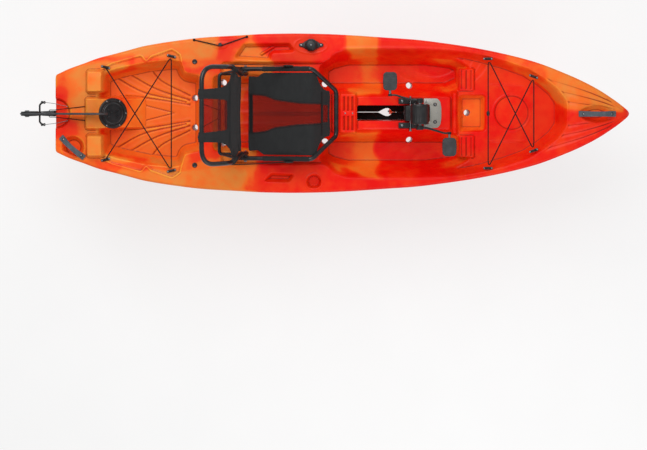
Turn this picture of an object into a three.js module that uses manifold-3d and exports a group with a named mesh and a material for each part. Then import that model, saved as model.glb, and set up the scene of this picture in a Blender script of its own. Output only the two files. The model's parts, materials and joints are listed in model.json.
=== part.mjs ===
// A sit-on-top pedal kayak: moulded hull, framed seat, lift-out pedal drive and flip-over stern rudder.
// Millimetres. X points to the bow, Y to port, Z up.
// The origin is on the flat of the hull's bottom, amidships.

import * as THREE from 'three';
import { mergeVertices } from 'three/addons/utils/BufferGeometryUtils.js';
import Module from 'manifold-3d';

const wasm = await Module();
wasm.setup();

// Hull
const hullLength = 3048;
const hullBeam = 857;
const hullWall = 4.5;
const rimHeight = 290;
const gunwaleBand = 68;
const gunwaleRound = 12;
const bowCrown = 12;
const bowCrownStart = 1180;
const sternRise = 190;
const sternRockerStart = 300;
const bowRise = 90;
const bowRockerStart = 300;
const stemFoot = 1333;
const stemTipHeight = 338;
const overrun = 40;
const seatGap = 0.3;

// Keel fins
const finWidth = 34;
const bowFinStart = 764;
const bowFinDepth = 4;
const bowFinToe = 1238;
const bowFinToeHeight = 21;
const bowFinHeel = 76;
const sternFinFore = 1050;
const sternFinAft = 1490;
const sternFinHeight = 48;
const wearStripHeight = 15;
const wearStripLength = 140;

// Cockpit, seat bay, wells and spine
const bowWellFloor = 235;
const footwellFloor = 120;
const seatBayFloor = 165;
const seatLedge = 280;
const seatLedgeHalf = 272;
const seatLedgeAft = 645;
const seatLedgeFore = 20;
const seatBayHalf = 205;
const seatBayAft = 690;
const seatBayFore = 66;
const wallDraft = 36;
const tankWellFloor = 190;
const tankWellDraft = 64;
const spineHalf = 98;
const spineDraft = 14;
const spineTop = 262;
const spineAft = 54;
const spineFore = 590;
const ladderHalf = 111;
const ladderTop = 284;
const ladderAft = 13;
const ladderLength = 93;
const recessAft = 631;
const recessLength = 147;
const recessHalf = 100;
const recessFloor = 180;
const slotAft = 82;
const slotLength = 396;
const slotHalf = 42;
const scupperRadius = 17;

// Stern deck
const padAft = 1357;
const padFore = 1262;
const padInner = 108;
const padOuter = 232;
const padTop = 380;
const padDraft = 10;
const centrePadHalf = 86;
const centrePadAft = 1364;
const centrePadTop = 356.7;
const hatchSlope = 33;
const hatchPlace = 1224;
const hatchHeight = 295;
const sternRecessRadius = 80;
const sternRecessDepth = 14;

// Side decks
const cupPlaceX = 150;
const cupPlaceY = 366;
const cupRadius = 36;
const cupDepth = 40;
const trayDepth = 30;
const plugPlaceX = 785;
const plugPlaceY = 276;
const plugRadius = 13.5;
const plugThickness = 4;

// Hatch
const hatchRadius = 82;
const hatchHoleRadius = 67.5;
const hatchSleeve = 16;
const hatchSleeveWall = 3;
const hatchRingHeight = 7;
const hatchLedge = 5;
const sealHeight = 3.4;
const lidThickness = 11;
const fingerDepth = 7;
const hatchSides = 28;

// Handles
const handleWidth = 30;
const handleThickness = 8;
const handleEnd = 16;
const bowHandleAft = 1246;
const bowHandleFore = 1440;
const bowHandleRise = 36;
const bowHandleRecessDepth = 50;
const sternHandleInnerX = 1493;
const sternHandleInnerY = 124;
const sternHandleOuterX = 1370;
const sternHandleOuterY = 236;
const sternHandleRise = 32;
const sternHandleRecessDepth = 45;

// Padeyes and bungees
const padeyeLength = 50;
const padeyeWidth = 14;
const padeyePlate = 3;
const padeyeArch = 10.5;
const padeyeRod = 2.5;
const bungeeRadius = 3;
const beadRadius = 9;
const beadLength = 26;
const hookPlaceX = 649;
const hookPlaceY = 367;

// Rudder
const pivotPlace = 1590;
const pivotPinRadius = 5;
const pivotPinTop = 349;
const pivotPinBottom = 300;
const bracketWidth = 30;
const bracketLug = 7;
const bracketLow = 308;
const bracketHigh = 342;
const hubRadius = 12;
const bladePivotPlace = 1665;
const bladePivotHeight = 371;
const bladeHeadRadius = 37;
const bladeThickness = 10;
const bladeTip = 1235;
const bladeTop = 440;
const bladeBottom = 357;
const bladeShoulder = 320;
const bladeCorner = 10;
const cheekThickness = 6;
const bladeBoltRadius = 6;
const yokeRod = 5;
const yokeHalf = 59;
const yokeHeight = 328;
const cableRadius = 1.5;
const cableHullX = 1459;
const cableHullY = 38;
const liftLineRadius = 2;

// Steering knob
const knobPlaceX = 164;
const knobPlaceY = 365;
const knobRadius = 34;
const knobHeight = 28;
const knobBaseHeight = 8;
const knobBaseLength = 130;
const knobBaseWidth = 56;

// Seat
const railHalf = 237;
const frameRadius = 12;
const backHalf = 211;
const backFlareHalf = 245;
const backFlareHeight = 446;
const hingePlaceX = 512;
const hingeHeight = 346;
const hingeBoltRadius = 4;
const seatFrontBar = 30;
const frontBarHalf = 120;
const frontBarHeight = 290;
const railTopX = 158;
const railTopHeight = 432;
const footPlaceX = 568;
const backKneeX = 566;
const backKneeHeight = 575;
const backBendX = 590;
const backBendHeight = 645;
const backTopX = 706;
const backTopHeight = 768;
const backCordTopHalf = 60;
const backCordLowHalf = 20;
const frameBend = 34;
const backCornerBend = 100;
const bendSteps = 4;
const braceBarX = 645;
const braceHeight = 422;
const braceRootHeight = 510;
const coverThickness = 14;
const coverSag = 10;
const coverStep = 40;
const seatCoverFore = 62;
const backCoverRise = 64;
const strapWidth = 33;
const strapThickness = 3;
const strapBackHeight = 566;
const strapSeatX = 262;

// Pedal drive
const legPlace = 405;
const crankHeight = 450;
const headRadius = 48;
const headHalf = 52;
const headWall = 6;
const neckBottom = 386;
const neckRadius = 38;
const collarHeight = 52;
const collarRadius = 23;
const legRadius = 16;
const legWall = 3.5;
const legBottom = -116;
const saddleAft = 334;
const saddleFore = 466;
const saddleHalf = 40;
const saddleBottom = 236;
const saddleTop = 298;
const saddleChamfer = 20;
const crossPinPlace = 368;
const crossPinHeight = 273;
const crossPinRadius = 5;
const crossPinHalf = 92;
const railAft = 304;
const railFore = 431;
const railInner = 50;
const railOuter = 80;
const railTop = 284;
const plateFore = 535;
const plateAft = 440;
const plateHalf = 79;
const plateThickness = 4;
const plateNotchGap = 2.5;
const sealThickness = 3;
const sealBottom = 9;
const gearHeight = -190;
const caseNose = 65;
const caseTail = 85;
const caseRadius = 33;
const caseBore = 19;
const caseNeckRadius = 20;
const caseCollarRadius = 24;
const caseCollarHeight = 26;
const finBottom = -375;
const finThickness = 11;
const axleRadius = 9;
const crankLength = 155;
const crankInner = 60;
const crankOuter = 106;
const crankWidth = 26;
const crankThickness = 13;
const crankBossRadius = 20;
const spindleRadius = 7;
const spindleLength = 62;
const pedalInner = 124;
const pedalWidth = 96;
const pedalLength = 75;
const pedalThickness = 24;
const shaftRadius = 5;
const propPlace = 295;
const propHubRadius = 16;
const propHubLength = 36;
const propRadius = 162;
const propShaftRadius = 5;
const running = 0.35;

// Bevel pairs: the crank wheel drives the shaft's pinion,
// and the shaft's wheel drives the propeller's pinion.
const crankTeeth = 32;
const shaftTopTeeth = 8;
const upperModule = 2;
const shaftLowTeeth = 20;
const propTeeth = 8;
const lowerModule = 1.5;
const toothFace = 7;
const toothWidthShare = 0.29;
const toothTipShare = 0.13;
const addendumShare = 0.45;
const dedendumShare = 1;

const halfLength = hullLength / 2;
const halfBeam = hullBeam / 2;

// Hull lines: place along the half length, half breadth as a share of the half beam,
// rim as a share of the rim height.
const lineShares = [
  [-1, 0.478, 1.155],
  [-0.984, 0.499, 1.155],
  [-0.955, 0.555, 1.152],
  [-0.902, 0.625, 1.145],
  [-0.85, 0.693, 1.138],
  [-0.797, 0.742, 1.13],
  [-0.744, 0.793, 1.12],
  [-0.692, 0.842, 1.11],
  [-0.586, 0.905, 1.09],
  [-0.481, 0.95, 1.065],
  [-0.375, 0.973, 1.045],
  [-0.27, 0.994, 1.025],
  [-0.165, 1, 1.01],
  [-0.059, 0.994, 1],
  [0.046, 0.976, 1],
  [0.152, 0.95, 1],
  [0.257, 0.924, 1],
  [0.362, 0.878, 1.022],
  [0.467, 0.819, 1.068],
  [0.573, 0.74, 1.13],
  [0.678, 0.637, 1.215],
  [0.783, 0.488, 1.305],
  [0.837, 0.399, 1.335],
  [0.889, 0.299, 1.345],
  [0.942, 0.175, 1.335],
  [0.984, 0.063, 1.285],
  [1, 0.014, 1.215],
];

// One section, port side, from the keel to the rim: half breadth share,
// and height share below the gunwale band.
const sectionShares = [
  [0, 0],
  [0.4, 0],
  [0.6, 0.04],
  [0.78, 0.15],
  [0.87, 0.34],
  [0.925, 0.68],
  [0.952, 1],
];
// The gunwale band above it: half breadth share, and height share of the band.
const bandShares = [
  [0.982, 0.12],
  [1, 0.55],
  [0.995, 0.84],
];

// Outlines of the wells, port half, as shares of the half length and half beam.
const cockpitHalfShares = [
  [-0.042, 0],
  [-0.042, 0.728],
  [0.014, 0.791],
  [0.167, 0.791],
  [0.367, 0.782],
  [0.492, 0.716],
  [0.649, 0.541],
  [0.748, 0.287],
  [0.778, 0.12],
  [0.79, 0],
];
const footwellShares = [
  [-0.085, 0.24],
  [0.38, 0.24],
  [0.435, 0.33],
  [0.462, 0.47],
  [0.452, 0.6],
  [0.4, 0.7],
  [0.3, 0.745],
  [0.02, 0.745],
  [-0.042, 0.69],
  [-0.085, 0.6],
];
const tankWellHalfShares = [
  [-0.852, 0],
  [-0.852, 0.44],
  [-0.83, 0.5],
  [-0.787, 0.551],
  [-0.689, 0.625],
  [-0.596, 0.66],
  [-0.566, 0.645],
  [-0.55, 0.5],
  [-0.5, 0.467],
  [-0.489, 0.4],
  [-0.489, 0],
];
const portTrayShares = [
  [-0.38, 0.682],
  [-0.345, 0.866],
  [-0.184, 0.872],
  [-0.161, 0.765],
  [-0.245, 0.752],
  [-0.251, 0.656],
];
const starboardTrayShares = [
  [-0.279, -0.852],
  [-0.249, -0.745],
  [-0.164, -0.758],
  [-0.184, -0.859],
];
const scupperShares = [
  [-0.521, 0.187],
  [-0.521, -0.187],
  [-0.421, 0.385],
  [-0.421, -0.385],
  [-0.059, 0.366],
  [-0.059, -0.366],
  [0.243, 0.345],
  [0.243, -0.345],
  [0.447, 0],
];

// Padeyes: place as shares of the half length and half beam. The sign of the second says port or starboard.
const sternPadeyeShares = [
  [-0.825, 0.574],
  [-0.825, -0.574],
  [-0.596, 0.712],
  [-0.596, -0.712],
];
const bowPadeyeShares = [
  [0.511, 0.68],
  [0.511, -0.68],
  [0.667, 0.458],
  [0.667, -0.458],
];
// How far each padeye turns from fore and aft, in degrees: the aft pair, then the fore pair.
const padeyeTurns = { stern_padeye: [14, 14], bow_padeye: [0, 20] };
const paddleBungeeShares = [
  [-0.517, 0.915],
  [-0.333, 0.955],
];

// The back cover above the root of the brace: height as a share of the way to the top bar,
// and half breadth as a share of the frame's inside.
const backCoverShares = [
  [0.25, 0.92],
  [0.45, 0.77],
  [0.68, 0.65],
  [0.78, 0.62],
  [0.85, 0.6],
];

const colours = {
  hull: 0xe8380e,
  black: 0x1b1b1d,
  slate: 0x4b5157,
  charcoal: 0x2c2d30,
  plate: 0xb9b4aa,
  steel: 0x9b9da0,
  orange: 0xe0431c,
  cord: 0x141414,
};

const kayak = new THREE.Group();

function finish(colour, roughness, metalness = 0) {
  return new THREE.MeshStandardMaterial({ color: colour, roughness, metalness });
}

const hullPlastic = () => finish(colours.hull, 0.42);
const blackPlastic = () => finish(colours.black, 0.5);
const cordCloth = () => finish(colours.cord, 0.85);
const seatCloth = () => finish(colours.charcoal, 0.92);
const steel = () => finish(colours.steel, 0.3, 1);

/** A closed mesh with merged corners, made into a solid that can be joined and cut. */
function toSolid(geometry) {
  const bare = geometry.clone();
  bare.deleteAttribute('normal');
  bare.deleteAttribute('uv');
  const merged = mergeVertices(bare, 1e-4);
  return new wasm.Manifold(new wasm.Mesh({
    numProp: 3,
    vertProperties: Float32Array.from(merged.attributes.position.array),
    triVerts: Uint32Array.from(merged.index.array),
  }));
}

function toGeometry(solid) {
  const mesh = solid.getMesh();
  const geometry = new THREE.BufferGeometry();
  geometry.setAttribute('position', new THREE.BufferAttribute(mesh.vertProperties, 3));
  geometry.setIndex(new THREE.BufferAttribute(mesh.triVerts, 1));
  geometry.computeVertexNormals();
  return geometry;
}

function addPart(name, solid, material, parent = kayak) {
  const mesh = new THREE.Mesh(toGeometry(solid), material);
  mesh.name = name;
  parent.add(mesh);
  return mesh;
}

const vec = (x, y, z) => new THREE.Vector3(x, y, z);

function join(solids) {
  return solids.reduce((whole, next) => whole.add(next));
}

function block(low, high) {
  const geometry = new THREE.BoxGeometry(high.x - low.x, high.y - low.y, high.z - low.z);
  geometry.translate((low.x + high.x) / 2, (low.y + high.y) / 2, (low.z + high.z) / 2);
  return toSolid(geometry);
}

/** A round bar from one point to another. */
function rod(from, to, radius, sides = 16) {
  const along = to.clone().sub(from);
  const geometry = new THREE.CylinderGeometry(radius, radius, along.length(), sides);
  geometry.applyQuaternion(
    new THREE.Quaternion().setFromUnitVectors(vec(0, 1, 0), along.clone().normalize()),
  );
  const middle = from.clone().add(to).multiplyScalar(1 / 2);
  geometry.translate(middle.x, middle.y, middle.z);
  return toSolid(geometry);
}

/**
 * The points with each corner turned into an arc, cut inside the corner or, for a cord at an eye, through it.
 * One radius serves all corners, or a list gives each point its own.
 */
function rounded(points, radius, steps, { closed = false, through = false } = {}) {
  const count = points.length;
  const path = [];
  for (let i = 0; i < count; i += 1) {
    if (!closed && (i === 0 || i === count - 1)) {
      path.push(points[i]);
      continue;
    }
    const bend = Array.isArray(radius) ? radius[i] : radius;
    const arriving = points[i].clone().sub(points[(i + count - 1) % count]).normalize();
    const leaving = points[(i + 1) % count].clone().sub(points[i]).normalize();
    const turn = arriving.angleTo(leaving);
    const inward = leaving.clone().sub(arriving).normalize();
    const centre = points[i].clone().addScaledVector(inward, through ? bend : bend / Math.cos(turn / 2));
    const start = inward.clone().addScaledVector(arriving, -inward.dot(arriving)).setLength(-bend);
    const end = inward.clone().addScaledVector(leaving, -inward.dot(leaving)).setLength(-bend);
    for (let step = 0; step <= steps; step += 1) {
      const share = step / steps;
      path.push(centre.clone()
        .addScaledVector(start, Math.sin((1 - share) * turn) / Math.sin(turn))
        .addScaledVector(end, Math.sin(share * turn) / Math.sin(turn)));
    }
  }
  return path;
}

/** A tube with a ring at each point of a path, its corners mitred. Up is never along the path. */
function tubeAlong(path, radius, { sides = 8, closed = false, up = vec(0, 0, 1) } = {}) {
  const count = path.length;
  const rings = path.map((point, i) => {
    const before = closed || i > 0 ? path[(i + count - 1) % count] : null;
    const after = closed || i < count - 1 ? path[(i + 1) % count] : null;
    const arriving = (before ? point.clone().sub(before) : after.clone().sub(point)).normalize();
    const leaving = (after ? after.clone().sub(point) : arriving.clone()).normalize();
    const along = arriving.clone().add(leaving).normalize();
    const across = along.clone().cross(up).normalize();
    const above = across.clone().cross(along);
    const bend = leaving.clone().sub(arriving);
    const stretch = 1 / arriving.dot(along) - 1;
    if (bend.lengthSq() > 0) bend.normalize();
    return Array.from({ length: sides }, (_, side) => {
      const angle = (2 * Math.PI * (side + 1 / 2)) / sides;
      const offset = across.clone().multiplyScalar(radius * Math.cos(angle))
        .addScaledVector(above, radius * Math.sin(angle));
      return point.clone().add(offset).addScaledVector(bend, offset.dot(bend) * stretch);
    });
  });
  return closed ? loopOf(rings) : loft(rings);
}

/** An outline in X and Y, raised from one height to another. */
function raise(outline, low, high) {
  const shape = new THREE.Shape(outline.map(([x, y]) => new THREE.Vector2(x, y)));
  const geometry = new THREE.ExtrudeGeometry(shape, { depth: high - low, bevelEnabled: false });
  geometry.translate(0, 0, low);
  return toSolid(geometry);
}

/** An outline in X and Z, carried across from one Y to another. */
function across(outline, starboard, port) {
  const shape = new THREE.Shape(outline.map(([x, z]) => new THREE.Vector2(x, z)));
  const geometry = new THREE.ExtrudeGeometry(shape, { depth: port - starboard, bevelEnabled: false });
  geometry.rotateX(Math.PI / 2);
  geometry.translate(0, port, 0);
  return toSolid(geometry);
}

/** A profile of radius and height pairs turned about an axis through the base point. */
function turned(profile, base, axis, sides = 24) {
  const geometry = new THREE.LatheGeometry(profile.map(([r, h]) => new THREE.Vector2(r, h)), sides);
  geometry.applyQuaternion(new THREE.Quaternion().setFromUnitVectors(vec(0, 1, 0), axis));
  geometry.translate(base.x, base.y, base.z);
  return outward(toSolid(geometry));
}

/** A solid whose faces point outwards, whichever way its profile was drawn. */
function outward(solid) {
  if (solid.volume() > 0) return solid;
  const mesh = solid.getMesh();
  const flipped = Uint32Array.from(mesh.triVerts);
  for (let i = 0; i < flipped.length; i += 3) {
    flipped[i + 1] = mesh.triVerts[i + 2];
    flipped[i + 2] = mesh.triVerts[i + 1];
  }
  return new wasm.Manifold(new wasm.Mesh({
    numProp: 3, vertProperties: mesh.vertProperties, triVerts: flipped,
  }));
}

/** A closed skin through rings of equally many points, with a flat cap at each end. */
function loft(rings) {
  const count = rings[0].length;
  const faces = [];
  for (let ring = 0; ring < rings.length - 1; ring += 1) {
    for (let i = 0; i < count; i += 1) {
      const a = ring * count + i;
      const b = ring * count + (i + 1) % count;
      faces.push(a, b, a + count, b, b + count, a + count);
    }
  }
  const last = (rings.length - 1) * count;
  for (let i = 1; i < count - 1; i += 1) {
    faces.push(0, i + 1, i);
    faces.push(last, last + i, last + i + 1);
  }
  return skin(rings.flat(), faces);
}

/** A closed skin round a loop of rings, with no ends. */
function loopOf(rings) {
  const count = rings[0].length;
  const faces = [];
  rings.forEach((_, ring) => {
    const next = (ring + 1) % rings.length;
    for (let i = 0; i < count; i += 1) {
      const j = (i + 1) % count;
      faces.push(ring * count + i, ring * count + j, next * count + i);
      faces.push(ring * count + j, next * count + j, next * count + i);
    }
  });
  return skin(rings.flat(), faces);
}

function skin(points, faces) {
  const geometry = new THREE.BufferGeometry();
  const places = new Float32Array(points.flatMap((point) => [point.x, point.y, point.z]));
  geometry.setAttribute('position', new THREE.BufferAttribute(places, 3));
  geometry.setIndex(faces);
  return outward(toSolid(geometry));
}

/** The outline moved outwards by a distance, or inwards where it is negative. */
function grow(outline, distance) {
  const area = outline.reduce((sum, [x, y], i) => {
    const [nextX, nextY] = outline[(i + 1) % outline.length];
    return sum + x * nextY - nextX * y;
  }, 0);
  const side = Math.sign(area);
  return outline.map(([x, y], i) => {
    const [beforeX, beforeY] = outline[(i + outline.length - 1) % outline.length];
    const [afterX, afterY] = outline[(i + 1) % outline.length];
    const first = new THREE.Vector2(x - beforeX, y - beforeY).normalize();
    const second = new THREE.Vector2(afterX - x, afterY - y).normalize();
    const normal = new THREE.Vector2(first.y + second.y, -first.x - second.x).normalize();
    const spread = Math.max(normal.dot(new THREE.Vector2(first.y, -first.x)), 0.5);
    return [x + (side * distance * normal.x) / spread, y + (side * distance * normal.y) / spread];
  });
}

/** A block between two outlines of equally many points, at a low and a high level. */
function tapered(lowOutline, highOutline, low, high) {
  const flat = highOutline.map(([x, y]) => new THREE.Vector2(x, y));
  const count = flat.length;
  const caps = THREE.ShapeUtils.triangulateShape(flat, []);
  const turnsLeft = THREE.ShapeUtils.area(flat) > 0;
  const faces = [];
  for (const [a, b, c] of caps) {
    const sign = new THREE.Vector2().subVectors(flat[b], flat[a]).cross(
      new THREE.Vector2().subVectors(flat[c], flat[a]),
    );
    const [p, q] = sign > 0 ? [b, c] : [c, b];
    faces.push(a + count, p + count, q + count, a, q, p);
  }
  for (let i = 0; i < count; i += 1) {
    const [a, b] = turnsLeft ? [i, (i + 1) % count] : [(i + 1) % count, i];
    faces.push(a, b, a + count, b, b + count, a + count);
  }
  return skin(
    [...lowOutline.map(([x, y]) => vec(x, y, low)), ...highOutline.map(([x, y]) => vec(x, y, high))], faces,
  );
}

const atShares = (shares) => shares.map(([x, y]) => [x * halfLength, y * halfBeam]);
const mirrored = (outline) => outline.map(([x, y]) => [x, -y]).reverse();

/** A half outline that starts and ends on the centre line, closed with its mirror image. */
function bothSides(half) {
  return [...half, ...mirrored(half).slice(1, -1)];
}

/** Value of one column of the hull lines at a place along the hull, straight between its rows. */
function lineAt(x, column) {
  const share = THREE.MathUtils.clamp(x / halfLength, -1, 1);
  const row = THREE.MathUtils.clamp(
    lineShares.findIndex(([place]) => place >= share), 1, lineShares.length - 1,
  );
  const [start, end] = [lineShares[row - 1], lineShares[row]];
  return THREE.MathUtils.mapLinear(share, start[0], end[0], start[column], end[column]);
}

const breadthAt = (x) => lineAt(x, 1) * halfBeam;
const rimAt = (x) => lineAt(x, 2) * rimHeight;

/** Height of the hull's bottom: flat amidships, rising as a power curve to the stern and to the stem. */
function keelAt(x) {
  if (x < -sternRockerStart) {
    return sternRise * ((-x - sternRockerStart) / (halfLength - sternRockerStart)) ** 2.72;
  }
  if (x > stemFoot) {
    return bowRise + ((x - stemFoot) / (halfLength - stemFoot)) * (stemTipHeight - bowRise);
  }
  if (x > bowRockerStart) return bowRise * ((x - bowRockerStart) / (stemFoot - bowRockerStart)) ** 2.2;
  return 0;
}

function crownAt(x) {
  const rise = THREE.MathUtils.smoothstep(x, bowCrownStart, bowCrownStart + gunwaleBand);
  return bowCrown * rise * Math.min(breadthAt(x) / gunwaleBand, 1);
}

/** A point on the deck, or a little above it. */
const onDeck = (x, y, lift = seatGap) => vec(
  x, y, rimAt(x) + crownAt(x) * (1 - Math.abs(y) / breadthAt(x)) + lift,
);

/** One ring of the hull, port keel to rim and back down the starboard side, drawn in by an inset. */
function hullRing(x, inset) {
  const half = Math.max(breadthAt(x) - inset, inset ? hullWall / 2 : 0);
  const top = rimAt(x) - inset;
  const bottom = Math.min(keelAt(x) + inset, top - hullWall);
  const band = Math.min(gunwaleBand, (top - bottom) / 3) - inset * 3;
  const port = [
    ...sectionShares.map(([y, z]) => [y * half, bottom + z * (top - band - bottom)]),
    ...bandShares.map(([y, z]) => [y * half, top - band + z * band]),
    [Math.max(half - gunwaleRound, half / 2), top],
  ];
  const centre = [0, top + crownAt(x)];
  const starboard = port.slice(1).reverse().map(([y, z]) => [-y, z]);
  return [...port, centre, ...starboard].map(([y, z]) => vec(x, y, z));
}

function hullBody(inset) {
  const first = -halfLength + inset;
  const last = halfLength - 2 * inset;
  const inner = lineShares.map(([place]) => place * halfLength).filter(
    (x) => x > first + inset && x < last - inset,
  );
  return loft([first, ...inner, last].map((x) => hullRing(x, inset)));
}

const wellTop = rimHeight * 1.5 + overrun;
const cockpitOutline = bothSides(atShares(cockpitHalfShares));
const footwellOutline = atShares(footwellShares);
const tankWellOutline = bothSides(atShares(tankWellHalfShares));
const seatLedgeOutline = [
  [-seatLedgeAft, -seatLedgeHalf], [-seatLedgeFore, -seatLedgeHalf],
  [-seatLedgeFore, seatLedgeHalf], [-seatLedgeAft, seatLedgeHalf],
];
const seatBayOutline = [
  [-seatBayAft, -seatBayHalf], [-seatBayFore, -seatBayHalf],
  [-seatBayFore, seatBayHalf], [-seatBayAft, seatBayHalf],
];
const recessOutline = [
  [recessAft, -recessHalf], [recessAft + recessLength, -recessHalf],
  [recessAft + recessLength, recessHalf], [recessAft, recessHalf],
];

/** A well with sloping sides, cut from above, true at one level. A wall thickness makes it larger. */
function well(outline, floor, level, draft, wall) {
  const depth = wellTop - floor;
  const top = grow(outline, wall + (draft * (wellTop - level)) / depth);
  const bottom = grow(outline, wall - (draft * (level - floor)) / depth);
  return tapered(bottom, top, floor - wall, wellTop);
}

function oval(centreX, centreY, alongX, alongY, sides = 16) {
  return Array.from({ length: sides }, (_, i) => {
    const turn = (2 * Math.PI * i) / sides;
    return [centreX + alongX * Math.cos(turn), centreY + alongY * Math.sin(turn)];
  });
}

/** Everything that is hollow above the deck, with a wall's thickness round it where one is given. */
function deckHollows(wall = 0) {
  const wells = [
    well(cockpitOutline, bowWellFloor, spineTop, wallDraft, wall),
    well(footwellOutline, footwellFloor, bowWellFloor, wallDraft, wall),
    well(mirrored(footwellOutline), footwellFloor, bowWellFloor, wallDraft, wall),
    well(seatLedgeOutline, seatLedge, rimHeight, wallDraft / 2, wall),
    well(seatBayOutline, seatBayFloor, seatLedge, wallDraft, wall),
    well(recessOutline, recessFloor, bowWellFloor, wallDraft, wall),
    well(tankWellOutline, tankWellFloor, rimHeight, tankWellDraft, wall),
    well(atShares(portTrayShares), rimHeight - trayDepth, rimHeight, wallDraft / 2, wall),
    well(atShares(starboardTrayShares), rimHeight - trayDepth, rimHeight, wallDraft / 2, wall),
    raise(
      oval(-cupPlaceX, -cupPlaceY, cupRadius + wall, cupRadius + wall), rimHeight - cupDepth - wall, wellTop,
    ),
    bowHandleRecess(wall),
    sternHandleRecess(wall),
    sternRecess(wall),
  ];
  return join(wells).subtract(spine(wall)).subtract(hatchWedge(wall)).subtract(sidePads(wall));
}

function bowHandleRecess(wall) {
  const middle = (bowHandleAft + bowHandleFore) / 2;
  const alongX = (bowHandleFore - bowHandleAft) / 2 - handleEnd;
  const floor = rimAt(middle) - bowHandleRecessDepth - wall;
  return raise(oval(middle, 0, alongX + wall, handleWidth * 1.6 + wall), floor, wellTop);
}

function sternHandleRecess(wall) {
  const middleX = -(sternHandleInnerX + sternHandleOuterX) / 2;
  const middleY = -(sternHandleInnerY + sternHandleOuterY) / 2;
  const radius = Math.hypot(sternHandleInnerX - sternHandleOuterX, sternHandleInnerY - sternHandleOuterY) / 2;
  const floor = rimAt(middleX) - sternHandleRecessDepth - wall;
  const reach = radius - handleEnd - padeyeWidth / 2 + wall;
  return raise(oval(middleX, middleY, reach, reach), floor, wellTop);
}

function sternRecess(wall) {
  const reach = sternRecessRadius + wall;
  const floor = rimAt(-halfLength) - sternRecessDepth - wall;
  return raise(oval(-halfLength, 0, reach, reach), floor, wellTop);
}

/** The raised spine between the footwells, with the step and the ladder that locate the seat. */
function spine(wall) {
  const low = footwellFloor - overrun;
  const outline = grow([
    [-spineAft, -spineHalf], [spineFore, -spineHalf], [spineFore, spineHalf], [-spineAft, spineHalf],
  ], -wall);
  const ladder = grow([
    [-ladderAft, -ladderHalf], [ladderLength - ladderAft, -ladderHalf],
    [ladderLength - ladderAft, ladderHalf], [-ladderAft, ladderHalf],
  ], -wall);
  const step = grow([
    [-spineAft, -ladderHalf], [-ladderAft / 2, -ladderHalf],
    [-ladderAft / 2, ladderHalf], [-spineAft, ladderHalf],
  ], -wall);
  return join([
    tapered(grow(outline, spineDraft), outline, low, spineTop - wall),
    tapered(grow(ladder, spineDraft), ladder, low, ladderTop - wall),
    tapered(grow(step, spineDraft), step, low, seatStepTop - wall),
  ]);
}

const seatStepTop = frontBarHeight - frameRadius - seatGap * 3;

/** The centre pad and the slope in front of it, which carries the hatch. */
function hatchWedge(wall) {
  const slope = Math.tan(THREE.MathUtils.degToRad(hatchSlope));
  const drop = wall / Math.cos(THREE.MathUtils.degToRad(hatchSlope));
  const slopeAt = (x) => hatchHeight - drop - (x + hatchPlace) * slope;
  const top = centrePadTop - wall;
  const low = tankWellFloor - overrun;
  const crest = -hatchPlace - (top - hatchHeight + drop) / slope;
  const toe = -hatchPlace + (hatchHeight - drop - tankWellFloor) / slope + wall;
  const profile = [
    [-centrePadAft + wall, low], [toe, low], [toe, slopeAt(toe)], [crest, top], [-centrePadAft + wall, top],
  ];
  return across(profile, -centrePadHalf + wall, centrePadHalf - wall);
}

function sidePads(wall) {
  const outline = [
    [-padAft, padInner], [-padFore, padInner], [-padFore, padOuter],
    [-padAft + padDraft * 2, padOuter], [-padAft, padOuter - padDraft * 2],
  ];
  const foot = grow(outline, -wall);
  const crest = grow(foot, -padDraft);
  const low = tankWellFloor + spineDraft;
  return tapered(foot, crest, low, padTop - wall)
    .add(tapered(mirrored(foot), mirrored(crest), low, padTop - wall));
}

/** The narrow fin under the bow, from the flat of the bottom to the stem. */
function bowFin() {
  const foot = keelAt(bowFinStart) + hullWall;
  const outline = [
    [bowFinStart, foot], [bowFinStart, -bowFinDepth], [bowFinToe, bowFinToeHeight], [stemFoot, bowFinHeel],
    [stemFoot, keelAt(stemFoot) + hullWall], [bowFinToe, keelAt(bowFinToe) + hullWall],
    [(bowFinStart + bowFinToe) / 2, keelAt((bowFinStart + bowFinToe) / 2) + hullWall],
  ];
  return across(outline, -finWidth / 2, finWidth / 2);
}

function sternFin() {
  const middle = (sternFinFore + sternFinAft) / 2;
  const aftStep = wearStripLength + seatGap;
  const outline = [
    [-sternFinFore, keelAt(-sternFinFore) + hullWall], [-sternFinFore, sternFinHeight],
    [-sternFinAft + aftStep, sternFinHeight], [-sternFinAft + aftStep, sternFinHeight + wearStripHeight],
    [-sternFinAft, sternFinHeight + wearStripHeight], [-sternFinAft, keelAt(-sternFinAft) + hullWall],
    [-middle, keelAt(-middle) + hullWall],
  ];
  return across(outline, -finWidth / 2, finWidth / 2);
}

function slotBlock(wall) {
  return block(
    vec(slotAft - wall, -slotHalf - wall, -overrun),
    vec(slotAft + slotLength + wall, slotHalf + wall, wellTop),
  );
}

function scuppers(wall) {
  const sides = 10;
  return join(atShares(scupperShares).map(([x, y]) => rod(
    vec(x, y, -overrun), vec(x, y, wellTop), scupperRadius + wall, sides,
  )));
}

const hatchAxis = vec(
  Math.sin(THREE.MathUtils.degToRad(hatchSlope)), 0, Math.cos(THREE.MathUtils.degToRad(hatchSlope)),
);
const hatchCentre = vec(-hatchPlace, 0, hatchHeight);
const onHatch = (height) => hatchCentre.clone().addScaledVector(hatchAxis, height);

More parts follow.
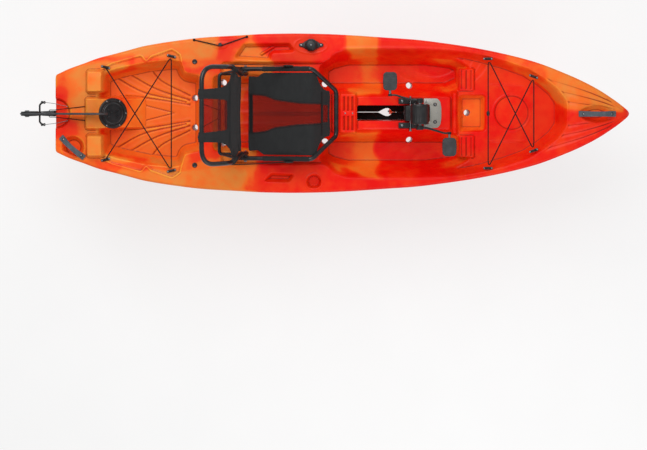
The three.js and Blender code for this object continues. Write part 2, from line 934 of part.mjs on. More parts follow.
function buildHull() {
  const outer = join([hullBody(0), sidePads(0), hatchWedge(0)])
    .subtract(deckHollows())
    .add(bowFin())
    .add(sternFin());
  const cavity = join([hullBody(hullWall), sidePads(hullWall), hatchWedge(hullWall)])
    .subtract(deckHollows(hullWall))
    .subtract(slotBlock(hullWall))
    .subtract(scuppers(hullWall));
  const hollow = largest(cavity);
  const hatchHole = rod(onHatch(-overrun), onHatch(overrun), hatchHoleRadius, hatchSides);
  const shell = outer.subtract(hollow).subtract(slotBlock(0)).subtract(scuppers(0)).subtract(hatchHole);
  return largest(shell);
}

/** The largest separate body of a solid. */
function largest(solid) {
  return solid.decompose().reduce((best, next) => (next.volume() > best.volume() ? next : best));
}

addPart('hull', buildHull(), hullPlastic());

for (const [side, name] of [[1, 'port'], [-1, 'starboard']]) {
  const seat = onDeck(-plugPlaceX, side * plugPlaceY, seatGap * 3);
  const plug = turned([
    [0, 0], [plugRadius, 0], [plugRadius, plugThickness / 2], [plugRadius * 0.86, plugThickness],
    [plugRadius / 2, plugThickness], [plugRadius / 2, plugThickness / 2], [0, plugThickness / 2],
  ], seat, vec(0, 0, 1), 18);
  addPart(`deck_plug_${name}`, plug, blackPlastic());
}

const wearStrip = across([
  [-sternFinAft, sternFinHeight], [-sternFinAft + wearStripLength, sternFinHeight],
  [-sternFinAft + wearStripLength, sternFinHeight + wearStripHeight - seatGap],
  [-sternFinAft, sternFinHeight + wearStripHeight - seatGap],
], -finWidth / 2, finWidth / 2);
addPart('skeg_wear_strip', wearStrip, blackPlastic());

// Hatch: ring, seal and screw-in lid on the slope behind the tank well.
function buildHatch() {
  const sleeve = hatchHoleRadius - seatGap;
  // The ring's bore is many-sided, so the lid that turns in it keeps inside the bore's flats.
  const lidRadius = (sleeve - hatchSleeveWall) * Math.cos(Math.PI / hatchSides) - seatGap;
  const ring = turned([
    [sleeve - hatchSleeveWall - hatchLedge, -hatchSleeve], [sleeve, -hatchSleeve], [sleeve, seatGap],
    [hatchRadius, seatGap], [hatchRadius, hatchRingHeight / 2],
    [hatchRadius - hatchRingHeight / 2, hatchRingHeight],
    [sleeve - hatchSleeveWall, hatchRingHeight], [sleeve - hatchSleeveWall, hatchLedge - hatchSleeve],
    [sleeve - hatchSleeveWall - hatchLedge, hatchLedge - hatchSleeve],
    [sleeve - hatchSleeveWall - hatchLedge, -hatchSleeve],
  ], onHatch(0), hatchAxis, hatchSides);
  addPart('hatch_ring', ring, blackPlastic());
  const sealLow = hatchLedge - hatchSleeve + seatGap;
  const sealHigh = sealLow + sealHeight;
  const sealInner = lidRadius - hatchLedge + seatGap * 3;
  const seal = turned([
    [sealInner, sealLow], [lidRadius, sealLow], [lidRadius, sealHigh],
    [sealInner, sealHigh], [sealInner, sealLow],
  ], onHatch(0), hatchAxis, hatchSides);
  addPart('hatch_seal', seal, finish(colours.black, 0.8));
  const lidLow = sealHigh + seatGap;
  const lidTop = lidLow + lidThickness;
  const disc = turned([
    [0, lidLow], [lidRadius, lidLow], [lidRadius, lidTop], [0, lidTop],
  ], onHatch(0), hatchAxis, hatchSides);
  const fingers = new THREE.Group();
  fingers.position.copy(hatchCentre);
  fingers.rotation.y = THREE.MathUtils.degToRad(hatchSlope);
  fingers.updateMatrix();
  const wings = [1, -1].map((side) => {
    const outline = [
      [side * lidRadius * 0.14, -lidRadius * 0.1], [side * lidRadius * 0.52, -lidRadius * 0.36],
      [side * lidRadius * 0.52, lidRadius * 0.36], [side * lidRadius * 0.14, lidRadius * 0.1],
    ];
    const ordered = side > 0 ? outline : outline.slice().reverse();
    const cut = toGeometry(
      raise(ordered, lidLow + lidThickness - fingerDepth, lidLow + lidThickness + overrun),
    );
    return toSolid(cut.applyMatrix4(fingers.matrix));
  });
  addPart('hatch_lid', disc.subtract(join(wings)), blackPlastic());
}
buildHatch();

/** An arched carry strap between two points on the deck, with a thick foot at each end. */
function handle(from, to, rise, name) {
  const span = Math.hypot(to.x - from.x, to.y - from.y);
  const inner = span / 2 - handleEnd;
  const levels = [[span / 2, 0], [inner, 0.1], [inner * 0.72, 0.62], [inner * 0.35, 0.93], [0, 1]];
  const upper = [...levels.map(([x, z]) => [-x, z * rise + handleThickness]),
    ...levels.slice(0, -1).reverse().map(([x, z]) => [x, z * rise + handleThickness])];
  const lower = [...levels.map(([x, z]) => [x, z * rise]),
    ...levels.slice(0, -1).reverse().map(([x, z]) => [-x, z * rise])];
  const strip = toGeometry(across([...upper, ...lower], -handleWidth / 2, handleWidth / 2));
  const place = new THREE.Group();
  place.position.copy(from.clone().add(to).multiplyScalar(1 / 2));
  const along = to.clone().sub(from).normalize();
  const side = vec(0, 0, 1).cross(along).normalize();
  place.quaternion.setFromRotationMatrix(
    new THREE.Matrix4().makeBasis(along, side, along.clone().cross(side)),
  );
  place.updateMatrix();
  addPart(name, outward(toSolid(strip.applyMatrix4(place.matrix))), finish(colours.slate, 0.55));
}

handle(onDeck(bowHandleAft, 0), onDeck(bowHandleFore, 0), bowHandleRise, 'bow_handle');
handle(
  onDeck(-sternHandleInnerX, -sternHandleInnerY), onDeck(-sternHandleOuterX, -sternHandleOuterY),
  sternHandleRise, 'stern_handle',
);

// Padeyes: a flat foot with a low arch that the bungee runs under.
function slopeAlong(x) {
  const step = padeyeLength / 2;
  return (rimAt(x + step) - rimAt(x - step)) / (2 * step);
}

function padeye(name, x, y, turn) {
  const group = new THREE.Group();
  group.position.copy(onDeck(x, y, seatGap * 2));
  group.rotation.set(0, -Math.atan(slopeAlong(x)), turn, 'YZX');
  group.updateMatrix();
  const foot = block(
    vec(-padeyeLength / 2, -padeyeWidth / 2, 0), vec(padeyeLength / 2, padeyeWidth / 2, padeyePlate),
  );
  const archSteps = 6;
  const reach = padeyeArch + padeyeRod;
  const arch = Array.from({ length: archSteps + 1 }, (_, i) => {
    const angle = (Math.PI * i) / archSteps;
    return vec(-reach * Math.cos(angle), 0, padeyePlate - padeyeRod / 2 + reach * Math.sin(angle));
  });
  const hoop = tubeAlong(arch, padeyeRod, { sides: 6, up: vec(0, 1, 0) });
  const whole = toGeometry(foot.add(hoop)).applyMatrix4(group.matrix);
  addPart(name, toSolid(whole), blackPlastic());
}

const archHeight = seatGap * 2 + padeyePlate + bungeeRadius + seatGap;
const padeyePoint = ([x, y]) => onDeck(x, y, archHeight);
const sternEyes = atShares(sternPadeyeShares);
const bowEyes = atShares(bowPadeyeShares);
const endNames = ['port_aft', 'starboard_aft', 'port_fore', 'starboard_fore'];
for (const [name, eyes] of [['stern_padeye', sternEyes], ['bow_padeye', bowEyes]]) {
  eyes.forEach(([x, y], i) => {
    const turn = THREE.MathUtils.degToRad(padeyeTurns[name][i < 2 ? 0 : 1]);
    padeye(`${name}_${endNames[i]}`, x, y, -Math.sign(y) * turn);
  });
}

const eyeBend = bungeeRadius * 1.4;
const eyeSteps = 4;

const sternRoute = [0, 3, 2, 1].map((eye) => padeyePoint(sternEyes[eye]));
const sternBungee = tubeAlong(rounded(sternRoute, eyeBend, eyeSteps, { through: true }), bungeeRadius);
addPart('stern_bungee', sternBungee, cordCloth());

const bowRoute = [0, 1, 2, 3].map((eye) => padeyePoint(bowEyes[eye]));
const bowLoop = rounded(bowRoute, eyeBend, eyeSteps, { closed: true, through: true });
const beadCentre = bowLoop[eyeSteps].clone().add(bowLoop[eyeSteps + 1]).multiplyScalar(1 / 2);
addPart('bow_bungee', tubeAlong(bowLoop, bungeeRadius, { closed: true }), cordCloth());
const bead = turned([
  [bungeeRadius + seatGap, -beadLength / 2], [beadRadius * 0.7, -beadLength / 2], [beadRadius, 0],
  [beadRadius * 0.7, beadLength / 2], [bungeeRadius + seatGap, beadLength / 2],
  [bungeeRadius + seatGap, -beadLength / 2],
], beadCentre, vec(0, 1, 0), 12);
addPart('bungee_bead', bead, blackPlastic());

// Paddle keeper on the port gunwale: a short bungee drawn round a hook.
function buildPaddleKeeper() {
  const [aft, fore] = atShares(paddleBungeeShares);
  const hookFoot = onDeck(-hookPlaceX, hookPlaceY, seatGap * 2);
  const stemTop = hookFoot.clone().add(vec(0, 0, padeyeArch + padeyePlate * 2));
  const hook = join([
    rod(hookFoot, hookFoot.clone().add(vec(0, 0, padeyePlate)), padeyeWidth / 2 + padeyePlate, 12),
    rod(hookFoot, stemTop, padeyeWidth / 4, 12),
    rod(stemTop.clone().sub(vec(0, 0, padeyePlate)), stemTop, padeyeWidth / 2 + padeyePlate, 12),
  ]);
  addPart('paddle_hook', hook, blackPlastic());
  const lift = padeyePlate + bungeeRadius + seatGap * 6;
  const wrap = padeyeWidth / 4 + bungeeRadius + seatGap * 2;
  const round = onDeck(-hookPlaceX, hookPlaceY - wrap, lift);
  const route = [onDeck(...aft, bungeeRadius + seatGap), round, onDeck(...fore, bungeeRadius + seatGap)];
  addPart('paddle_bungee', tubeAlong(route, bungeeRadius), cordCloth());
}
buildPaddleKeeper();

// Steering knob on the port side deck.
function buildSteeringKnob() {
  const deck = Math.max(
    rimAt(-knobPlaceX - knobBaseLength / 2), rimAt(-knobPlaceX + knobBaseLength / 2),
  ) + seatGap;
  const waist = knobBaseWidth * 0.3;
  const half = knobBaseLength / 2;
  const outline = [
    [-half, -waist / 2], [-half + waist, -waist], [-knobRadius * 0.8, -knobBaseWidth / 2],
    [knobRadius * 0.8, -knobBaseWidth / 2], [half - waist, -waist], [half, -waist / 2],
    [half, waist / 2], [half - waist, waist], [knobRadius * 0.8, knobBaseWidth / 2],
    [-knobRadius * 0.8, knobBaseWidth / 2], [-half + waist, waist], [-half, waist / 2],
  ].map(([x, y]) => [x - knobPlaceX, y + knobPlaceY]);
  const post = rod(
    vec(-knobPlaceX, knobPlaceY, deck), vec(-knobPlaceX, knobPlaceY, deck + knobBaseHeight + knobHeight / 2),
    knobRadius / 4, 16,
  );
  addPart('steering_base', raise(outline, deck, deck + knobBaseHeight).add(post), blackPlastic());
  const low = knobBaseHeight + seatGap;
  const bore = knobRadius / 4 + running;
  const knob = turned([
    [bore, low], [knobRadius, low], [knobRadius, low + knobHeight * 0.55],
    [knobRadius * 0.8, low + knobHeight * 0.85],
    [knobRadius * 0.4, low + knobHeight], [0, low + knobHeight], [0, low + knobHeight * 0.62],
    [bore, low + knobHeight * 0.62], [bore, low],
  ], vec(-knobPlaceX, knobPlaceY, deck), vec(0, 0, 1), 24);
  addPart('steering_knob', knob, finish(colours.black, 0.4));
}
buildSteeringKnob();

// Rudder
function buildRudder() {
  const transom = -halfLength - seatGap;
  const arm = [
    [transom, bracketWidth / 2], [-pivotPlace, hubRadius], [-pivotPlace - hubRadius, hubRadius / 2],
    [-pivotPlace - hubRadius, -hubRadius / 2], [-pivotPlace, -hubRadius], [transom, -bracketWidth / 2],
  ];
  const lugs = [
    raise(arm, bracketLow, bracketLow + bracketLug),
    raise(arm, bracketHigh - bracketLug, bracketHigh),
    block(
      vec(transom - bracketLug, -bracketWidth / 2, bracketLow - overrun),
      vec(transom, bracketWidth / 2, bracketHigh),
    ),
  ];
  const pinBore = rod(
    vec(-pivotPlace, 0, bracketLow - overrun),
    vec(-pivotPlace, 0, bracketHigh + overrun), pivotPinRadius + running, 16,
  );
  addPart('rudder_bracket', join(lugs).subtract(pinBore), blackPlastic());
  const pinHead = rod(
    vec(-pivotPlace, 0, bracketHigh + seatGap), vec(-pivotPlace, 0, pivotPinTop), pivotPinRadius * 1.6, 16,
  );
  const pin = rod(
    vec(-pivotPlace, 0, pivotPinBottom), vec(-pivotPlace, 0, pivotPinTop), pivotPinRadius, 16,
  ).add(pinHead);
  addPart('rudder_pin', pin, steel());

  const hubLow = bracketLow + bracketLug + seatGap;
  const hubHigh = bracketHigh - bracketLug - seatGap;
  const hub = rod(vec(-pivotPlace, 0, hubLow), vec(-pivotPlace, 0, hubHigh), hubRadius, 20);
  const cheekGap = bladeThickness / 2 + seatGap;
  const cheekOuter = cheekGap + cheekThickness;
  const reach = bladeHeadRadius * 0.86;
  const cheekOutline = [
    [-pivotPlace - hubRadius * 1.2, hubLow], [-pivotPlace - hubRadius * 1.2, hubHigh],
    [-pivotPlace - hubRadius * 2, bladePivotHeight + reach * 0.5],
    [-bladePivotPlace + reach * 0.6, bladePivotHeight + reach * 0.9],
    [-bladePivotPlace - reach * 0.3, bladePivotHeight + reach],
    [-bladePivotPlace - reach, bladePivotHeight + reach * 0.3],
    [-bladePivotPlace - reach * 0.8, bladePivotHeight - reach * 0.7],
    [-bladePivotPlace + reach * 0.4, hubLow],
  ];
  const cheeks = across(cheekOutline, -cheekOuter, cheekOuter);
  const webTop = hubLow + hubRadius;
  const webAft = -pivotPlace - hubRadius * 2.2;
  const bladeRoom = block(
    vec(-bladePivotPlace - bladeHeadRadius * 2, -cheekGap, hubLow - overrun),
    vec(webAft, cheekGap, bladePivotHeight + bladeHeadRadius * 2),
  ).add(block(
    vec(webAft - seatGap, -cheekGap, webTop),
    vec(-pivotPlace, cheekGap, bladePivotHeight + bladeHeadRadius * 2),
  ));
  const boltBore = rod(
    vec(-bladePivotPlace, -overrun, bladePivotHeight), vec(-bladePivotPlace, overrun, bladePivotHeight),
    bladeBoltRadius + running, 16,
  );
  const web = block(vec(webAft, -cheekOuter, hubLow), vec(-pivotPlace, cheekOuter, webTop));
  const yokeBore = rod(
    vec(-pivotPlace - hubRadius * 1.5, -overrun, yokeHeight),
    vec(-pivotPlace - hubRadius * 1.5, overrun, yokeHeight),
    yokeRod + seatGap, 12,
  );
  const housing = cheeks.subtract(bladeRoom).add(hub).add(web)
    .subtract(pinBore).subtract(boltBore).subtract(yokeBore);
  addPart('rudder_housing', housing, blackPlastic());

  const yokeX = -pivotPlace - hubRadius * 1.5;
  const yokeRoute = [
    vec(-pivotPlace + hubRadius, -yokeHalf, yokeHeight), vec(yokeX + hubRadius, -yokeHalf, yokeHeight),
    vec(yokeX, -yokeHalf * 0.75, yokeHeight), vec(yokeX, yokeHalf * 0.75, yokeHeight),
    vec(yokeX + hubRadius, yokeHalf, yokeHeight), vec(-pivotPlace + hubRadius, yokeHalf, yokeHeight),
  ];
  const yoke = tubeAlong(yokeRoute, yokeRod);
  addPart('rudder_yoke', yoke, blackPlastic());

  const neckTop = bladePivotHeight + bladeHeadRadius;
  const neckBottomEdge = bladeBottom - bladeThickness / 2;
  const blade = across([
    [-bladePivotPlace, neckBottomEdge], [-bladeTip - bladeShoulder, bladeBottom],
    [-bladeTip - bladeCorner, bladeBottom], [-bladeTip, bladeBottom + bladeCorner],
    [-bladeTip + bladeCorner * 0.3, bladeTop - bladeCorner], [-bladeTip - bladeCorner / 2, bladeTop],
    [-bladeTip - bladeShoulder * 0.375, bladeTop], [-bladeTip - bladeShoulder * 0.69, bladeTop - bladeCorner],
    [-bladeTip - bladeShoulder, neckTop], [-bladePivotPlace, neckTop],
  ], -bladeThickness / 2, bladeThickness / 2);
  const head = rod(
    vec(-bladePivotPlace, -bladeThickness / 2, bladePivotHeight),
    vec(-bladePivotPlace, bladeThickness / 2, bladePivotHeight), bladeHeadRadius, 24,
  );
  addPart('rudder_blade', blade.add(head).subtract(boltBore), finish(colours.charcoal, 0.6));
  const bolt = join([
    rod(
      vec(-bladePivotPlace, -cheekOuter - seatGap, bladePivotHeight),
      vec(-bladePivotPlace, cheekOuter + seatGap, bladePivotHeight), bladeBoltRadius, 16,
    ),
    ...[1, -1].map((side) => rod(
      vec(-bladePivotPlace, side * (cheekOuter + seatGap), bladePivotHeight),
      vec(-bladePivotPlace, side * (cheekOuter + seatGap + cheekThickness), bladePivotHeight),
      bladeBoltRadius * 2, 6,
    )),
  ]);
  addPart('rudder_blade_bolt', bolt, steel());

  for (const [side, name] of [[1, 'port'], [-1, 'starboard']]) {
    const tip = vec(-pivotPlace + hubRadius + cableRadius / 3 + seatGap, side * yokeHalf, yokeHeight);
    const edgeY = side * THREE.MathUtils.lerp(cableHullY, yokeHalf, 0.7);
    const edge = vec(-halfLength - cableRadius * 2, edgeY, rimAt(-halfLength) + cableRadius * 2);
    const deckPoint = onDeck(-cableHullX, side * cableHullY, cableRadius + seatGap);
    addPart(`steering_cable_${name}`, tubeAlong([tip, edge, deckPoint], cableRadius), steel());
  }
  const lineSide = bracketWidth / 2 + liftLineRadius * 2;
  const [portLine, starboardLine] = [1, -1].map((side) => [
    onDeck(-centrePadAft - liftLineRadius, side * cableHullY, liftLineRadius * 2),
    vec(-halfLength - liftLineRadius, side * lineSide, rimAt(-halfLength) + liftLineRadius * 2),
    vec(-(halfLength + pivotPlace) / 2, side * lineSide, bracketHigh - bracketLug - liftLineRadius - seatGap),
  ]);
  const line = tubeAlong([...portLine, ...starboardLine.reverse()], liftLineRadius);
  addPart('rudder_lift_line', line, cordCloth());
}
buildRudder();

// Seat
const hingeLine = (radius) => rod(
  vec(-hingePlaceX, -railHalf - overrun, hingeHeight),
  vec(-hingePlaceX, railHalf + overrun, hingeHeight), radius, 12,
);
const onRail = (x) => THREE.MathUtils.mapLinear(x, -hingePlaceX, -railTopX, hingeHeight, railTopHeight);
// The tubes are eight-sided, so their flats lie a little inside their radius.
const frameFlat = frameRadius * Math.cos(Math.PI / 8);
const cordFlat = liftLineRadius * Math.cos(Math.PI / 8);
const bothHands = (points) => [...points, ...points.slice().reverse().map((p) => vec(p.x, -p.y, p.z))];

/** Place along the hull of the back's uprights at a height: hinge to knee, then knee to bend. */
function uprightAt(z) {
  if (z < backKneeHeight) return -THREE.MathUtils.mapLinear(
    z, hingeHeight, backKneeHeight, hingePlaceX, backKneeX,
  );
  if (z < backBendHeight) return -THREE.MathUtils.mapLinear(
    z, backKneeHeight, backBendHeight, backKneeX, backBendX,
  );
  return -THREE.MathUtils.mapLinear(z, backBendHeight, backTopHeight, backBendX, backTopX);
}

/** Half breadth of the back at a height: straight up from the hinge, then wider up to the knee. */
function backHalfAt(z) {
  const share = THREE.MathUtils.clamp((z - backFlareHeight) / (backKneeHeight - backFlareHeight), 0, 1);
  return THREE.MathUtils.lerp(backHalf, backFlareHalf, share);
}

function buildSeat() {
  const footZ = seatLedge + seatGap;
  const railPath = rounded(bothHands([
    vec(-footPlaceX, railHalf, footZ + frameRadius),
    vec(-hingePlaceX - frameRadius, railHalf, onRail(-hingePlaceX - frameRadius)),
    vec(-railTopX, railHalf, railTopHeight),
    vec(-seatFrontBar, frontBarHalf, frontBarHeight),
  ]), frameBend, bendSteps);
  const feet = [1, -1].map((side) => block(
    vec(-footPlaceX - frameRadius * 1.6, side * railHalf - frameRadius, footZ),
    vec(-footPlaceX + frameRadius * 1.4, side * railHalf + frameRadius, footZ + frameRadius * 2),
  ));
  const base = tubeAlong(railPath, frameRadius, { up: vec(1, 0, 1) }).add(join(feet))
    .subtract(hingeLine(hingeBoltRadius + running));
  addPart('seat_base_frame', base, blackPlastic());

  const sideBends = [frameBend, frameBend, frameBend, frameBend, backCornerBend];
  const backBends = [...sideBends, ...sideBends.slice().reverse()];
  const backPath = rounded(bothHands([
    vec(-hingePlaceX + frameRadius / 3, backHalf, hingeHeight - frameRadius * 1.4),
    vec(uprightAt(backFlareHeight), backHalf, backFlareHeight),
    vec(-backKneeX, backFlareHalf, backKneeHeight),
    vec(-backBendX, backFlareHalf, backBendHeight),
    vec(-backTopX, backFlareHalf, backTopHeight),
  ]), backBends, bendSteps);
  const braceRod = frameRadius * 0.75;
  const brace = tubeAlong(rounded(bothHands([
    vec(uprightAt(braceHeight), backHalf, braceHeight), vec(-braceBarX, backHalf, braceHeight),
  ]), frameRadius * 1.5, 2), braceRod);
  const stays = [1, -1].map((side) => rod(
    vec(-braceBarX + frameRadius, side * backHalf, braceHeight),
    vec(uprightAt(braceRootHeight), side * backHalfAt(braceRootHeight), braceRootHeight),
    frameRadius * 0.6, 8,
  ));
  const back = tubeAlong(backPath, frameRadius, { up: vec(1, 0, 1) }).add(brace).add(join(stays))
    .subtract(hingeLine(hingeBoltRadius + running));
  addPart('seat_back_frame', back, blackPlastic());

  for (const [side, name] of [[1, 'port'], [-1, 'starboard']]) {
    const outer = side * (railHalf + frameRadius + seatGap);
    const inner = side * (backHalf - frameRadius * 1.3);
    const bolt = rod(
      vec(-hingePlaceX, inner, hingeHeight), vec(-hingePlaceX, outer, hingeHeight), hingeBoltRadius, 12,
    )
      .add(rod(
        vec(-hingePlaceX, outer, hingeHeight), vec(-hingePlaceX, outer + side * frameRadius / 2, hingeHeight),
        frameRadius * 0.7, 6,
      ));
    addPart(`seat_hinge_bolt_${name}`, bolt, steel());
  }
  buildSeatCovers();
  buildStraps();
}

/** Rings of a thin crowned pad: its two faces meet in a soft edge on each side. */
function padRing(centre, halfWidth, thickness, crown, along) {
  const up = vec(0, 1, 0).cross(along).normalize().negate();
  const widths = [-1, -0.94, -0.5, 0, 0.5, 0.94, 1];
  const upper = widths.map(
    (w) => [w * halfWidth, (thickness / 2) * (Math.abs(w) === 1 ? 0 : 1) + crown * (1 - w * w)],
  );
  const lower = widths.slice(1, -1).reverse().map(
    (w) => [w * halfWidth, -(thickness / 2) + crown * (1 - w * w)],
  );
  return [...upper, ...lower].map(([y, lift]) => centre.clone().add(vec(0, y, 0)).addScaledVector(up, lift));
}

function buildSeatCovers() {
  const inner = backHalf - frameFlat - seatGap;
  const outer = railHalf - frameFlat - seatGap;
  const aft = -hingePlaceX + frameRadius * 2;
  const stations = [
    [aft, inner], [aft + coverStep, inner], [aft + coverStep * 1.6, outer], [-railTopX - coverStep, outer],
    [-railTopX, outer - frameRadius], [-seatCoverFore - coverStep * 1.25, outer - frameRadius * 4],
    [-seatCoverFore - coverStep * 0.75, outer - frameRadius * 7], [-seatCoverFore, frontBarHalf - seatGap],
  ];
  const coverDrop = (railTopHeight - frontBarHeight) / (railTopX - seatFrontBar);
  const heightAt = (x) => (x < -railTopX ? onRail(x) : railTopHeight - (x + railTopX) * coverDrop);
  const rings = stations.map(([x, half]) => {
    const along = vec(1, 0, (heightAt(x + seatGap) - heightAt(x - seatGap)) / (2 * seatGap)).normalize();
    return padRing(vec(x, 0, heightAt(x)), half, coverThickness, -coverSag, along);
  });
  addPart('seat_cover', loft(rings), seatCloth());

  const levels = [
    [hingeHeight + backCoverRise, 1], [backFlareHeight, 1], [braceRootHeight, 1],
    ...backCoverShares.map(([place, half]) => [
      THREE.MathUtils.lerp(braceRootHeight, backTopHeight, place), half,
    ]),
  ];
  // The uprights lean outwards between the two levels of the flare, so their flats come further in there.
  const backInset = frameFlat + seatGap * 3;
  const backRings = levels.map(([z, share]) => {
    const along = vec((uprightAt(z + seatGap) - uprightAt(z - seatGap)) / (2 * seatGap), 0, 1).normalize();
    const half = (backHalfAt(z) - backInset) * share;
    return padRing(vec(uprightAt(z), 0, z), half, coverThickness, coverSag, along);
  });
  addPart('back_cover', loft(backRings), seatCloth());
}

function buildStraps() {
  for (const [side, name] of [[1, 'port'], [-1, 'starboard']]) {
    const outside = backHalfAt(strapBackHeight) + frameRadius + seatGap * 4;
    const high = vec(uprightAt(strapBackHeight), side * outside, strapBackHeight);
    const low = vec(-strapSeatX, side * (railHalf + frameRadius + seatGap * 4), onRail(-strapSeatX));
    const along = low.clone().sub(high).normalize();
    const wide = vec(0, side, 0).cross(along).normalize().multiplyScalar(strapWidth / 2);
    const out = vec(0, side * strapThickness, 0);
    const ring = (point) => [
      point.clone().add(wide), point.clone().sub(wide),
      point.clone().sub(wide).add(out), point.clone().add(wide).add(out),
    ];
    addPart(`recline_strap_${name}`, loft([ring(high), ring(low)]), seatCloth());
  }
  const cordTop = backTopHeight - frameFlat - liftLineRadius / 4 - seatGap;
  const cordLow = braceHeight + frameFlat * 0.75 + cordFlat + seatGap;
  const cord = tubeAlong(bothHands([
    vec(-backTopX, backCordTopHalf, cordTop), vec(-braceBarX, backCordLowHalf, cordLow),
  ]), liftLineRadius, { up: vec(1, 0, 0) });
  addPart('back_cord', cord, cordCloth());
}
buildSeat();

/** Points of a bevel wheel about +Z whose pitch cone has its tip at the origin, bored through or closed. */
function bevelWheel(teeth, pitchRadius, mateRadius, module, turn, bore = 0) {
  const coneLength = Math.hypot(pitchRadius, mateRadius);
  const at = (offset) => [
    pitchRadius + (offset * mateRadius) / coneLength, mateRadius - (offset * pitchRadius) / coneLength,
  ];
  const tip = at(module * addendumShare);
  const root = at(-module * dedendumShare);
  const inward = (coneLength - toothFace) / coneLength;
  const pitch = (2 * Math.PI) / teeth;
  const corners = [
    [-toothWidthShare, root], [-toothTipShare, tip], [toothTipShare, tip], [toothWidthShare, root],
  ];
  const ringAt = (scale) => Array.from({ length: teeth }, (_, i) => corners.map(([share, [r, z]]) => {
    const angle = turn + (i + share) * pitch;
    return vec(scale * r * Math.cos(angle), scale * r * Math.sin(angle), scale * z);
  })).flat();
  const boreAt = (z) => Array.from({ length: teeth }, (_, i) => {
    const angle = turn + i * pitch;
    return vec(bore * Math.cos(angle), bore * Math.sin(angle), z);
  });
  const [outer, inner] = [ringAt(1), ringAt(inward)];
  const [back, front] = [boreAt(root[1] + module * 2), boreAt(inward * root[1])];
  const count = outer.length;
  const faces = [];
  for (let i = 0; i < count; i += 1) {
    const next = (i + 1) % count;
    const [hub, nextHub] = [i, next].map((at) => 2 * count + Math.floor(at / corners.length));
    faces.push(i, next, count + i, next, count + next, count + i);
    faces.push(i, hub, next, count + i, count + next, hub + teeth);
    if (hub === nextHub || !bore) continue;
    faces.push(next, hub, nextHub, count + next, nextHub + teeth, hub + teeth);
    faces.push(hub, hub + teeth, nextHub, nextHub, hub + teeth, nextHub + teeth);
  }
  return { points: [...outer, ...inner, ...back, ...front], faces };
}

/** The bevel wheel turned so that its axis points along a direction, with the cone's tip at a place. */
function placedWheel(wheel, apex, axis, zero) {
  const side = axis.clone().cross(zero);
  const place = new THREE.Matrix4().makeBasis(zero, side, axis).setPosition(apex);
  return skin(wheel.points.map((point) => point.clone().applyMatrix4(place)), wheel.faces);
}

// Pedal drive
const crankAxis = vec(legPlace, 0, crankHeight);
const gearAxis = vec(legPlace, 0, gearHeight);

function buildDriveBody() {
  const drum = rod(
    vec(legPlace, -headHalf, crankHeight), vec(legPlace, headHalf, crankHeight), headRadius, 28,
  );
  const neck = rod(
    vec(legPlace, 0, neckBottom), vec(legPlace, 0, crankHeight - headRadius / 2), neckRadius, 24,
  );
  const collar = rod(
    vec(legPlace, 0, neckBottom - collarHeight), vec(legPlace, 0, neckBottom + seatGap), collarRadius, 24,
  );
  const chamber = rod(
    vec(legPlace, headWall - headHalf, crankHeight), vec(legPlace, headHalf - headWall, crankHeight),
    headRadius - headWall, 28,
  );
  const axleBore = rod(
    vec(legPlace, -headHalf - overrun, crankHeight),
    vec(legPlace, headHalf + overrun, crankHeight), axleRadius + running, 20,
  );
  const shaftBore = rod(
    vec(legPlace, 0, neckBottom - collarHeight - overrun),
    vec(legPlace, 0, crankHeight), legRadius - legWall, 16,
  );
  const legSocket = rod(
    vec(legPlace, 0, neckBottom - collarHeight - overrun),
    vec(legPlace, 0, neckBottom), legRadius + seatGap, 24,
  );
  const head = join([drum, neck, collar]).subtract(join([chamber, axleBore, shaftBore, legSocket]));
  addPart('drive_head', head, blackPlastic());

  const leg = rod(
    vec(legPlace, 0, legBottom + seatGap), vec(legPlace, 0, neckBottom - seatGap), legRadius, 24,
  )
    .subtract(
      rod(
        vec(legPlace, 0, legBottom - overrun),
        vec(legPlace, 0, neckBottom + overrun), legRadius - legWall, 16,
      ),
    );
  addPart('drive_leg', leg, finish(colours.charcoal, 0.35, 0.6));

  const pinBore = rod(
    vec(crossPinPlace, -crossPinHalf, crossPinHeight), vec(crossPinPlace, crossPinHalf, crossPinHeight),
    crossPinRadius + seatGap, 16,
  );
  const saddle = across([
    [saddleAft, saddleBottom + saddleChamfer], [saddleAft + saddleChamfer, saddleBottom],
    [saddleFore - saddleChamfer, saddleBottom], [saddleFore, saddleBottom + saddleChamfer],
    [saddleFore, saddleTop - saddleChamfer / 2], [saddleFore - saddleChamfer / 2, saddleTop],
    [saddleAft + saddleChamfer / 2, saddleTop], [saddleAft, saddleTop - saddleChamfer / 2],
  ], -saddleHalf, saddleHalf)
    .subtract(
      rod(
        vec(legPlace, 0, saddleBottom - overrun),
        vec(legPlace, 0, saddleTop + overrun), legRadius + seatGap, 24,
      ),
    )
    .subtract(pinBore);
  addPart('drive_saddle', saddle, blackPlastic());
  const crossPin = rod(
    vec(crossPinPlace, -crossPinHalf, crossPinHeight),
    vec(crossPinPlace, crossPinHalf, crossPinHeight), crossPinRadius, 16,
  ).add(rod(
    vec(crossPinPlace, -crossPinHalf - crossPinRadius, crossPinHeight),
    vec(crossPinPlace, -railOuter - crossPinRadius, crossPinHeight), crossPinRadius * 1.7, 12,
  ));
  addPart('cross_pin', crossPin, steel());
}

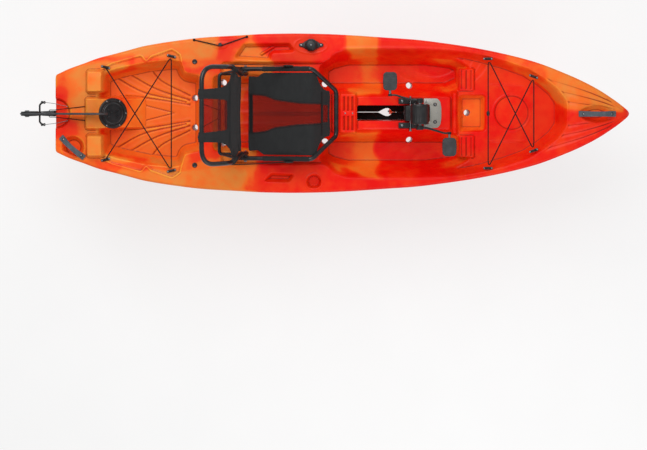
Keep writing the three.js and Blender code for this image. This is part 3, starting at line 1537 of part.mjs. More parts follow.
function buildDeckFittings() {
  for (const [side, name] of [[1, 'port'], [-1, 'starboard']]) {
    const [low, high] = side > 0 ? [railInner, railOuter] : [-railOuter, -railInner];
    const notch = crossPinRadius + seatGap * 2;
    const rail = block(vec(railAft, low, spineTop + seatGap), vec(railFore, high, railTop))
      .subtract(block(
        vec(crossPinPlace - notch, low - overrun, crossPinHeight),
        vec(crossPinPlace + notch, high + overrun, railTop + overrun),
      ))
      .subtract(rod(
        vec(crossPinPlace, low - overrun, crossPinHeight),
        vec(crossPinPlace, high + overrun, crossPinHeight), notch, 16,
      ));
    addPart(`drive_rail_${name}`, rail, blackPlastic());
  }
  const throat = saddleHalf + crossPinRadius;
  const corner = Math.min(plateThickness * 5, (plateFore - plateAft) / 2);
  const plateBottom = spineTop + seatGap;
  // The plate's notch is the room that the gear case needs, from its tail to its nose, when the drive is lifted out.
  const plate = raise([
    [plateAft, -plateHalf], [plateFore - corner, -plateHalf], [plateFore - corner / 4, -plateHalf + corner],
    [plateFore, -plateHalf / 3], [plateFore, plateHalf / 3], [plateFore - corner / 4, plateHalf - corner],
    [plateFore - corner, plateHalf], [plateAft, plateHalf],
  ], plateBottom, plateBottom + plateThickness).subtract(block(
    vec(legPlace - caseTail - plateNotchGap, -throat, plateBottom - overrun),
    vec(legPlace + caseNose + plateNotchGap, throat, plateBottom + plateThickness + overrun),
  ));
  addPart('drive_plate', plate, finish(colours.plate, 0.35, 0.8));

  const edge = slotHalf - seatGap;
  const slitAft = slotAft + plateThickness * 4;
  const slitHalf = sealThickness / 2;
  const legRoom = legRadius + sealThickness;
  const sheet = block(
    vec(slotAft + seatGap, -edge, sealBottom),
    vec(slotAft + slotLength - seatGap, edge, sealBottom + sealThickness),
  );
  const gapHalf = [
    [slitAft, slitHalf], [propPlace - propHubRadius * 5, slitHalf],
    [propPlace - propHubRadius, legRoom * 0.72],
    [legPlace - legRoom, legRoom], [legPlace + legRoom * 0.6, legRoom],
    [legPlace + legRoom * 1.1, legRoom * 0.5],
  ];
  const gapOutline = [...gapHalf.slice().reverse(), ...mirrored(gapHalf).reverse()];
  const gap = raise(gapOutline, sealBottom - overrun, sealBottom + overrun);
  addPart('slot_seal', sheet.subtract(outward(gap)), finish(colours.black, 0.85));
}

function buildGearCase() {
  const profile = [
    [0, -caseTail], [caseRadius * 0.72, -caseTail], [caseRadius * 0.94, -caseTail * 0.5], [caseRadius, 0],
    [caseRadius * 0.84, caseNose * 0.54], [caseRadius * 0.45, caseNose * 0.9], [0, caseNose],
  ];
  const body = turned(profile, gearAxis, vec(1, 0, 0), 20);
  const neck = rod(
    vec(legPlace, 0, gearHeight), vec(legPlace, 0, legBottom - caseCollarHeight / 2), caseNeckRadius, 20,
  );
  const collar = rod(
    vec(legPlace, 0, legBottom - caseCollarHeight), vec(legPlace, 0, legBottom), caseCollarRadius, 24,
  );
  const fin = across([
    [legPlace + caseNose * 0.5, gearHeight - caseRadius * 0.6],
    [legPlace + caseNose * 0.36, gearHeight - caseRadius * 1.5],
    [legPlace + caseNose * 0.12, finBottom + caseRadius * 1.6], [legPlace - caseNose * 0.1, finBottom],
    [legPlace - caseTail * 0.68, finBottom], [legPlace - caseTail * 0.72, finBottom + caseRadius],
    [legPlace - caseTail * 0.5, gearHeight - caseRadius * 2.2],
    [legPlace - caseTail * 0.55, gearHeight - caseRadius * 0.6],
  ], -finThickness / 2, finThickness / 2);
  const chamber = rod(
    gearAxis.clone().sub(vec(caseBore * 1.9, 0, 0)),
    gearAxis.clone().add(vec(caseBore * 1.1, 0, 0)), caseBore, 20,
  );
  const shaftBore = rod(gearAxis, vec(legPlace, 0, legBottom + overrun), legRadius - legWall, 16);
  const propBore = rod(
    gearAxis, gearAxis.clone().sub(vec(caseTail + overrun, 0, 0)), propShaftRadius + running, 16,
  );
  const whole = join([body, neck, collar, fin]).subtract(join([chamber, shaftBore, propBore]));
  addPart('gear_case', whole, blackPlastic());
}

function buildDriveTrain() {
  const upperCrank = (crankTeeth * upperModule) / 2;
  const upperShaft = (shaftTopTeeth * upperModule) / 2;
  const lowerShaft = (shaftLowTeeth * lowerModule) / 2;
  const lowerProp = (propTeeth * lowerModule) / 2;
  const down = vec(0, 0, -1);
  const port = vec(0, 1, 0);
  const aft = vec(-1, 0, 0);
  const up = vec(0, 0, 1);

  const axle = rod(
    vec(legPlace, -crankInner, crankHeight), vec(legPlace, crankInner, crankHeight), axleRadius, 20,
  );
  addPart('crank_axle', axle, steel());
  const wheel = bevelWheel(crankTeeth, upperCrank, upperShaft, upperModule, 0, axleRadius + seatGap);
  addPart('crank_bevel_wheel', placedWheel(wheel, crankAxis, port, down), steel());

  const topPinion = bevelWheel(shaftTopTeeth, upperShaft, upperCrank, upperModule, Math.PI / shaftTopTeeth);
  const lowWheel = bevelWheel(shaftLowTeeth, lowerShaft, lowerProp, lowerModule, 0);
  const shaft = join([
    placedWheel(topPinion, crankAxis, down, port),
    placedWheel(lowWheel, gearAxis, up, aft),
    rod(
      vec(legPlace, 0, crankHeight - upperCrank + upperModule), vec(legPlace, 0, gearHeight + lowerProp),
      shaftRadius, 12,
    ),
  ]);
  addPart('drive_shaft', shaft, steel());

  const propPinion = bevelWheel(propTeeth, lowerProp, lowerShaft, lowerModule, Math.PI / propTeeth);
  const propShaft = placedWheel(propPinion, gearAxis, aft, up)
    .add(rod(
      gearAxis.clone().sub(vec(lowerShaft + lowerModule / 2, 0, 0)),
      vec(propPlace - propHubLength / 2, 0, gearHeight),
      propShaftRadius, 16,
    ));
  addPart('prop_shaft', propShaft, steel());
}

/** The S-bent crank arm on one side, its boss on the axle and its spindle at the far end. */
function buildCrank(side, name) {
  const reach = -side * crankLength;
  const inner = side * (crankInner + seatGap);
  const middleY = side * (crankInner + crankThickness);
  const outerY = side * (crankOuter - crankThickness / 2);
  const path = [
    vec(legPlace, middleY, crankHeight), vec(legPlace + reach * 0.25, middleY, crankHeight),
    vec(legPlace + reach * 0.55, (middleY + outerY) / 2, crankHeight),
    vec(legPlace + reach * 0.8, outerY, crankHeight),
    vec(legPlace + reach, outerY, crankHeight),
  ];
  const wide = crankWidth / 2;
  const thick = crankThickness / 2;
  const rings = path.map((point, i) => {
    const taper = 1 - (0.3 * i) / (path.length - 1);
    return [[thick, wide * taper], [-thick, wide * taper], [-thick, -wide * taper], [thick, -wide * taper]]
      .map(([y, z]) => point.clone().add(vec(0, y, z)));
  });
  const boss = rod(
    vec(legPlace, inner, crankHeight), vec(legPlace, inner + side * crankThickness * 1.7, crankHeight),
    crankBossRadius, 24,
  );
  const eye = rod(
    vec(legPlace + reach, outerY - side * thick, crankHeight),
    vec(legPlace + reach, outerY + side * thick, crankHeight),
    wide * 0.8, 16,
  );
  const spindle = rod(
    vec(legPlace + reach, outerY, crankHeight),
    vec(legPlace + reach, side * (pedalInner + spindleLength), crankHeight),
    spindleRadius, 16,
  );
  addPart(`crank_arm_${name}`, join([loft(rings), boss, eye, spindle]), blackPlastic());

  const low = side * pedalInner;
  const high = side * (pedalInner + pedalWidth);
  const corner = pedalThickness / 2;
  const body = raise([
    [-pedalLength / 2 + corner, Math.min(low, high)], [pedalLength / 2 - corner, Math.min(low, high)],
    [pedalLength / 2, Math.min(low, high) + corner], [pedalLength / 2, Math.max(low, high) - corner],
    [pedalLength / 2 - corner, Math.max(low, high)], [-pedalLength / 2 + corner, Math.max(low, high)],
    [-pedalLength / 2, Math.max(low, high) - corner], [-pedalLength / 2, Math.min(low, high) + corner],
  ].map(([x, y]) => [x + legPlace + reach, y]),
  crankHeight - pedalThickness / 2, crankHeight + pedalThickness / 2);
  const bore = rod(
    vec(legPlace + reach, low - side * overrun, crankHeight),
    vec(legPlace + reach, side * (pedalInner + spindleLength + crankThickness), crankHeight),
    spindleRadius + running, 16,
  );
  addPart(`pedal_${name}`, body.subtract(bore), finish(colours.charcoal, 0.8));
}

function buildPropeller() {
  const hub = turned([
    [propShaftRadius + running, -propHubLength / 2],
    [propHubRadius, -propHubLength / 2], [propHubRadius, propHubLength / 3],
    [propHubRadius * 0.8, propHubLength / 2], [propShaftRadius + running, propHubLength / 2],
    [propShaftRadius + running, -propHubLength / 2],
  ], vec(propPlace, 0, gearHeight), vec(1, 0, 0), 20);
  // Blade sections: share of the radius, chord share of the radius, pitch angle in degrees, thickness share.
  const bladeShares = [
    [0.07, 0.16, 66, 0.04], [0.22, 0.24, 56, 0.034], [0.42, 0.3, 42, 0.028], [0.64, 0.29, 31, 0.022],
    [0.84, 0.22, 24, 0.017], [0.96, 0.12, 21, 0.013], [1, 0.05, 20, 0.01],
  ];
  // One section: place along the chord, and across it as a share of the thickness.
  const bladeSectionShares = [[-0.5, 0], [-0.2, 0.42], [0.15, 0.5], [0.5, 0.04], [0.15, -0.5], [-0.2, -0.42]];
  const blades = [1, -1].map((side) => loft(bladeShares.map(([r, chord, pitch, thickness]) => {
    const angle = THREE.MathUtils.degToRad(90 - pitch);
    const chordWay = vec(-Math.cos(angle) * side, Math.sin(angle), 0);
    const thickWay = vec(Math.sin(angle) * side, Math.cos(angle), 0);
    return bladeSectionShares.map(([c, t]) => vec(propPlace, 0, gearHeight + side * r * propRadius)
      .addScaledVector(chordWay, c * chord * propRadius)
      .addScaledVector(thickWay, t * thickness * propRadius));
  })));
  const shaftBore = rod(
    vec(propPlace - propHubLength, 0, gearHeight), vec(propPlace + propHubLength, 0, gearHeight),
    propShaftRadius + running, 16,
  );
  addPart('propeller', join([hub, ...blades]).subtract(shaftBore), finish(colours.orange, 0.4));
}

buildDriveBody();
buildDeckFittings();
buildGearCase();
buildDriveTrain();
buildCrank(1, 'port');
buildCrank(-1, 'starboard');
buildPropeller();

export default kayak;
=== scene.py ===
"""Looks of a sit-on-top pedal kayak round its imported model: moulded hull, framed seat, pedal drive and rudder.

Sizes and places are in millimetres: X to the bow, Y to port, Z up, from the flat of the hull's bottom amidships.
Meshes are made in metres, each object at the origin with its place in its mesh.
"""

import json
import logging
import math
from dataclasses import dataclass, field
from enum import Enum
from typing import Callable, Iterable, Sequence

import bmesh
import bpy
import numpy as np
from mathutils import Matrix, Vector

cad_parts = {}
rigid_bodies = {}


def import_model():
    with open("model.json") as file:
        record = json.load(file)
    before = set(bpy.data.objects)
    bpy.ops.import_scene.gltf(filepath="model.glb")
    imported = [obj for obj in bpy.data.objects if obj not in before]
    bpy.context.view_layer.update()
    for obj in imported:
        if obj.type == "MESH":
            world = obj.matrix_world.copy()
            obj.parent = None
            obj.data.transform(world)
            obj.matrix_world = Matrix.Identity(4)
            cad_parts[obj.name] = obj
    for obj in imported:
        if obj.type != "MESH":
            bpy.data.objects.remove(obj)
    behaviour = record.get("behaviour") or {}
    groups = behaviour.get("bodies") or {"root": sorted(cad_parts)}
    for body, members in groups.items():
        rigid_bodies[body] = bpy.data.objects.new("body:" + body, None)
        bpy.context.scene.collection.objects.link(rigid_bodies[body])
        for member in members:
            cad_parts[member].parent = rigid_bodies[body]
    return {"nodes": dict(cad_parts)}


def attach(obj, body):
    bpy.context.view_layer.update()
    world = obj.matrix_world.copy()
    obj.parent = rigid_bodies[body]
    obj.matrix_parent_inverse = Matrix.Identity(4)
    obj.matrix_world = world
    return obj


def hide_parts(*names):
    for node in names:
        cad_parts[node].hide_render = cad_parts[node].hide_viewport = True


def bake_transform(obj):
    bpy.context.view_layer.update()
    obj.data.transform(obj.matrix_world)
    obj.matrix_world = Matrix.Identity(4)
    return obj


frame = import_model()

MM = 0.001
log = logging.getLogger("kayak")

Array = np.ndarray
Point = tuple[float, float, float]
Colour = tuple[float, float, float]


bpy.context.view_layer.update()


# Curves and fields, computed as whole arrays

def smooth(value: Array | float, start: float, end: float) -> Array:
    """A step from 0 to 1 with level ends: three times the square less twice the cube.

    Args:
        value: where it is read.
        start: where it leaves 0.
        end: where it reaches 1.

    Returns:
        The step's height.
    """
    share = np.clip((np.asarray(value, float) - start) / (end - start), 0.0, 1.0)
    return share * share * (3.0 - 2.0 * share)


def monotone(places: Sequence[float], values: Sequence[float], at: Array) -> Array:
    """A cubic through points that never swings past them: each slope is the harmonic mean of its two chords.

    Args:
        places: rising places of the points.
        values: value at each place.
        at: where the curve is read.

    Returns:
        The curve's values.
    """
    xs, ys = np.asarray(places, float), np.asarray(values, float)
    step = np.diff(xs)
    chord = np.diff(ys) / step
    slope = np.zeros_like(ys)
    slope[0], slope[-1] = chord[0], chord[-1]
    same = chord[:-1] * chord[1:] > 0
    before, after = np.where(same, chord[:-1], 1.0), np.where(same, chord[1:], 1.0)
    slope[1:-1] = np.where(same, 2.0 / (1.0 / before + 1.0 / after), 0.0)
    at = np.clip(np.asarray(at, float), xs[0], xs[-1])
    k = np.clip(np.searchsorted(xs, at) - 1, 0, len(step) - 1)
    t = (at - xs[k]) / step[k]
    return ((2 * t**3 - 3 * t**2 + 1) * ys[k] + (t**3 - 2 * t**2 + t) * step[k] * slope[k]
            + (3 * t**2 - 2 * t**3) * ys[k + 1] + (t**3 - t**2) * step[k] * slope[k + 1])


def spline(points: Sequence[Point], count: int, closed: bool = False) -> Array:
    """A Catmull-Rom curve through points, read at evenly spaced shares of its pieces.

    Args:
        points: the points that it passes.
        count: how many places are read.
        closed: whether it runs back to its first point.

    Returns:
        An array of count places.
    """
    knots = np.asarray(points, float)
    if closed:
        padded = np.vstack([knots[-1], knots, knots[0], knots[1]])
    else:
        padded = np.vstack([2 * knots[0] - knots[1], knots, 2 * knots[-1] - knots[-2]])
    pieces = len(padded) - 3
    t = np.linspace(0, pieces, count, endpoint=not closed)
    k = np.minimum(t.astype(int), pieces - 1)
    u = (t - k)[:, None]
    a, b, c, d = padded[k], padded[k + 1], padded[k + 2], padded[k + 3]
    return 0.5 * (2 * b + (c - a) * u + (2 * a - 5 * b + 4 * c - d) * u**2 + (3 * b - a - 3 * c + d) * u**3)


def filleted(points: Sequence[Sequence[float]], radius: float | Sequence[float], steps: int = 6,
             closed: bool = False) -> Array:
    """A line whose corners are turned into arcs inside the corner.

    Args:
        points: the corners, in two or three dimensions.
        radius: radius of every arc, or one for each corner.
        steps: pieces of each arc.
        closed: whether the line runs back to its first corner.

    Returns:
        The rounded line's points.
    """
    corners = np.asarray(points, float)
    count = len(corners)
    radii = np.broadcast_to(np.asarray(radius, float), (count,))
    line = []
    for i, corner in enumerate(corners):
        if not closed and i in (0, count - 1):
            line.append(corner[None])
            continue
        back, ahead = corners[i - 1] - corner, corners[(i + 1) % count] - corner
        reach = min(np.linalg.norm(back), np.linalg.norm(ahead)) * 0.49
        back, ahead = back / np.linalg.norm(back), ahead / np.linalg.norm(ahead)
        half = math.acos(float(np.clip(back @ ahead, -1, 1))) / 2
        if half > math.radians(89.5) or radii[i] <= 0:
            line.append(corner[None])
            continue
        cut = min(radii[i] / math.tan(half), reach)
        t = np.linspace(0, 1, steps + 1)[:, None]
        line.append(corner + back * cut * (1 - t) ** 2 + ahead * cut * t**2)
    return np.vstack(line)


def away_from(outline: Array, x: Array, y: Array, reach: float = 200.0) -> Array:
    """Signed distance to a closed outline: below zero inside. Far places are given the reach.

    Args:
        outline: the outline's corners.
        x: places along the hull.
        y: places across it.
        reach: farthest distance of interest.

    Returns:
        The distance of each place.
    """
    low, high = outline.min(0) - reach, outline.max(0) + reach
    near = (x > low[0]) & (x < high[0]) & (y > low[1]) & (y < high[1])
    px, py = x[near], y[near]
    best = np.full(px.shape, reach**2)
    inside = np.zeros(px.shape, bool)
    for (ax, ay), (bx, by) in zip(outline, np.roll(outline, -1, 0)):
        dx, dy = bx - ax, by - ay
        span = max(dx * dx + dy * dy, 1e-12)
        t = np.clip(((px - ax) * dx + (py - ay) * dy) / span, 0, 1)
        best = np.minimum(best, (px - ax - t * dx) ** 2 + (py - ay - t * dy) ** 2)
        if ay != by:
            crosses = ((ay > py) != (by > py)) & (px < ax + (py - ay) * dx / dy)
            inside ^= crosses
    whole = np.full(x.shape, reach)
    whole[near] = np.where(inside, -1, 1) * np.sqrt(best)
    return whole


def beside(line: Array, x: Array, y: Array, reach: float = 30.0) -> Array:
    """Distance to an open line in plan, up to a reach.

    Args:
        line: the line's points.
        x: places along the hull.
        y: places across it.
        reach: farthest distance of interest.

    Returns:
        The distance of each place.
    """
    low, high = line.min(0) - reach, line.max(0) + reach
    near = (x > low[0]) & (x < high[0]) & (y > low[1]) & (y < high[1])
    px, py = x[near], y[near]
    best = np.full(px.shape, reach**2)
    for (ax, ay), (bx, by) in zip(line[:-1], line[1:]):
        dx, dy = bx - ax, by - ay
        t = np.clip(((px - ax) * dx + (py - ay) * dy) / max(dx * dx + dy * dy, 1e-12), 0, 1)
        best = np.minimum(best, (px - ax - t * dx) ** 2 + (py - ay - t * dy) ** 2)
    whole = np.full(x.shape, reach)
    whole[near] = np.sqrt(best)
    return whole


def clouds(places: Array, scale: float, seed: int) -> Array:
    """Soft value noise: random heights on a lattice, joined by the smooth step in each direction.

    Args:
        places: an array of x, y, z rows.
        scale: size of one lattice cell.
        seed: which heights.

    Returns:
        A value from -1 to 1 at each place.
    """
    heights = np.random.default_rng(seed).uniform(-1, 1, (64, 64, 64))
    cell = places / scale
    low = np.floor(cell).astype(int)
    part = cell - low
    part = part * part * (3 - 2 * part)
    value = np.zeros(len(places))
    for corner in range(8):
        bits = np.array([corner & 1, corner >> 1 & 1, corner >> 2 & 1])
        weight = np.prod(np.where(bits, part, 1 - part), axis=1)
        i, j, k = ((low + bits) % 64).T
        value += weight * heights[i, j, k]
    return value


# Meshes

class MeshBuilder:
    """Gathers grids, fans and flat faces, and makes them one mesh in metres."""

    def __init__(self) -> None:
        """Starts with no points and no faces."""
        self.points: list[Array] = []
        self.faces: list[Array] = []
        self.count = 0

    def add_points(self, points: Array) -> Array:
        """Adds points in millimetres and gives their numbers, in the same layout."""
        flat = np.asarray(points, float).reshape(-1, 3)
        numbers = self.count + np.arange(len(flat))
        self.points.append(flat)
        self.count += len(flat)
        return numbers.reshape(np.asarray(points).shape[:-1])

    def grid(self, points: Array, wrap_rows: bool = False, wrap_columns: bool = False,
             keep: Array | None = None, ends: bool = False) -> Array:
        """Adds a grid of points with a four-sided face in each cell.

        Args:
            points: rows by columns by 3.
            wrap_rows: joins the last row to the first.
            wrap_columns: joins the last column to the first.
            keep: which cells have a face, where not all have.
            ends: closes the first and the last row with a flat face.

        Returns:
            The numbers of the points.
        """
        numbers = self.add_points(points)
        index = numbers
        if wrap_columns:
            index = np.concatenate([index, index[:, :1]], 1)
        if wrap_rows:
            index = np.concatenate([index, index[:1]], 0)
        cells = np.stack([index[:-1, :-1], index[1:, :-1], index[1:, 1:], index[:-1, 1:]], -1)
        self.faces.append(cells[keep] if keep is not None else cells.reshape(-1, 4))
        if ends:
            self.flat(numbers[0])
            self.flat(numbers[-1][::-1])
        return numbers

    def flat(self, numbers: Array) -> None:
        """Adds one flat face through points that are already there."""
        self.faces.append(np.asarray(numbers)[None])

    def build(self, name: str, sharp: float | None = 35.0, weld: bool = True) -> bpy.types.Object:
        """Makes the object, with smooth faces that break at sharp corners.

        Args:
            name: the piece's name.
            sharp: angle in degrees past which an edge stays sharp, or none.
            weld: merges doubled points and turns the faces outwards.

        Returns:
            The new object.
        """
        mesh = bpy.data.meshes.new(name)
        places = (np.vstack(self.points) * MM).astype(np.float32)
        totals = np.concatenate([np.full(len(f), f.shape[1]) for f in self.faces])
        corners = np.concatenate([f.reshape(-1) for f in self.faces])
        mesh.vertices.add(len(places))
        mesh.vertices.foreach_set("co", places.reshape(-1))
        mesh.loops.add(len(corners))
        mesh.loops.foreach_set("vertex_index", corners.astype(np.int32))
        mesh.polygons.add(len(totals))
        mesh.polygons.foreach_set("loop_start", (np.cumsum(totals) - totals).astype(np.int32))
        mesh.update(calc_edges=True)
        if weld:
            work = bmesh.new()
            work.from_mesh(mesh)
            bmesh.ops.remove_doubles(work, verts=work.verts, dist=1e-6)
            bmesh.ops.recalc_face_normals(work, faces=work.faces)
            work.to_mesh(mesh)
            work.free()
        mesh.validate()
        mesh.polygons.foreach_set("use_smooth", np.ones(len(mesh.polygons), bool))
        if sharp is not None:
            mesh.set_sharp_from_angle(angle=math.radians(sharp))
        piece = bpy.data.objects.new(name, mesh)
        bpy.context.scene.collection.objects.link(piece)
        return piece


def sweep(path: Array, section: Array, up: Sequence[float] = (0, 0, 1), scale: Array | float = 1.0) -> Array:
    """A section carried along a path, square to it: across is the path's direction crossed with up.

    Args:
        path: the path's points.
        section: offsets across and above, one pair for each corner of the section.
        up: a direction that the path never follows.
        scale: size of the section at each point.

    Returns:
        A grid with a ring at each point of the path.
    """
    path = np.asarray(path, float)
    ahead = np.gradient(path, axis=0)
    ahead /= np.linalg.norm(ahead, axis=1, keepdims=True)
    across = np.cross(ahead, np.asarray(up, float))
    across /= np.linalg.norm(across, axis=1, keepdims=True)
    above = np.cross(across, ahead)
    size = np.broadcast_to(np.asarray(scale, float), (len(path),))[:, None, None]
    section = np.asarray(section, float)
    return (path[:, None] + size
            * (across[:, None] * section[None, :, :1] + above[:, None] * section[None, :, 1:]))


def circle(radius: float, sides: int = 16) -> Array:
    """Corners of a round section about its middle."""
    turn = np.arange(sides) * 2 * math.pi / sides
    return np.stack([radius * np.cos(turn), radius * np.sin(turn)], 1)


def rounded_box(wide: float, high: float, radius: float, steps: int = 3) -> Array:
    """Corners of a section with rounded corners, so wide and high over all."""
    corners = [(-wide / 2, -high / 2), (wide / 2, -high / 2), (wide / 2, high / 2), (-wide / 2, high / 2)]
    return filleted(corners, radius, steps, closed=True)


def axes_of(axis: Sequence[float]) -> tuple[Array, Array, Array]:
    """Two directions square to an axis, and the axis itself, each of length one."""
    main = np.asarray(axis, float) / np.linalg.norm(axis)
    helper = np.array([0.0, 0, 1]) if abs(main[2]) < 0.9 else np.array([1.0, 0, 0])
    first = np.cross(helper, main)
    first /= np.linalg.norm(first)
    return first, np.cross(main, first), main


def revolve(profile: Sequence[Sequence[float]], base: Sequence[float], axis: Sequence[float],
            sides: int = 48) -> Array:
    """A profile of radius and height pairs turned about an axis through a base point.

    Args:
        profile: radius and height pairs.
        base: where height is zero.
        axis: direction of the height.
        sides: how many columns.

    Returns:
        A grid with a ring for each pair.
    """
    first, second, main = axes_of(axis)
    pairs = np.asarray(profile, float)
    turn = np.arange(sides) * 2 * math.pi / sides
    ring = np.cos(turn)[:, None] * first + np.sin(turn)[:, None] * second
    return np.asarray(base, float) + pairs[:, :1, None] * ring + pairs[:, 1:, None] * main


def inset(outline: Array, distance: float) -> Array:
    """A closed outline drawn in by a distance, each corner along the mean of its two sides' normals."""
    ahead = np.roll(outline, -1, 0) - outline
    ahead /= np.maximum(np.linalg.norm(ahead, axis=1, keepdims=True), 1e-9)
    normal = np.stack([-ahead[:, 1], ahead[:, 0]], 1)
    both = normal + np.roll(normal, 1, 0)
    both /= np.maximum(np.linalg.norm(both, axis=1, keepdims=True), 1e-9)
    spread = np.maximum((both * normal).sum(1, keepdims=True), 0.5)
    x, y = outline.T
    turning = np.sign((x * np.roll(y, -1) - np.roll(x, -1) * y).sum())
    return outline + turning * distance * both / spread


def slab(builder: MeshBuilder, outline: Array, low: float, high: float, edge: float,
         place: Callable[[Array], Array] = lambda p: p, steps: int = 3) -> None:
    """Adds a plate whose outline is closed and whose edges are quarter rounds.

    Args:
        builder: where it is added.
        outline: the plate's outline in its own plane.
        low: its lower face.
        high: its upper face.
        edge: radius of the rounded edges.
        place: puts points of the plate's own space in place.
        steps: pieces of each quarter round.
    """
    turn = np.linspace(0, math.pi / 2, steps + 1)
    draws = np.concatenate([edge * (1 - np.sin(turn)), edge * (1 - np.cos(turn))])
    levels = np.concatenate([low + edge * (1 - np.cos(turn)), high - edge * (1 - np.sin(turn))])
    rings = [np.column_stack([inset(outline, draw), np.full(len(outline), level)]) for draw,
             level in zip(draws, levels)]
    builder.grid(place(np.stack(rings)), wrap_columns=True, ends=True)


def cad_material(node: str, material: bpy.types.Material) -> None:
    """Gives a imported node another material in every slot."""
    mesh = frame["nodes"][node].data
    mesh.materials.clear()
    mesh.materials.append(material)


# Finishes

class Finish(Enum):
    """The record's material slot names, one for each finish; no piece takes its finish from them."""
    HULL = "hull_plastic"
    BLACK = "black_plastic"
    HANDLE = "handle_rubber"
    SEAL = "seal_rubber"
    CORD = "cord"
    STEEL = "steel"
    BLADE = "blade_plastic"
    FRAME = "frame_paint"
    FABRIC = "seat_fabric"
    WEBBING = "webbing"
    LEG = "leg_aluminium"
    PLATE = "plate_aluminium"
    PEDAL = "pedal_rubber"
    PROPELLER = "propeller_plastic"


class Nodes:
    """A material's node tree, with short ways to add and join nodes."""

    def __init__(self, name: str) -> None:
        """Makes a material with one glossy shader and its output."""
        self.material = bpy.data.materials.new(name)
        self.material.use_nodes = True
        self.tree = self.material.node_tree
        self.shader = self.tree.nodes["Principled BSDF"]

    def add(self, kind: str, **settings: object) -> bpy.types.Node:
        """Adds a node and sets its properties or, by name, its unlinked inputs."""
        node = self.tree.nodes.new(kind)
        for key, value in settings.items():
            if key in node.bl_rna.properties:
                setattr(node, key, value)
            else:
                node.inputs[key.replace("_", " ")].default_value = value
        return node

    def link(self, start: bpy.types.NodeSocket, end: bpy.types.NodeSocket) -> None:
        """Joins two sockets."""
        self.tree.links.new(start, end)

    def place(self, stretch: Sequence[float] = (1, 1, 1)) -> bpy.types.NodeSocket:
        """Object coordinates in metres, stretched along each axis."""
        where = self.add("ShaderNodeTexCoord")
        scaled = self.add("ShaderNodeMapping")
        scaled.inputs["Scale"].default_value = stretch
        self.link(where.outputs["Object"], scaled.inputs["Vector"])
        return scaled.outputs["Vector"]

    def noise(self, scale: float, detail: float = 4.0, rough: float = 0.5,
              stretch: Sequence[float] = (1, 1, 1)) -> bpy.types.NodeSocket:
        """Noise on object coordinates, from 0 to 1."""
        node = self.add("ShaderNodeTexNoise", Scale=scale, Detail=detail, Roughness=rough)
        self.link(self.place(stretch), node.inputs["Vector"])
        return node.outputs["Fac"]

    def ramp(self, source: bpy.types.NodeSocket, stops: Sequence[tuple[float, Sequence[float]]],
             ease: str = "EASE") -> bpy.types.NodeSocket:
        """Colours along a value, from (place, colour) stops."""
        node = self.add("ShaderNodeValToRGB")
        node.color_ramp.interpolation = ease
        elements = node.color_ramp.elements
        while len(elements) < len(stops):
            elements.new(1.0)
        for element, (place, colour) in zip(elements, stops):
            element.position = place
            element.color = (*colour, 1) if len(colour) == 3 else colour
        self.link(source, node.inputs["Fac"])
        return node.outputs["Color"]

    def sum(self, kind: str, first: bpy.types.NodeSocket | float, second: bpy.types.NodeSocket | float,
            third: bpy.types.NodeSocket | float | None = None) -> bpy.types.NodeSocket:
        """A sum of the kind named, such as ADD, MULTIPLY or MULTIPLY_ADD."""
        node = self.add("ShaderNodeMath", operation=kind)
        for socket, value in zip(node.inputs, (first, second, third)):
            if isinstance(value, (int, float)):
                socket.default_value = value
            elif value is not None:
                self.link(value, socket)
        return node.outputs["Value"]

    def mix(self, share: bpy.types.NodeSocket | float, first: object, second: object) -> bpy.types.NodeSocket:
        """A mix of two colours by a share."""
        node = self.add("ShaderNodeMix", data_type="RGBA")
        for socket, value in ((node.inputs[0], share), (node.inputs[6], first), (node.inputs[7], second)):
            if isinstance(value, bpy.types.NodeSocket):
                self.link(value, socket)
            elif isinstance(value, (int, float)):
                socket.default_value = value
            else:
                socket.default_value = (*value, 1)
        return node.outputs[2]

    def bump(self, height: bpy.types.NodeSocket, strength: float, distance: float) -> None:
        """Bumps the shader's normal with a height; distance is in metres."""
        node = self.add("ShaderNodeBump", Strength=strength, Distance=distance)
        self.link(height, node.inputs["Height"])
        self.link(node.outputs["Normal"], self.shader.inputs["Normal"])

    def between(self, socket: str, source: bpy.types.NodeSocket, low: float, high: float) -> None:
        """Lets a value from 0 to 1 drive a shader input between two levels."""
        node = self.add("ShaderNodeMapRange")
        node.inputs["To Min"].default_value = low
        node.inputs["To Max"].default_value = high
        self.link(source, node.inputs["Value"])
        self.link(node.outputs["Result"], self.shader.inputs[socket])

    def set(self, **values: object) -> None:
        """Sets shader inputs, an underscore standing for a space in each name."""
        for key, value in values.items():
            self.shader.inputs[key.replace("_", " ")].default_value = value


@dataclass(frozen=True)
class Palette:
    """The moulded hull's blend and the other colours, as linear red, green and blue."""
    # The darker red of the shade field: random tone, and painted shade low on the hull.
    deep_red: Colour = (0.46, 0.0015, 0.0015)
    # Painted shade: the dark red that the hull's creases are painted towards.
    crease: Colour = (0.20, 0.008, 0.003)
    red: Colour = (0.82, 0.0035, 0.0010)
    orange_red: Colour = (0.87, 0.040, 0.0045)
    orange: Colour = (0.88, 0.150, 0.014)
    tan: Colour = (0.75, 0.235, 0.036)
    yellow: Colour = (0.86, 0.40, 0.030)
    black: Colour = (0.009, 0.009, 0.0095)
    soft_black: Colour = (0.011, 0.011, 0.012)
    slate: Colour = (0.055, 0.068, 0.082)
    charcoal: Colour = (0.030, 0.031, 0.034)
    # The seat's open mesh: partly its own dark red, partly painted shade of the red hull seen through it.
    mesh_red_with_painted_shade: Colour = (0.24, 0.012, 0.007)
    plate: Colour = (0.52, 0.50, 0.45)
    steel: Colour = (0.42, 0.42, 0.43)
    propeller: Colour = (0.80, 0.085, 0.018)


COLOURS = Palette()


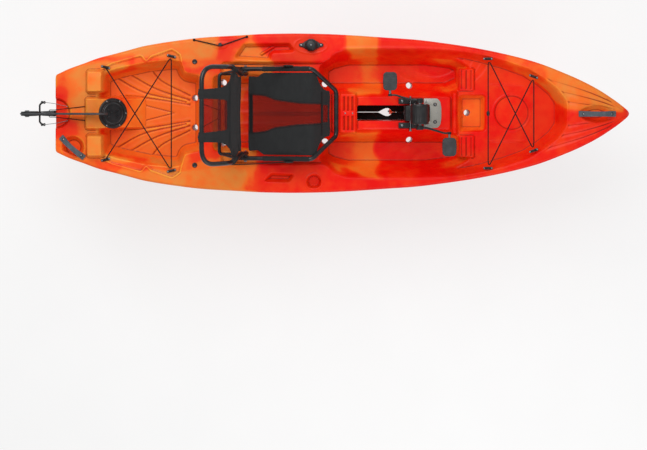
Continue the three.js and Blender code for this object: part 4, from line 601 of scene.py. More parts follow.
@dataclass(frozen=True)
class HullPlastic:
    """Rotomoulded plastic: red, orange and yellow that blend at feathered edges, with a faint powder grain,
    painted shade in the deck's creases and yellow on its convex edges, partly the moulding's own yellow and
    partly painted highlight.
    """
    blend_name: str = "blend"
    shade_name: str = "shade"
    crease_shade_name: str = "crease"
    edge_highlight_name: str = "edge"
    grain_scale: float = 420.0
    feather_scale: float = 26.0

    def make(self) -> bpy.types.Material:
        """The hull's material. It reads the blend and shade values, and the painted crease shade and edge
        highlight, that the hull's meshes carry.
        """
        n = Nodes("hull_blend")
        blend = n.add("ShaderNodeAttribute", attribute_name=self.blend_name)
        shade = n.add("ShaderNodeAttribute", attribute_name=self.shade_name)
        feather = n.noise(self.feather_scale, 6.0, 0.6)
        speck = n.noise(self.grain_scale, 2.0, 0.6)
        wander = n.sum("MULTIPLY_ADD", n.sum("SUBTRACT", feather, 0.5), 0.26, blend.outputs["Fac"])
        powder = n.sum("MULTIPLY_ADD", n.sum("SUBTRACT", speck, 0.5), 0.09, wander)
        c = COLOURS
        colour = n.ramp(powder, [(0.0, c.red), (0.25, c.orange_red), (0.5, c.orange), (0.74, c.tan),
                                 (1.0, c.yellow)])
        crease = n.add("ShaderNodeAttribute", attribute_name=self.crease_shade_name)
        edge = n.add("ShaderNodeAttribute", attribute_name=self.edge_highlight_name)
        # Painted shade darkens the creases towards the crease red; convex edges turn yellow, partly the
        # moulding's own yellow and partly painted highlight.
        dark = n.mix(crease.outputs["Fac"], n.mix(shade.outputs["Fac"], colour, c.deep_red), c.crease)
        n.link(n.mix(edge.outputs["Fac"], dark, c.yellow), n.shader.inputs["Base Color"])
        wear = n.noise(9.0, 5.0, 0.6)
        n.between("Roughness", wear, 0.27, 0.43)
        n.bump(n.sum("ADD", n.sum("MULTIPLY", speck, 0.5), n.noise(60.0, 3.0, 0.5)), 0.10, 0.0012)
        n.set(Specular_IOR_Level=0.16)
        return n.material


@dataclass(frozen=True)
class Moulded:
    """Moulded plastic or rubber: one colour, uneven gloss and a fine grain."""
    name: str
    colour: Colour
    low_gloss: float = 0.38
    high_gloss: float = 0.55
    grain: float = 900.0
    depth: float = 0.0003

    def make(self) -> bpy.types.Material:
        """The material, with a little wear in its gloss and colour."""
        n = Nodes(self.name)
        wear = n.noise(34.0, 4.0, 0.6)
        paler = tuple(min(value * 1.7 + 0.004, 1.0) for value in self.colour)
        n.link(n.ramp(wear, [(0.35, self.colour), (0.8, paler)]), n.shader.inputs["Base Color"])
        n.between("Roughness", wear, self.low_gloss, self.high_gloss)
        n.bump(n.noise(self.grain, 2.0, 0.6), 0.35, self.depth)
        return n.material


@dataclass(frozen=True)
class Metal:
    """Metal with brush marks along one axis."""
    name: str
    colour: Colour
    low_gloss: float = 0.24
    high_gloss: float = 0.42
    metallic: float = 1.0
    stretch: tuple[float, float, float] = (6.0, 1.0, 1.0)

    def make(self) -> bpy.types.Material:
        """The material, its marks drawn out by the stretch."""
        n = Nodes(self.name)
        marks = n.noise(260.0, 3.0, 0.6, self.stretch)
        darker = tuple(value * 0.72 for value in self.colour)
        n.link(n.ramp(marks, [(0.3, darker), (0.7, self.colour)]), n.shader.inputs["Base Color"])
        n.between("Roughness", marks, self.low_gloss, self.high_gloss)
        n.bump(marks, 0.2, 0.0002)
        n.set(Metallic=self.metallic)
        return n.material


@dataclass(frozen=True)
class Woven:
    """Woven cloth on the piece's own map in metres, with open mesh where the panel value is 1; the mesh's red is
    partly painted shade of the hull seen through it.
    """
    name: str
    colour: Colour
    thread: float = 0.0011
    panel_name: str = "panel"
    band_name: str = "band"
    mesh_and_shade_colour: Colour = COLOURS.mesh_red_with_painted_shade
    band_colour: Colour = (0.007, 0.007, 0.0075)
    see_through: float = 0.0

    def make(self) -> bpy.types.Material:
        """The cloth's material."""
        n = Nodes(self.name)
        where = n.add("ShaderNodeUVMap", uv_map="weave")
        parts = n.add("ShaderNodeSeparateXYZ")
        n.link(where.outputs["UV"], parts.inputs["Vector"])
        rate = 2 * math.pi / (2 * self.thread)
        over = n.sum("SINE", n.sum("MULTIPLY", parts.outputs["X"], rate), 0.0)
        under = n.sum("SINE", n.sum("MULTIPLY", parts.outputs["Y"], rate), 0.0)
        weave = n.sum("MULTIPLY_ADD", n.sum("MULTIPLY", over, under), 0.5, 0.5)
        crease = n.noise(46.0, 5.0, 0.62, (1.0, 0.45, 1.0))
        paler = tuple(value * 2.1 + 0.006 for value in self.colour)
        cloth = n.mix(n.sum("MULTIPLY_ADD", weave, 0.45, n.sum("MULTIPLY", crease, 0.5)), self.colour, paler)
        open_rate = 2 * math.pi / (3.2 * self.thread)
        holes = n.sum("MULTIPLY", n.sum("SINE", n.sum("MULTIPLY", parts.outputs["X"], open_rate), 0.0),
                      n.sum("SINE", n.sum("MULTIPLY", parts.outputs["Y"], open_rate), 0.0))
        black_thread = tuple(value * 0.25 for value in self.mesh_and_shade_colour)
        # Dark threads against the mesh's dark red, which is partly painted shade of the hull behind.
        mesh = n.ramp(n.sum("MULTIPLY_ADD", holes, 0.5, 0.5),
                      [(0.25, black_thread), (0.75, self.mesh_and_shade_colour)])
        panel = n.add("ShaderNodeAttribute", attribute_name=self.panel_name)
        band = n.add("ShaderNodeAttribute", attribute_name=self.band_name)
        colour = n.mix(band.outputs["Fac"], n.mix(panel.outputs["Fac"], cloth, mesh), self.band_colour)
        n.link(colour, n.shader.inputs["Base Color"])
        n.bump(n.sum("ADD", n.sum("MULTIPLY", weave, 0.5), n.sum("MULTIPLY", crease, 3.0)), 0.5, 0.0006)
        n.between("Alpha", panel.outputs["Fac"], 1.0, 1 - self.see_through)
        n.set(Roughness=0.85, Sheen_Weight=0.05, Specular_IOR_Level=0.2)
        return n.material


@dataclass(frozen=True)
class Braid:
    """Braided cord or webbing on object coordinates: slanting strands that cross."""
    name: str
    colour: Colour
    pitch: float = 0.0035

    def make(self) -> bpy.types.Material:
        """The cord's material."""
        n = Nodes(self.name)
        rate = 2 * math.pi / self.pitch
        parts = n.add("ShaderNodeSeparateXYZ")
        n.link(n.place(), parts.inputs["Vector"])
        along = n.sum("ADD", parts.outputs["X"], n.sum("ADD", parts.outputs["Y"], parts.outputs["Z"]))
        back = n.sum("SUBTRACT", parts.outputs["X"], n.sum("ADD", parts.outputs["Y"], parts.outputs["Z"]))
        cross = n.sum("MULTIPLY", n.sum("SINE", n.sum("MULTIPLY", along, rate), 0.0),
                      n.sum("SINE", n.sum("MULTIPLY", back, rate), 0.0))
        paler = tuple(value * 2.6 + 0.006 for value in self.colour)
        n.link(n.ramp(n.sum("MULTIPLY_ADD", cross, 0.5, 0.5), [(0.3, self.colour), (0.9, paler)]),
               n.shader.inputs["Base Color"])
        n.bump(cross, 0.4, 0.0005)
        n.set(Roughness=0.78, Specular_IOR_Level=0.3)
        return n.material


@dataclass
class Finishes:
    """Every finish of the kayak, made once."""

    def __post_init__(self) -> None:
        """Makes the materials."""
        c = COLOURS
        self.hull = HullPlastic().make()
        self.black = Moulded("black_plastic", c.black).make()
        self.frame = Moulded("frame_paint", c.soft_black, 0.26, 0.40, 600.0, 0.00015).make()
        self.handle = Moulded("handle_rubber", c.slate, 0.5, 0.66, 700.0, 0.0004).make()
        self.seal = Moulded("seal_rubber", (0.008, 0.008, 0.008), 0.6, 0.75).make()
        self.blade = Moulded("blade_plastic", c.charcoal, 0.42, 0.6, 500.0, 0.0003).make()
        self.pedal = Moulded("pedal_rubber", c.charcoal, 0.62, 0.8, 800.0, 0.0006).make()
        self.propeller = Moulded("propeller_plastic", c.propeller, 0.24, 0.36, 300.0, 0.0001).make()
        self.steel = Metal("steel", c.steel).make()
        self.plate = Metal("plate_aluminium", c.plate, 0.34, 0.5, 0.75, (1.0, 9.0, 1.0)).make()
        self.leg = Metal("leg_aluminium", (0.020, 0.020, 0.022), 0.22, 0.36, 0.55, (1.0, 1.0, 0.2)).make()
        self.fabric = Woven("seat_fabric", (0.010, 0.0105, 0.011), see_through=0.55).make()
        self.webbing = Braid("webbing", (0.006, 0.006, 0.006), 0.0028).make()
        self.cord = Braid("cord", (0.003, 0.003, 0.003)).make()

    def dress_cad(self) -> None:
        """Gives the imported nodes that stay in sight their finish."""
        steel = ("rudder_pin", "rudder_blade_bolt", "seat_hinge_bolt_port", "seat_hinge_bolt_starboard",
                 "crank_axle",
                 "crank_bevel_wheel", "drive_shaft", "prop_shaft", "cross_pin")
        for node in steel:
            cad_material(node, self.steel)
        cad_material("skeg_wear_strip", self.black)
        cad_material("hatch_seal", self.seal)


def finished(piece: bpy.types.Object, body: str, material: bpy.types.Material,
             replaces: Iterable[str] = ()) -> bpy.types.Object:
    """Dresses a piece, lets it ride on a body if one is named, and hides the nodes that it stands for."""
    piece.data.materials.append(material)
    if body:
        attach(piece, body)
    names = list(replaces)
    if names:
        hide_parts(*names)
    log.info("%s: %d faces, on %s", piece.name, len(piece.data.polygons), body or "two bodies")
    return piece


# Camera, floor and light

@dataclass
class Studio:
    """The camera straight above the deck, a pale floor, and plain soft light."""
    camera_x: float = -98.0
    camera_z: float = 7290.0
    lens: float = 72.8
    sensor: float = 36.0
    camera_y: float = 173.0
    shift: float = -0.2226
    floor_z: float = -420.0
    floor_half: float = 26000.0
    floor_white: float = 0.62
    world_level: float = 0.62
    reflection: float = 0.5
    key_power: float = 128.0
    fill_power: float = 60.0

    def build(self) -> None:
        """Makes the camera, the floor, the lamps and the world."""
        self.make_camera()
        self.make_floor()
        self.make_lamp("key_lamp", (-900.0, 2300.0, 3900.0), 3200.0, self.key_power)
        self.make_lamp("fill_lamp", (1500.0, -3600.0, 2700.0), 3000.0, self.fill_power)
        self.make_world()
        bpy.context.scene.view_settings.view_transform = "Standard"

    def make_camera(self) -> None:
        """The photograph's upper view: straight down, the bow to the right, the kayak high in the frame."""
        lens = bpy.data.cameras.new("camera")
        lens.lens, lens.sensor_width, lens.shift_y = self.lens, self.sensor, self.shift
        lens.clip_end = 100.0
        camera = bpy.data.objects.new("camera", lens)
        camera.location = (self.camera_x * MM, self.camera_y * MM, self.camera_z * MM)
        bpy.context.scene.collection.objects.link(camera)
        bpy.context.scene.camera = camera

    def make_floor(self) -> None:
        """A wide pale plane under the object, whiter to the camera than to the light that it sends back."""
        builder = MeshBuilder()
        side = np.linspace(-self.floor_half, self.floor_half, 9)
        x, y = np.meshgrid(side, side, indexing="ij")
        builder.grid(np.stack([x, y, np.full_like(x, self.floor_z)], -1))
        floor = builder.build("floor", sharp=None)
        n = Nodes("floor_white")
        path = n.add("ShaderNodeLightPath")
        glow = n.add("ShaderNodeEmission", Color=(1, 1, 1, 1), Strength=1.0)
        mixed = n.add("ShaderNodeMixShader")
        seen = n.sum("MAXIMUM", path.outputs["Is Camera Ray"], path.outputs["Is Glossy Ray"])
        n.link(n.sum("MULTIPLY", seen, self.floor_white), mixed.inputs["Fac"])
        grain = n.noise(3.0, 2.0)
        n.link(n.ramp(grain, [(0.0, (0.80, 0.80, 0.80)), (1.0, (0.84, 0.84, 0.84))]),
               n.shader.inputs["Base Color"])
        n.set(Roughness=0.9, Specular_IOR_Level=0.1)
        n.link(n.shader.outputs["BSDF"], mixed.inputs[1])
        n.link(glow.outputs["Emission"], mixed.inputs[2])
        n.link(mixed.outputs["Shader"], n.tree.nodes["Material Output"].inputs["Surface"])
        floor.data.materials.append(n.material)

    def make_lamp(self, name: str, place: Point, size: float, power: float) -> None:
        """A large soft lamp that points at the object's middle.

        Args:
            name: the lamp's name.
            place: where it hangs.
            size: its side.
            power: its power in watts.
        """
        lamp = bpy.data.lights.new(name, "AREA")
        lamp.shape, lamp.size, lamp.energy = "SQUARE", size * MM, power
        piece = bpy.data.objects.new(name, lamp)
        piece.location = Vector(place) * MM
        piece.rotation_euler = (-Vector(place)).to_track_quat("-Z", "Y").to_euler()
        bpy.context.scene.collection.objects.link(piece)

    def make_world(self) -> None:
        """An even pale world, white where the camera sees it and dimmer in reflections."""
        world = bpy.data.worlds.new("world")
        bpy.context.scene.world = world
        world.use_nodes = True
        nodes, links = world.node_tree.nodes, world.node_tree.links
        back = nodes["Background"]
        back.inputs["Color"].default_value = (1, 1, 1, 1)
        path = nodes.new("ShaderNodeLightPath")
        level = nodes.new("ShaderNodeMapRange")
        level.inputs["To Min"].default_value = self.world_level
        level.inputs["To Max"].default_value = 1.0
        links.new(path.outputs["Is Camera Ray"], level.inputs["Value"])
        dimmer = nodes.new("ShaderNodeMapRange")
        dimmer.inputs["To Min"].default_value = 1.0
        dimmer.inputs["To Max"].default_value = self.reflection
        links.new(path.outputs["Is Glossy Ray"], dimmer.inputs["Value"])
        product = nodes.new("ShaderNodeMath")
        product.operation = "MULTIPLY"
        links.new(level.outputs["Result"], product.inputs[0])
        links.new(dimmer.outputs["Result"], product.inputs[1])
        links.new(product.outputs["Value"], back.inputs["Strength"])


# Hull

@dataclass
class HullLines:
    """The hull's lines: breadth, rim and keel along it, and the section from the keel to the rim."""
    length: float = 3048.0
    beam: float = 857.0
    rim: float = 290.0
    band: float = 68.0
    edge_round: float = 12.0
    crown: float = 12.0
    crown_start: float = 1180.0
    stern_rise: float = 190.0
    stern_start: float = 300.0
    bow_rise: float = 90.0
    bow_start: float = 300.0
    stem_foot: float = 1333.0
    stem_tip: float = 338.0
    stem_round: float = 60.0
    end_round: float = 9.0
    fin_half: float = 17.0
    bow_fin: tuple = ((764.0, 0.0), (800.0, -3.5), (1100.0, 10.0), (1238.0, 21.0), (1300.0, 48.0),
                      (1352.0, 104.0))
    stern_fin_fore: float = 1050.0
    stern_fin_aft: float = 1490.0
    stern_fin_low: float = 48.0
    wear_length: float = 140.0
    wear_height: float = 15.0
    bow_vee: float = 0.5
    line_places: tuple = (-1, -0.955, -0.902, -0.85, -0.797, -0.744, -0.692, -0.586, -0.481, -0.375, -0.27,
                          -0.165,
                          -0.059, 0.046, 0.152, 0.257, 0.362, 0.467, 0.573, 0.678, 0.783, 0.837, 0.889, 0.942,
                          0.984, 1)
    breadth_shares: tuple = (0.478, 0.555, 0.625, 0.693, 0.742, 0.793, 0.842, 0.905, 0.95, 0.973, 0.994, 1,
                             0.994,
                             0.976, 0.95, 0.924, 0.878, 0.819, 0.74, 0.637, 0.488, 0.399, 0.299, 0.175, 0.063,
                             0.014)
    rim_shares: tuple = (1.155, 1.152, 1.145, 1.138, 1.13, 1.12, 1.11, 1.09, 1.065, 1.045, 1.025, 1.01, 1, 1,
                         1, 1,
                         1.022, 1.068, 1.13, 1.215, 1.305, 1.335, 1.345, 1.335, 1.285, 1.215)
    section_shares: tuple = ((0.34, 0), (0.4, 0), (0.6, 0.04), (0.78, 0.15), (0.87, 0.34), (0.925, 0.68),
                             (0.952, 1))
    section_rounds: tuple = (0, 160, 120, 22, 40, 90, 3, 7, 24, 20, 12)
    band_shares: tuple = ((0.982, 0.12), (1, 0.55), (0.995, 0.84))

    def breadth_at(self, x: Array) -> Array:
        """Half breadth along the hull."""
        return monotone(self.line_places, self.breadth_shares, x / (self.length / 2)) * self.beam / 2

    def rim_at(self, x: Array) -> Array:
        """Height of the rim along the hull."""
        return monotone(self.line_places, self.rim_shares, x / (self.length / 2)) * self.rim

    def keel_at(self, x: Array) -> Array:
        """Height of the bottom: flat amidships, a power curve to each end, then the straight stem.

        The stem's foot is rounded: there the height is the higher of curve and stem, eased over a short reach.
        """
        half = self.length / 2
        stern = self.stern_rise * (np.clip(-x - self.stern_start, 0, None)
                                   / (half - self.stern_start)) ** 2.72
        bow = self.bow_rise * (np.clip(x - self.bow_start, 0, None)
                               / (self.stem_foot - self.bow_start)) ** 2.2
        slope = (self.stem_tip - self.bow_rise) / (half - self.stem_foot)
        stem = self.bow_rise + (x - self.stem_foot) * slope
        gap = stem - bow
        ease = np.sqrt(gap * gap + (self.stem_round * 0.5) ** 2)
        return np.where(x > 900, np.minimum((stem + bow + ease) / 2, self.stem_tip), stern + bow)

    def end_inset(self, x: Array) -> Array:
        """How far the section draws in at the two ends: a quarter round."""
        near = np.clip(self.end_round - (self.length / 2 - np.abs(x)), 0, self.end_round)
        return self.end_round - np.sqrt(self.end_round**2 - near**2)

    def deck_at(self, x: Array, y: Array) -> Array:
        """Height of the deck before any well is cut: the rim, with a low crown towards the bow."""
        breadth = np.maximum(self.breadth_at(x), 1.0)
        rise = smooth(x, self.crown_start, self.crown_start + self.band) * np.minimum(breadth / self.band, 1)
        return self.rim_at(x) + self.crown * rise * (1 - np.minimum(np.abs(y) / breadth,
                                                                    1)) - self.end_inset(x)

    def fin_at(self, x: Array) -> Array:
        """Lower edge of the bow and stern fins; far above the hull where there is none."""
        places, heights = np.array(self.bow_fin).T
        bow = np.where((x > places[0]) & (x < places[-1]), monotone(places, heights, x), 999.0)
        step = -self.stern_fin_aft + self.wear_length + 0.5
        low = self.stern_fin_low + self.wear_height * smooth(-x, -step - 1, -step + 1)
        inside = smooth(x, -self.stern_fin_aft - 2, -self.stern_fin_aft) * smooth(-x, self.stern_fin_fore - 2,
                                                                                  self.stern_fin_fore)
        return np.where(inside > 0, low + (1 - inside) * 100, bow)

    def section(self) -> tuple[Array, Array, Array]:
        """The section's rounded points as shares of the half breadth, the height below the band, and the band."""
        half, band_foot = self.beam / 2, self.rim - self.band
        lower = [(y * half, z * band_foot) for y, z in self.section_shares]
        upper = [(y * half, band_foot + z * self.band) for y, z in self.band_shares]
        points = [*lower, *upper, (half - self.edge_round, self.rim), (half - self.edge_round - 14, self.rim)]
        rounds = (*self.section_rounds[:len(points) - 1], 0)
        line = filleted(points, rounds, 5)
        y, z = line.T
        return y / half, np.clip(z / band_foot, 0, 1), np.clip((z - band_foot) / self.band, 0, 1)

    def skin(self, x: Array) -> Array:
        """Port side of the hull from the rim's inner edge down to the keel: rows by columns by y and z.

        Each row scales the section's shares by its half breadth and heights. Towards the bow the lower part
        draws in to a vee, and a fin hangs from the keel line where the fins run.
        """
        share, low, high = (values[::-1][None] for values in self.section())
        inset = self.end_inset(x)[:, None]
        half = np.maximum(self.breadth_at(x)[:, None] - inset, 1.0)
        top = self.rim_at(x)[:, None] - inset
        bottom = np.minimum(self.keel_at(x)[:, None] + inset, top - 4)
        band = np.minimum(self.band, (top - bottom) / 3)
        z = bottom + low * (top - band - bottom) + high * band
        vee = self.bow_vee * smooth(x, 650, 1380)[:, None]
        narrow = 1 - vee * (1 - low) ** 1.4
        y = half * share * narrow
        near_rim = smooth(share, 0.93, 0.972) * (high > 0.9)
        y = np.where(near_rim > 0, half - np.minimum((1 - share) * self.beam / 2, half * 0.6), y)
        flat_end = y[:, -1:]
        steps = np.array([0.85, 0.7, 0.55, 0.4])[None]
        reach = np.minimum(40.0, 0.6 * flat_end)
        flat = reach + (flat_end - reach) * (steps - 0.4) / 0.6
        near = np.array([26.0, 21.5, 19.5, 18.5, 17.5, 16.5, 15.5, 13.0, 9.0, 4.0, 0.0])[None] / 40.0 * reach
        y = np.concatenate([y, flat, near], 1)
        bottom_z = np.broadcast_to(bottom, (len(x), flat.shape[1] + near.shape[1]))
        z = np.concatenate([z, bottom_z], 1)
        fin = self.fin_at(x)[:, None]
        wall = smooth(y, self.fin_half - 1.6, self.fin_half + 1.6)
        root = 5.0 * (1 - smooth(y, self.fin_half, self.fin_half + 22)) ** 2
        depth = np.clip(z - fin, 0, None)
        round_off = np.minimum(4.0, depth * 0.5) * smooth(y, self.fin_half - 7, self.fin_half - 1) ** 2
        z = np.where((fin < 900) & (y < 45),
                     z - (depth - round_off) * (1 - wall) - np.minimum(root, depth * 0.3) * wall, z)
        return np.stack([y, z], -1)


@dataclass
class Deck:
    """Everything moulded into the deck, as one height over each place."""
    lines: HullLines
    bow_well_floor: float = 235.0
    footwell_floor: float = 120.0
    seat_bay_floor: float = 165.0
    seat_ledge: float = 280.0
    tank_floor: float = 190.0
    recess_floor: float = 180.0
    spine_top: float = 262.0
    ladder_top: float = 284.0
    step_top: float = 277.1
    pad_top: float = 380.0
    centre_pad_top: float = 356.7
    hatch_slope: float = 33.0
    hatch_x: float = -1224.0
    hatch_z: float = 295.0
    tray_depth: float = 30.0
    cup: tuple = (-150.0, -366.0)
    cup_radius: float = 36.0
    cup_depth: float = 40.0
    cockpit: tuple = ((-0.042, 0.728), (0.014, 0.791), (0.09, 0.796), (0.167, 0.793), (0.27, 0.792),
                      (0.367, 0.782),
                      (0.44, 0.755), (0.492, 0.716), (0.57, 0.64), (0.649, 0.541), (0.705, 0.415),
                      (0.748, 0.287),
                      (0.775, 0.15))
    footwell: tuple = ((-0.085, 0.24), (0.38, 0.24), (0.435, 0.33), (0.462, 0.47), (0.452, 0.6), (0.4, 0.7),
                       (0.3, 0.745), (0.02, 0.745), (-0.042, 0.69), (-0.085, 0.6))
    tank_well: tuple = ((-0.852, 0.44), (-0.83, 0.5), (-0.787, 0.551), (-0.689, 0.625), (-0.596, 0.66),
                        (-0.566, 0.645), (-0.55, 0.5), (-0.5, 0.467), (-0.489, 0.4))
    port_tray: tuple = ((-0.38, 0.682), (-0.345, 0.866), (-0.184, 0.872), (-0.161, 0.765), (-0.245, 0.752),
                        (-0.251, 0.656))
    starboard_tray: tuple = ((-0.279, -0.852), (-0.249, -0.745), (-0.164, -0.758), (-0.184, -0.859))
    apron: tuple = ((-1290, 225), (-1222, 262), (-1070, 305), (-1045, 268), (-1012, 300), (-906, 338),
                    (-868, 312),
                    (-845, 212))
    tank_grooves: tuple = (((-1060, 296), (-988, 183), (-825, 96)), ((-1173, 224), (-1009, 132), (-825, 70)),
                           ((-1224, 193), (-1070, 111), (-845, 60)), ((-1168, 90), (-1009, 75), (-825, 45)))

    def scaled(self, shares: Sequence[Sequence[float]], radius: float, both: bool = False) -> Array:
        """An outline from shares of the half length and half beam, with rounded corners.

        Args:
            shares: the outline's corners, or its port half.
            radius: radius of the corners.
            both: adds the mirror image of a port half.

        Returns:
            The outline's points.
        """
        corners = np.array(shares, float) * [self.lines.length / 2, self.lines.beam / 2]
        if both:
            corners = np.vstack([corners, (corners * [1, -1])[::-1]])
        return filleted(corners, radius, 5, closed=True)

    @staticmethod
    def block(aft: float, fore: float, half: float, radius: float, middle: float = 0.0) -> Array:
        """A rectangle in plan with rounded corners."""
        corners = [(aft, middle - half), (fore, middle - half), (fore, middle + half), (aft, middle + half)]
        return filleted(corners, radius, 6, closed=True)

    @staticmethod
    def lower(z: Array, gap: Array, floor: Array | float, run: float, lip: float = 3.0) -> Array:
        """Sinks the deck to a floor inside an outline, by a smooth step that starts a lip's width outside."""
        depth = np.clip(z - floor, 0, None)
        return z - depth * smooth(-gap, -lip, run)

    @staticmethod
    def lift(z: Array, gap: Array, top: Array | float, run: float, lip: float = 3.0) -> Array:
        """Raises the deck to a top inside an outline, by a smooth step that starts a lip's width outside."""
        rise = np.clip(top - z, 0, None)
        return z + rise * smooth(-gap, -lip, run)

    def height(self, x: Array, y: Array) -> Array:
        """The deck's height: wells sunk one after another, then the spine, pads and ridges raised from them.

        Args:
            x: places along the hull.
            y: places across it.

        Returns:
            The height at each place.
        """
        z = self.lines.deck_at(x, y)
        side = np.abs(y)
        z = self.stern_deck(x, y, side, z)
        z = self.cockpit_wells(x, y, side, z)
        z = self.centre(x, y, side, z)
        z = self.side_decks(x, y, side, z)
        return self.bow_deck(x, y, side, z)

    def stern_deck(self, x: Array, y: Array, side: Array, z: Array) -> Array:
        """The tank well with its apron and fan of grooves, the pads behind it and the hatch's slope."""
        apron = np.array([*self.apron, *[(px, -py) for px, py in self.apron[::-1]]], float)
        gap = away_from(filleted(apron, 18, 4, closed=True), x, y, 60)
        z = z - 4.5 * smooth(-gap, -6, 6)
        z = z + 2.0 * smooth(-gap, -12, -7) * smooth(gap, 0, 5)
        tank = away_from(self.scaled(self.tank_well, 26, both=True), x, y, 160)
        z = self.lower(z, tank, self.tank_floor, 46, 7)
        inside = smooth(-tank, 26, 60)
        for line in self.tank_grooves:
            path = spline([(px, py, 0) for px, py in line], 14)[:, :2]
            off = beside(path, x, side, 26)
            z = z - inside * 4.2 * np.exp(-(off / 4.6) ** 2) + inside * 1.0 * np.exp(-((off - 12) / 6.0) ** 2)
        off = np.abs(side - (60 + (x + 1140) * (-64 / 250)))
        z = z - inside * 4 * np.exp(-(off / 4.6) ** 2) * smooth(x, -1160, -1110) * smooth(-x, 880, 930)
        pads = away_from(self.block(-1357, -1262, 62, 16, 170), x, side, 40)
        z = self.lift(z, pads, self.pad_top - 3 * smooth(side, 190, 232), 12, 3)
        slope = self.hatch_z - (x - self.hatch_x) * math.tan(math.radians(self.hatch_slope))
        crest = self.centre_pad_top
        soft = 7.0
        top = crest - soft * np.logaddexp(0, (crest - slope) / soft)
        wedge = away_from(self.block(-1364, -1045, 86, 16), x, y, 40)
        return self.lift(z, wedge, np.where(x > -1262, top, np.minimum(top, crest)), 9, 3)

    def cockpit_wells(self, x: Array, y: Array, side: Array, z: Array) -> Array:
        """The cockpit with its footwells, the seat's ledge and bay, and the recess before the foot braces."""
        cockpit = away_from(self.scaled(self.cockpit, 60, both=True), x, y, 160)
        rim_lip = 3.0 * np.exp(-((cockpit - 9) / 6.0) ** 2) * smooth(x, -20, 60)
        z = z + rim_lip * (side < 400)
        z = self.lower(z, cockpit, self.bow_well_floor, 34, 8)
        feet = away_from(self.scaled(self.footwell, 46), x, side, 180)
        z = self.lower(z, feet, self.footwell_floor, 62, 4)
        depth = np.clip((self.bow_well_floor - z) / (self.bow_well_floor - self.footwell_floor), 0, 1)
        for middle, grow_x, grow_y in ((505, 150, 118), (480, 225, 160), (450, 300, 196), (410, 385, 228)):
            ring = (1 - np.hypot((x - middle) / grow_x, (side - 318) / grow_y)) * grow_y
            reach = smooth(x, middle - grow_x * 1.1, middle - grow_x * 0.4) * smooth(-side, -352, -318)
            step = smooth(ring, -9, 1) * smooth(-ring, -26, 0)
            z = z - 5.5 * step * reach * (0.35 + 0.65 * np.sin(np.pi * np.clip(depth, 0, 1)))
        ledge = away_from(self.block(-645, -20, 272, 24), x, y, 60)
        z = self.lower(z, ledge, self.seat_ledge, 9, 5)
        bay = away_from(self.block(-690, -66, 205, 34), x, y, 120)
        z = self.lower(z, bay, self.seat_bay_floor, 46, 4)
        ribs = smooth(x, -600, -560) * smooth(-x, 120, 170) * smooth(-side, -150, -110)
        z = z + 3.5 * ribs * (0.5 + 0.5 * np.cos(2 * np.pi * side / 62)) ** 3
        braces = away_from(self.block(626, 716, 62, 12, 181), x, side, 40)
        z = self.lift(z, braces, self.bow_well_floor + 9, 8, 3)
        slots = smooth(-np.abs(side - 180), -54, -48)
        z = z - 5 * slots * (0.5 + 0.5 * np.cos(2 * np.pi * (x - 671) / 26)) ** 4 * smooth(-np.abs(x - 671),
                                                                                           -38, -30)
        recess = away_from(self.block(631, 778, 100, 26), x, y, 60)
        z = self.lower(z, recess, self.recess_floor, 24, 4)
        disc = np.hypot(x - 916, y - 2)
        z = z - 5 * smooth(-disc, -96, -88) + 2.5 * np.exp(-((disc - 100) / 5.0) ** 2)
        line = smooth(x, 780, 820) * smooth(-x, -1010, -970)
        return z + 3.0 * line * np.exp(-((side - 152) / 6.0) ** 2) * (cockpit < -30)

    def centre(self, x: Array, y: Array, side: Array, z: Array) -> Array:
        """The spine between the footwells, its raised edges, the ladder and the ridge before the recess."""
        spine = away_from(self.block(-54, 590, 98, 22), x, y, 60)
        z = self.lift(z, spine, self.spine_top, 13, 9)
        edge = np.exp(-((side - 88) / 5.0) ** 2) * smooth(x, 96, 130) * smooth(-x, -585, -560)
        z = z + 4.0 * edge
        step = away_from(self.block(-54, -6, 111, 10), x, y, 40)
        z = self.lift(z, step, self.step_top, 6, 5)
        ladder = away_from(self.block(-12, 80, 111, 14), x, y, 40)
        z = self.lift(z, ladder, self.ladder_top, 8, 5)
        rungs = smooth(x, -2, 6) * smooth(-x, -74, -66) * smooth(-side, -94, -86) * smooth(side, 10, 16)
        z = z - 9 * rungs * (0.5 + 0.5 * np.cos(2 * np.pi * (x - 34) / 22.5)) ** 2
        ridge = np.exp(-((x - 606) / 15.0) ** 4) * smooth(-side, -124, -104)
        return z + (self.spine_top + 3 - np.minimum(z, self.spine_top)) * ridge * (x > 560)

    def side_decks(self, x: Array, y: Array, side: Array, z: Array) -> Array:
        """The trays, the cup and the shallow seats round the knob and the padeyes."""
        rim = self.lines.rim_at(x)
        tray = away_from(self.scaled(self.port_tray, 16), x, y, 60)
        z = self.lower(z, tray, rim - self.tray_depth, 16, 4)
        other = away_from(self.scaled(self.starboard_tray, 14), x, y, 60)
        z = self.lower(z, other, rim - self.tray_depth, 16, 4)
        parting = np.exp(-(beside(np.array([(-430.0, 318.0), (-352.0, 366.0)]), x, y, 20) / 4.5) ** 2)
        z = z + 9 * parting * (tray < -14)
        cup = np.hypot(x - self.cup[0], y - self.cup[1]) - self.cup_radius
        z = self.lower(z, cup, rim - self.cup_depth, 6, 3)
        z = z + 2.5 * np.exp(-((cup - 7) / 4.0) ** 2)
        knob = np.hypot((x + 164) / 88, (y - 364) / 44)
        z = z + 2.2 * np.exp(-((knob - 1) / 0.06) ** 2) * (y > 0)
        hook = np.hypot((x + 649) / 42, (y - 367) / 22)
        return z + 1.6 * smooth(-hook, -1.1, -0.95) * (y > 0)

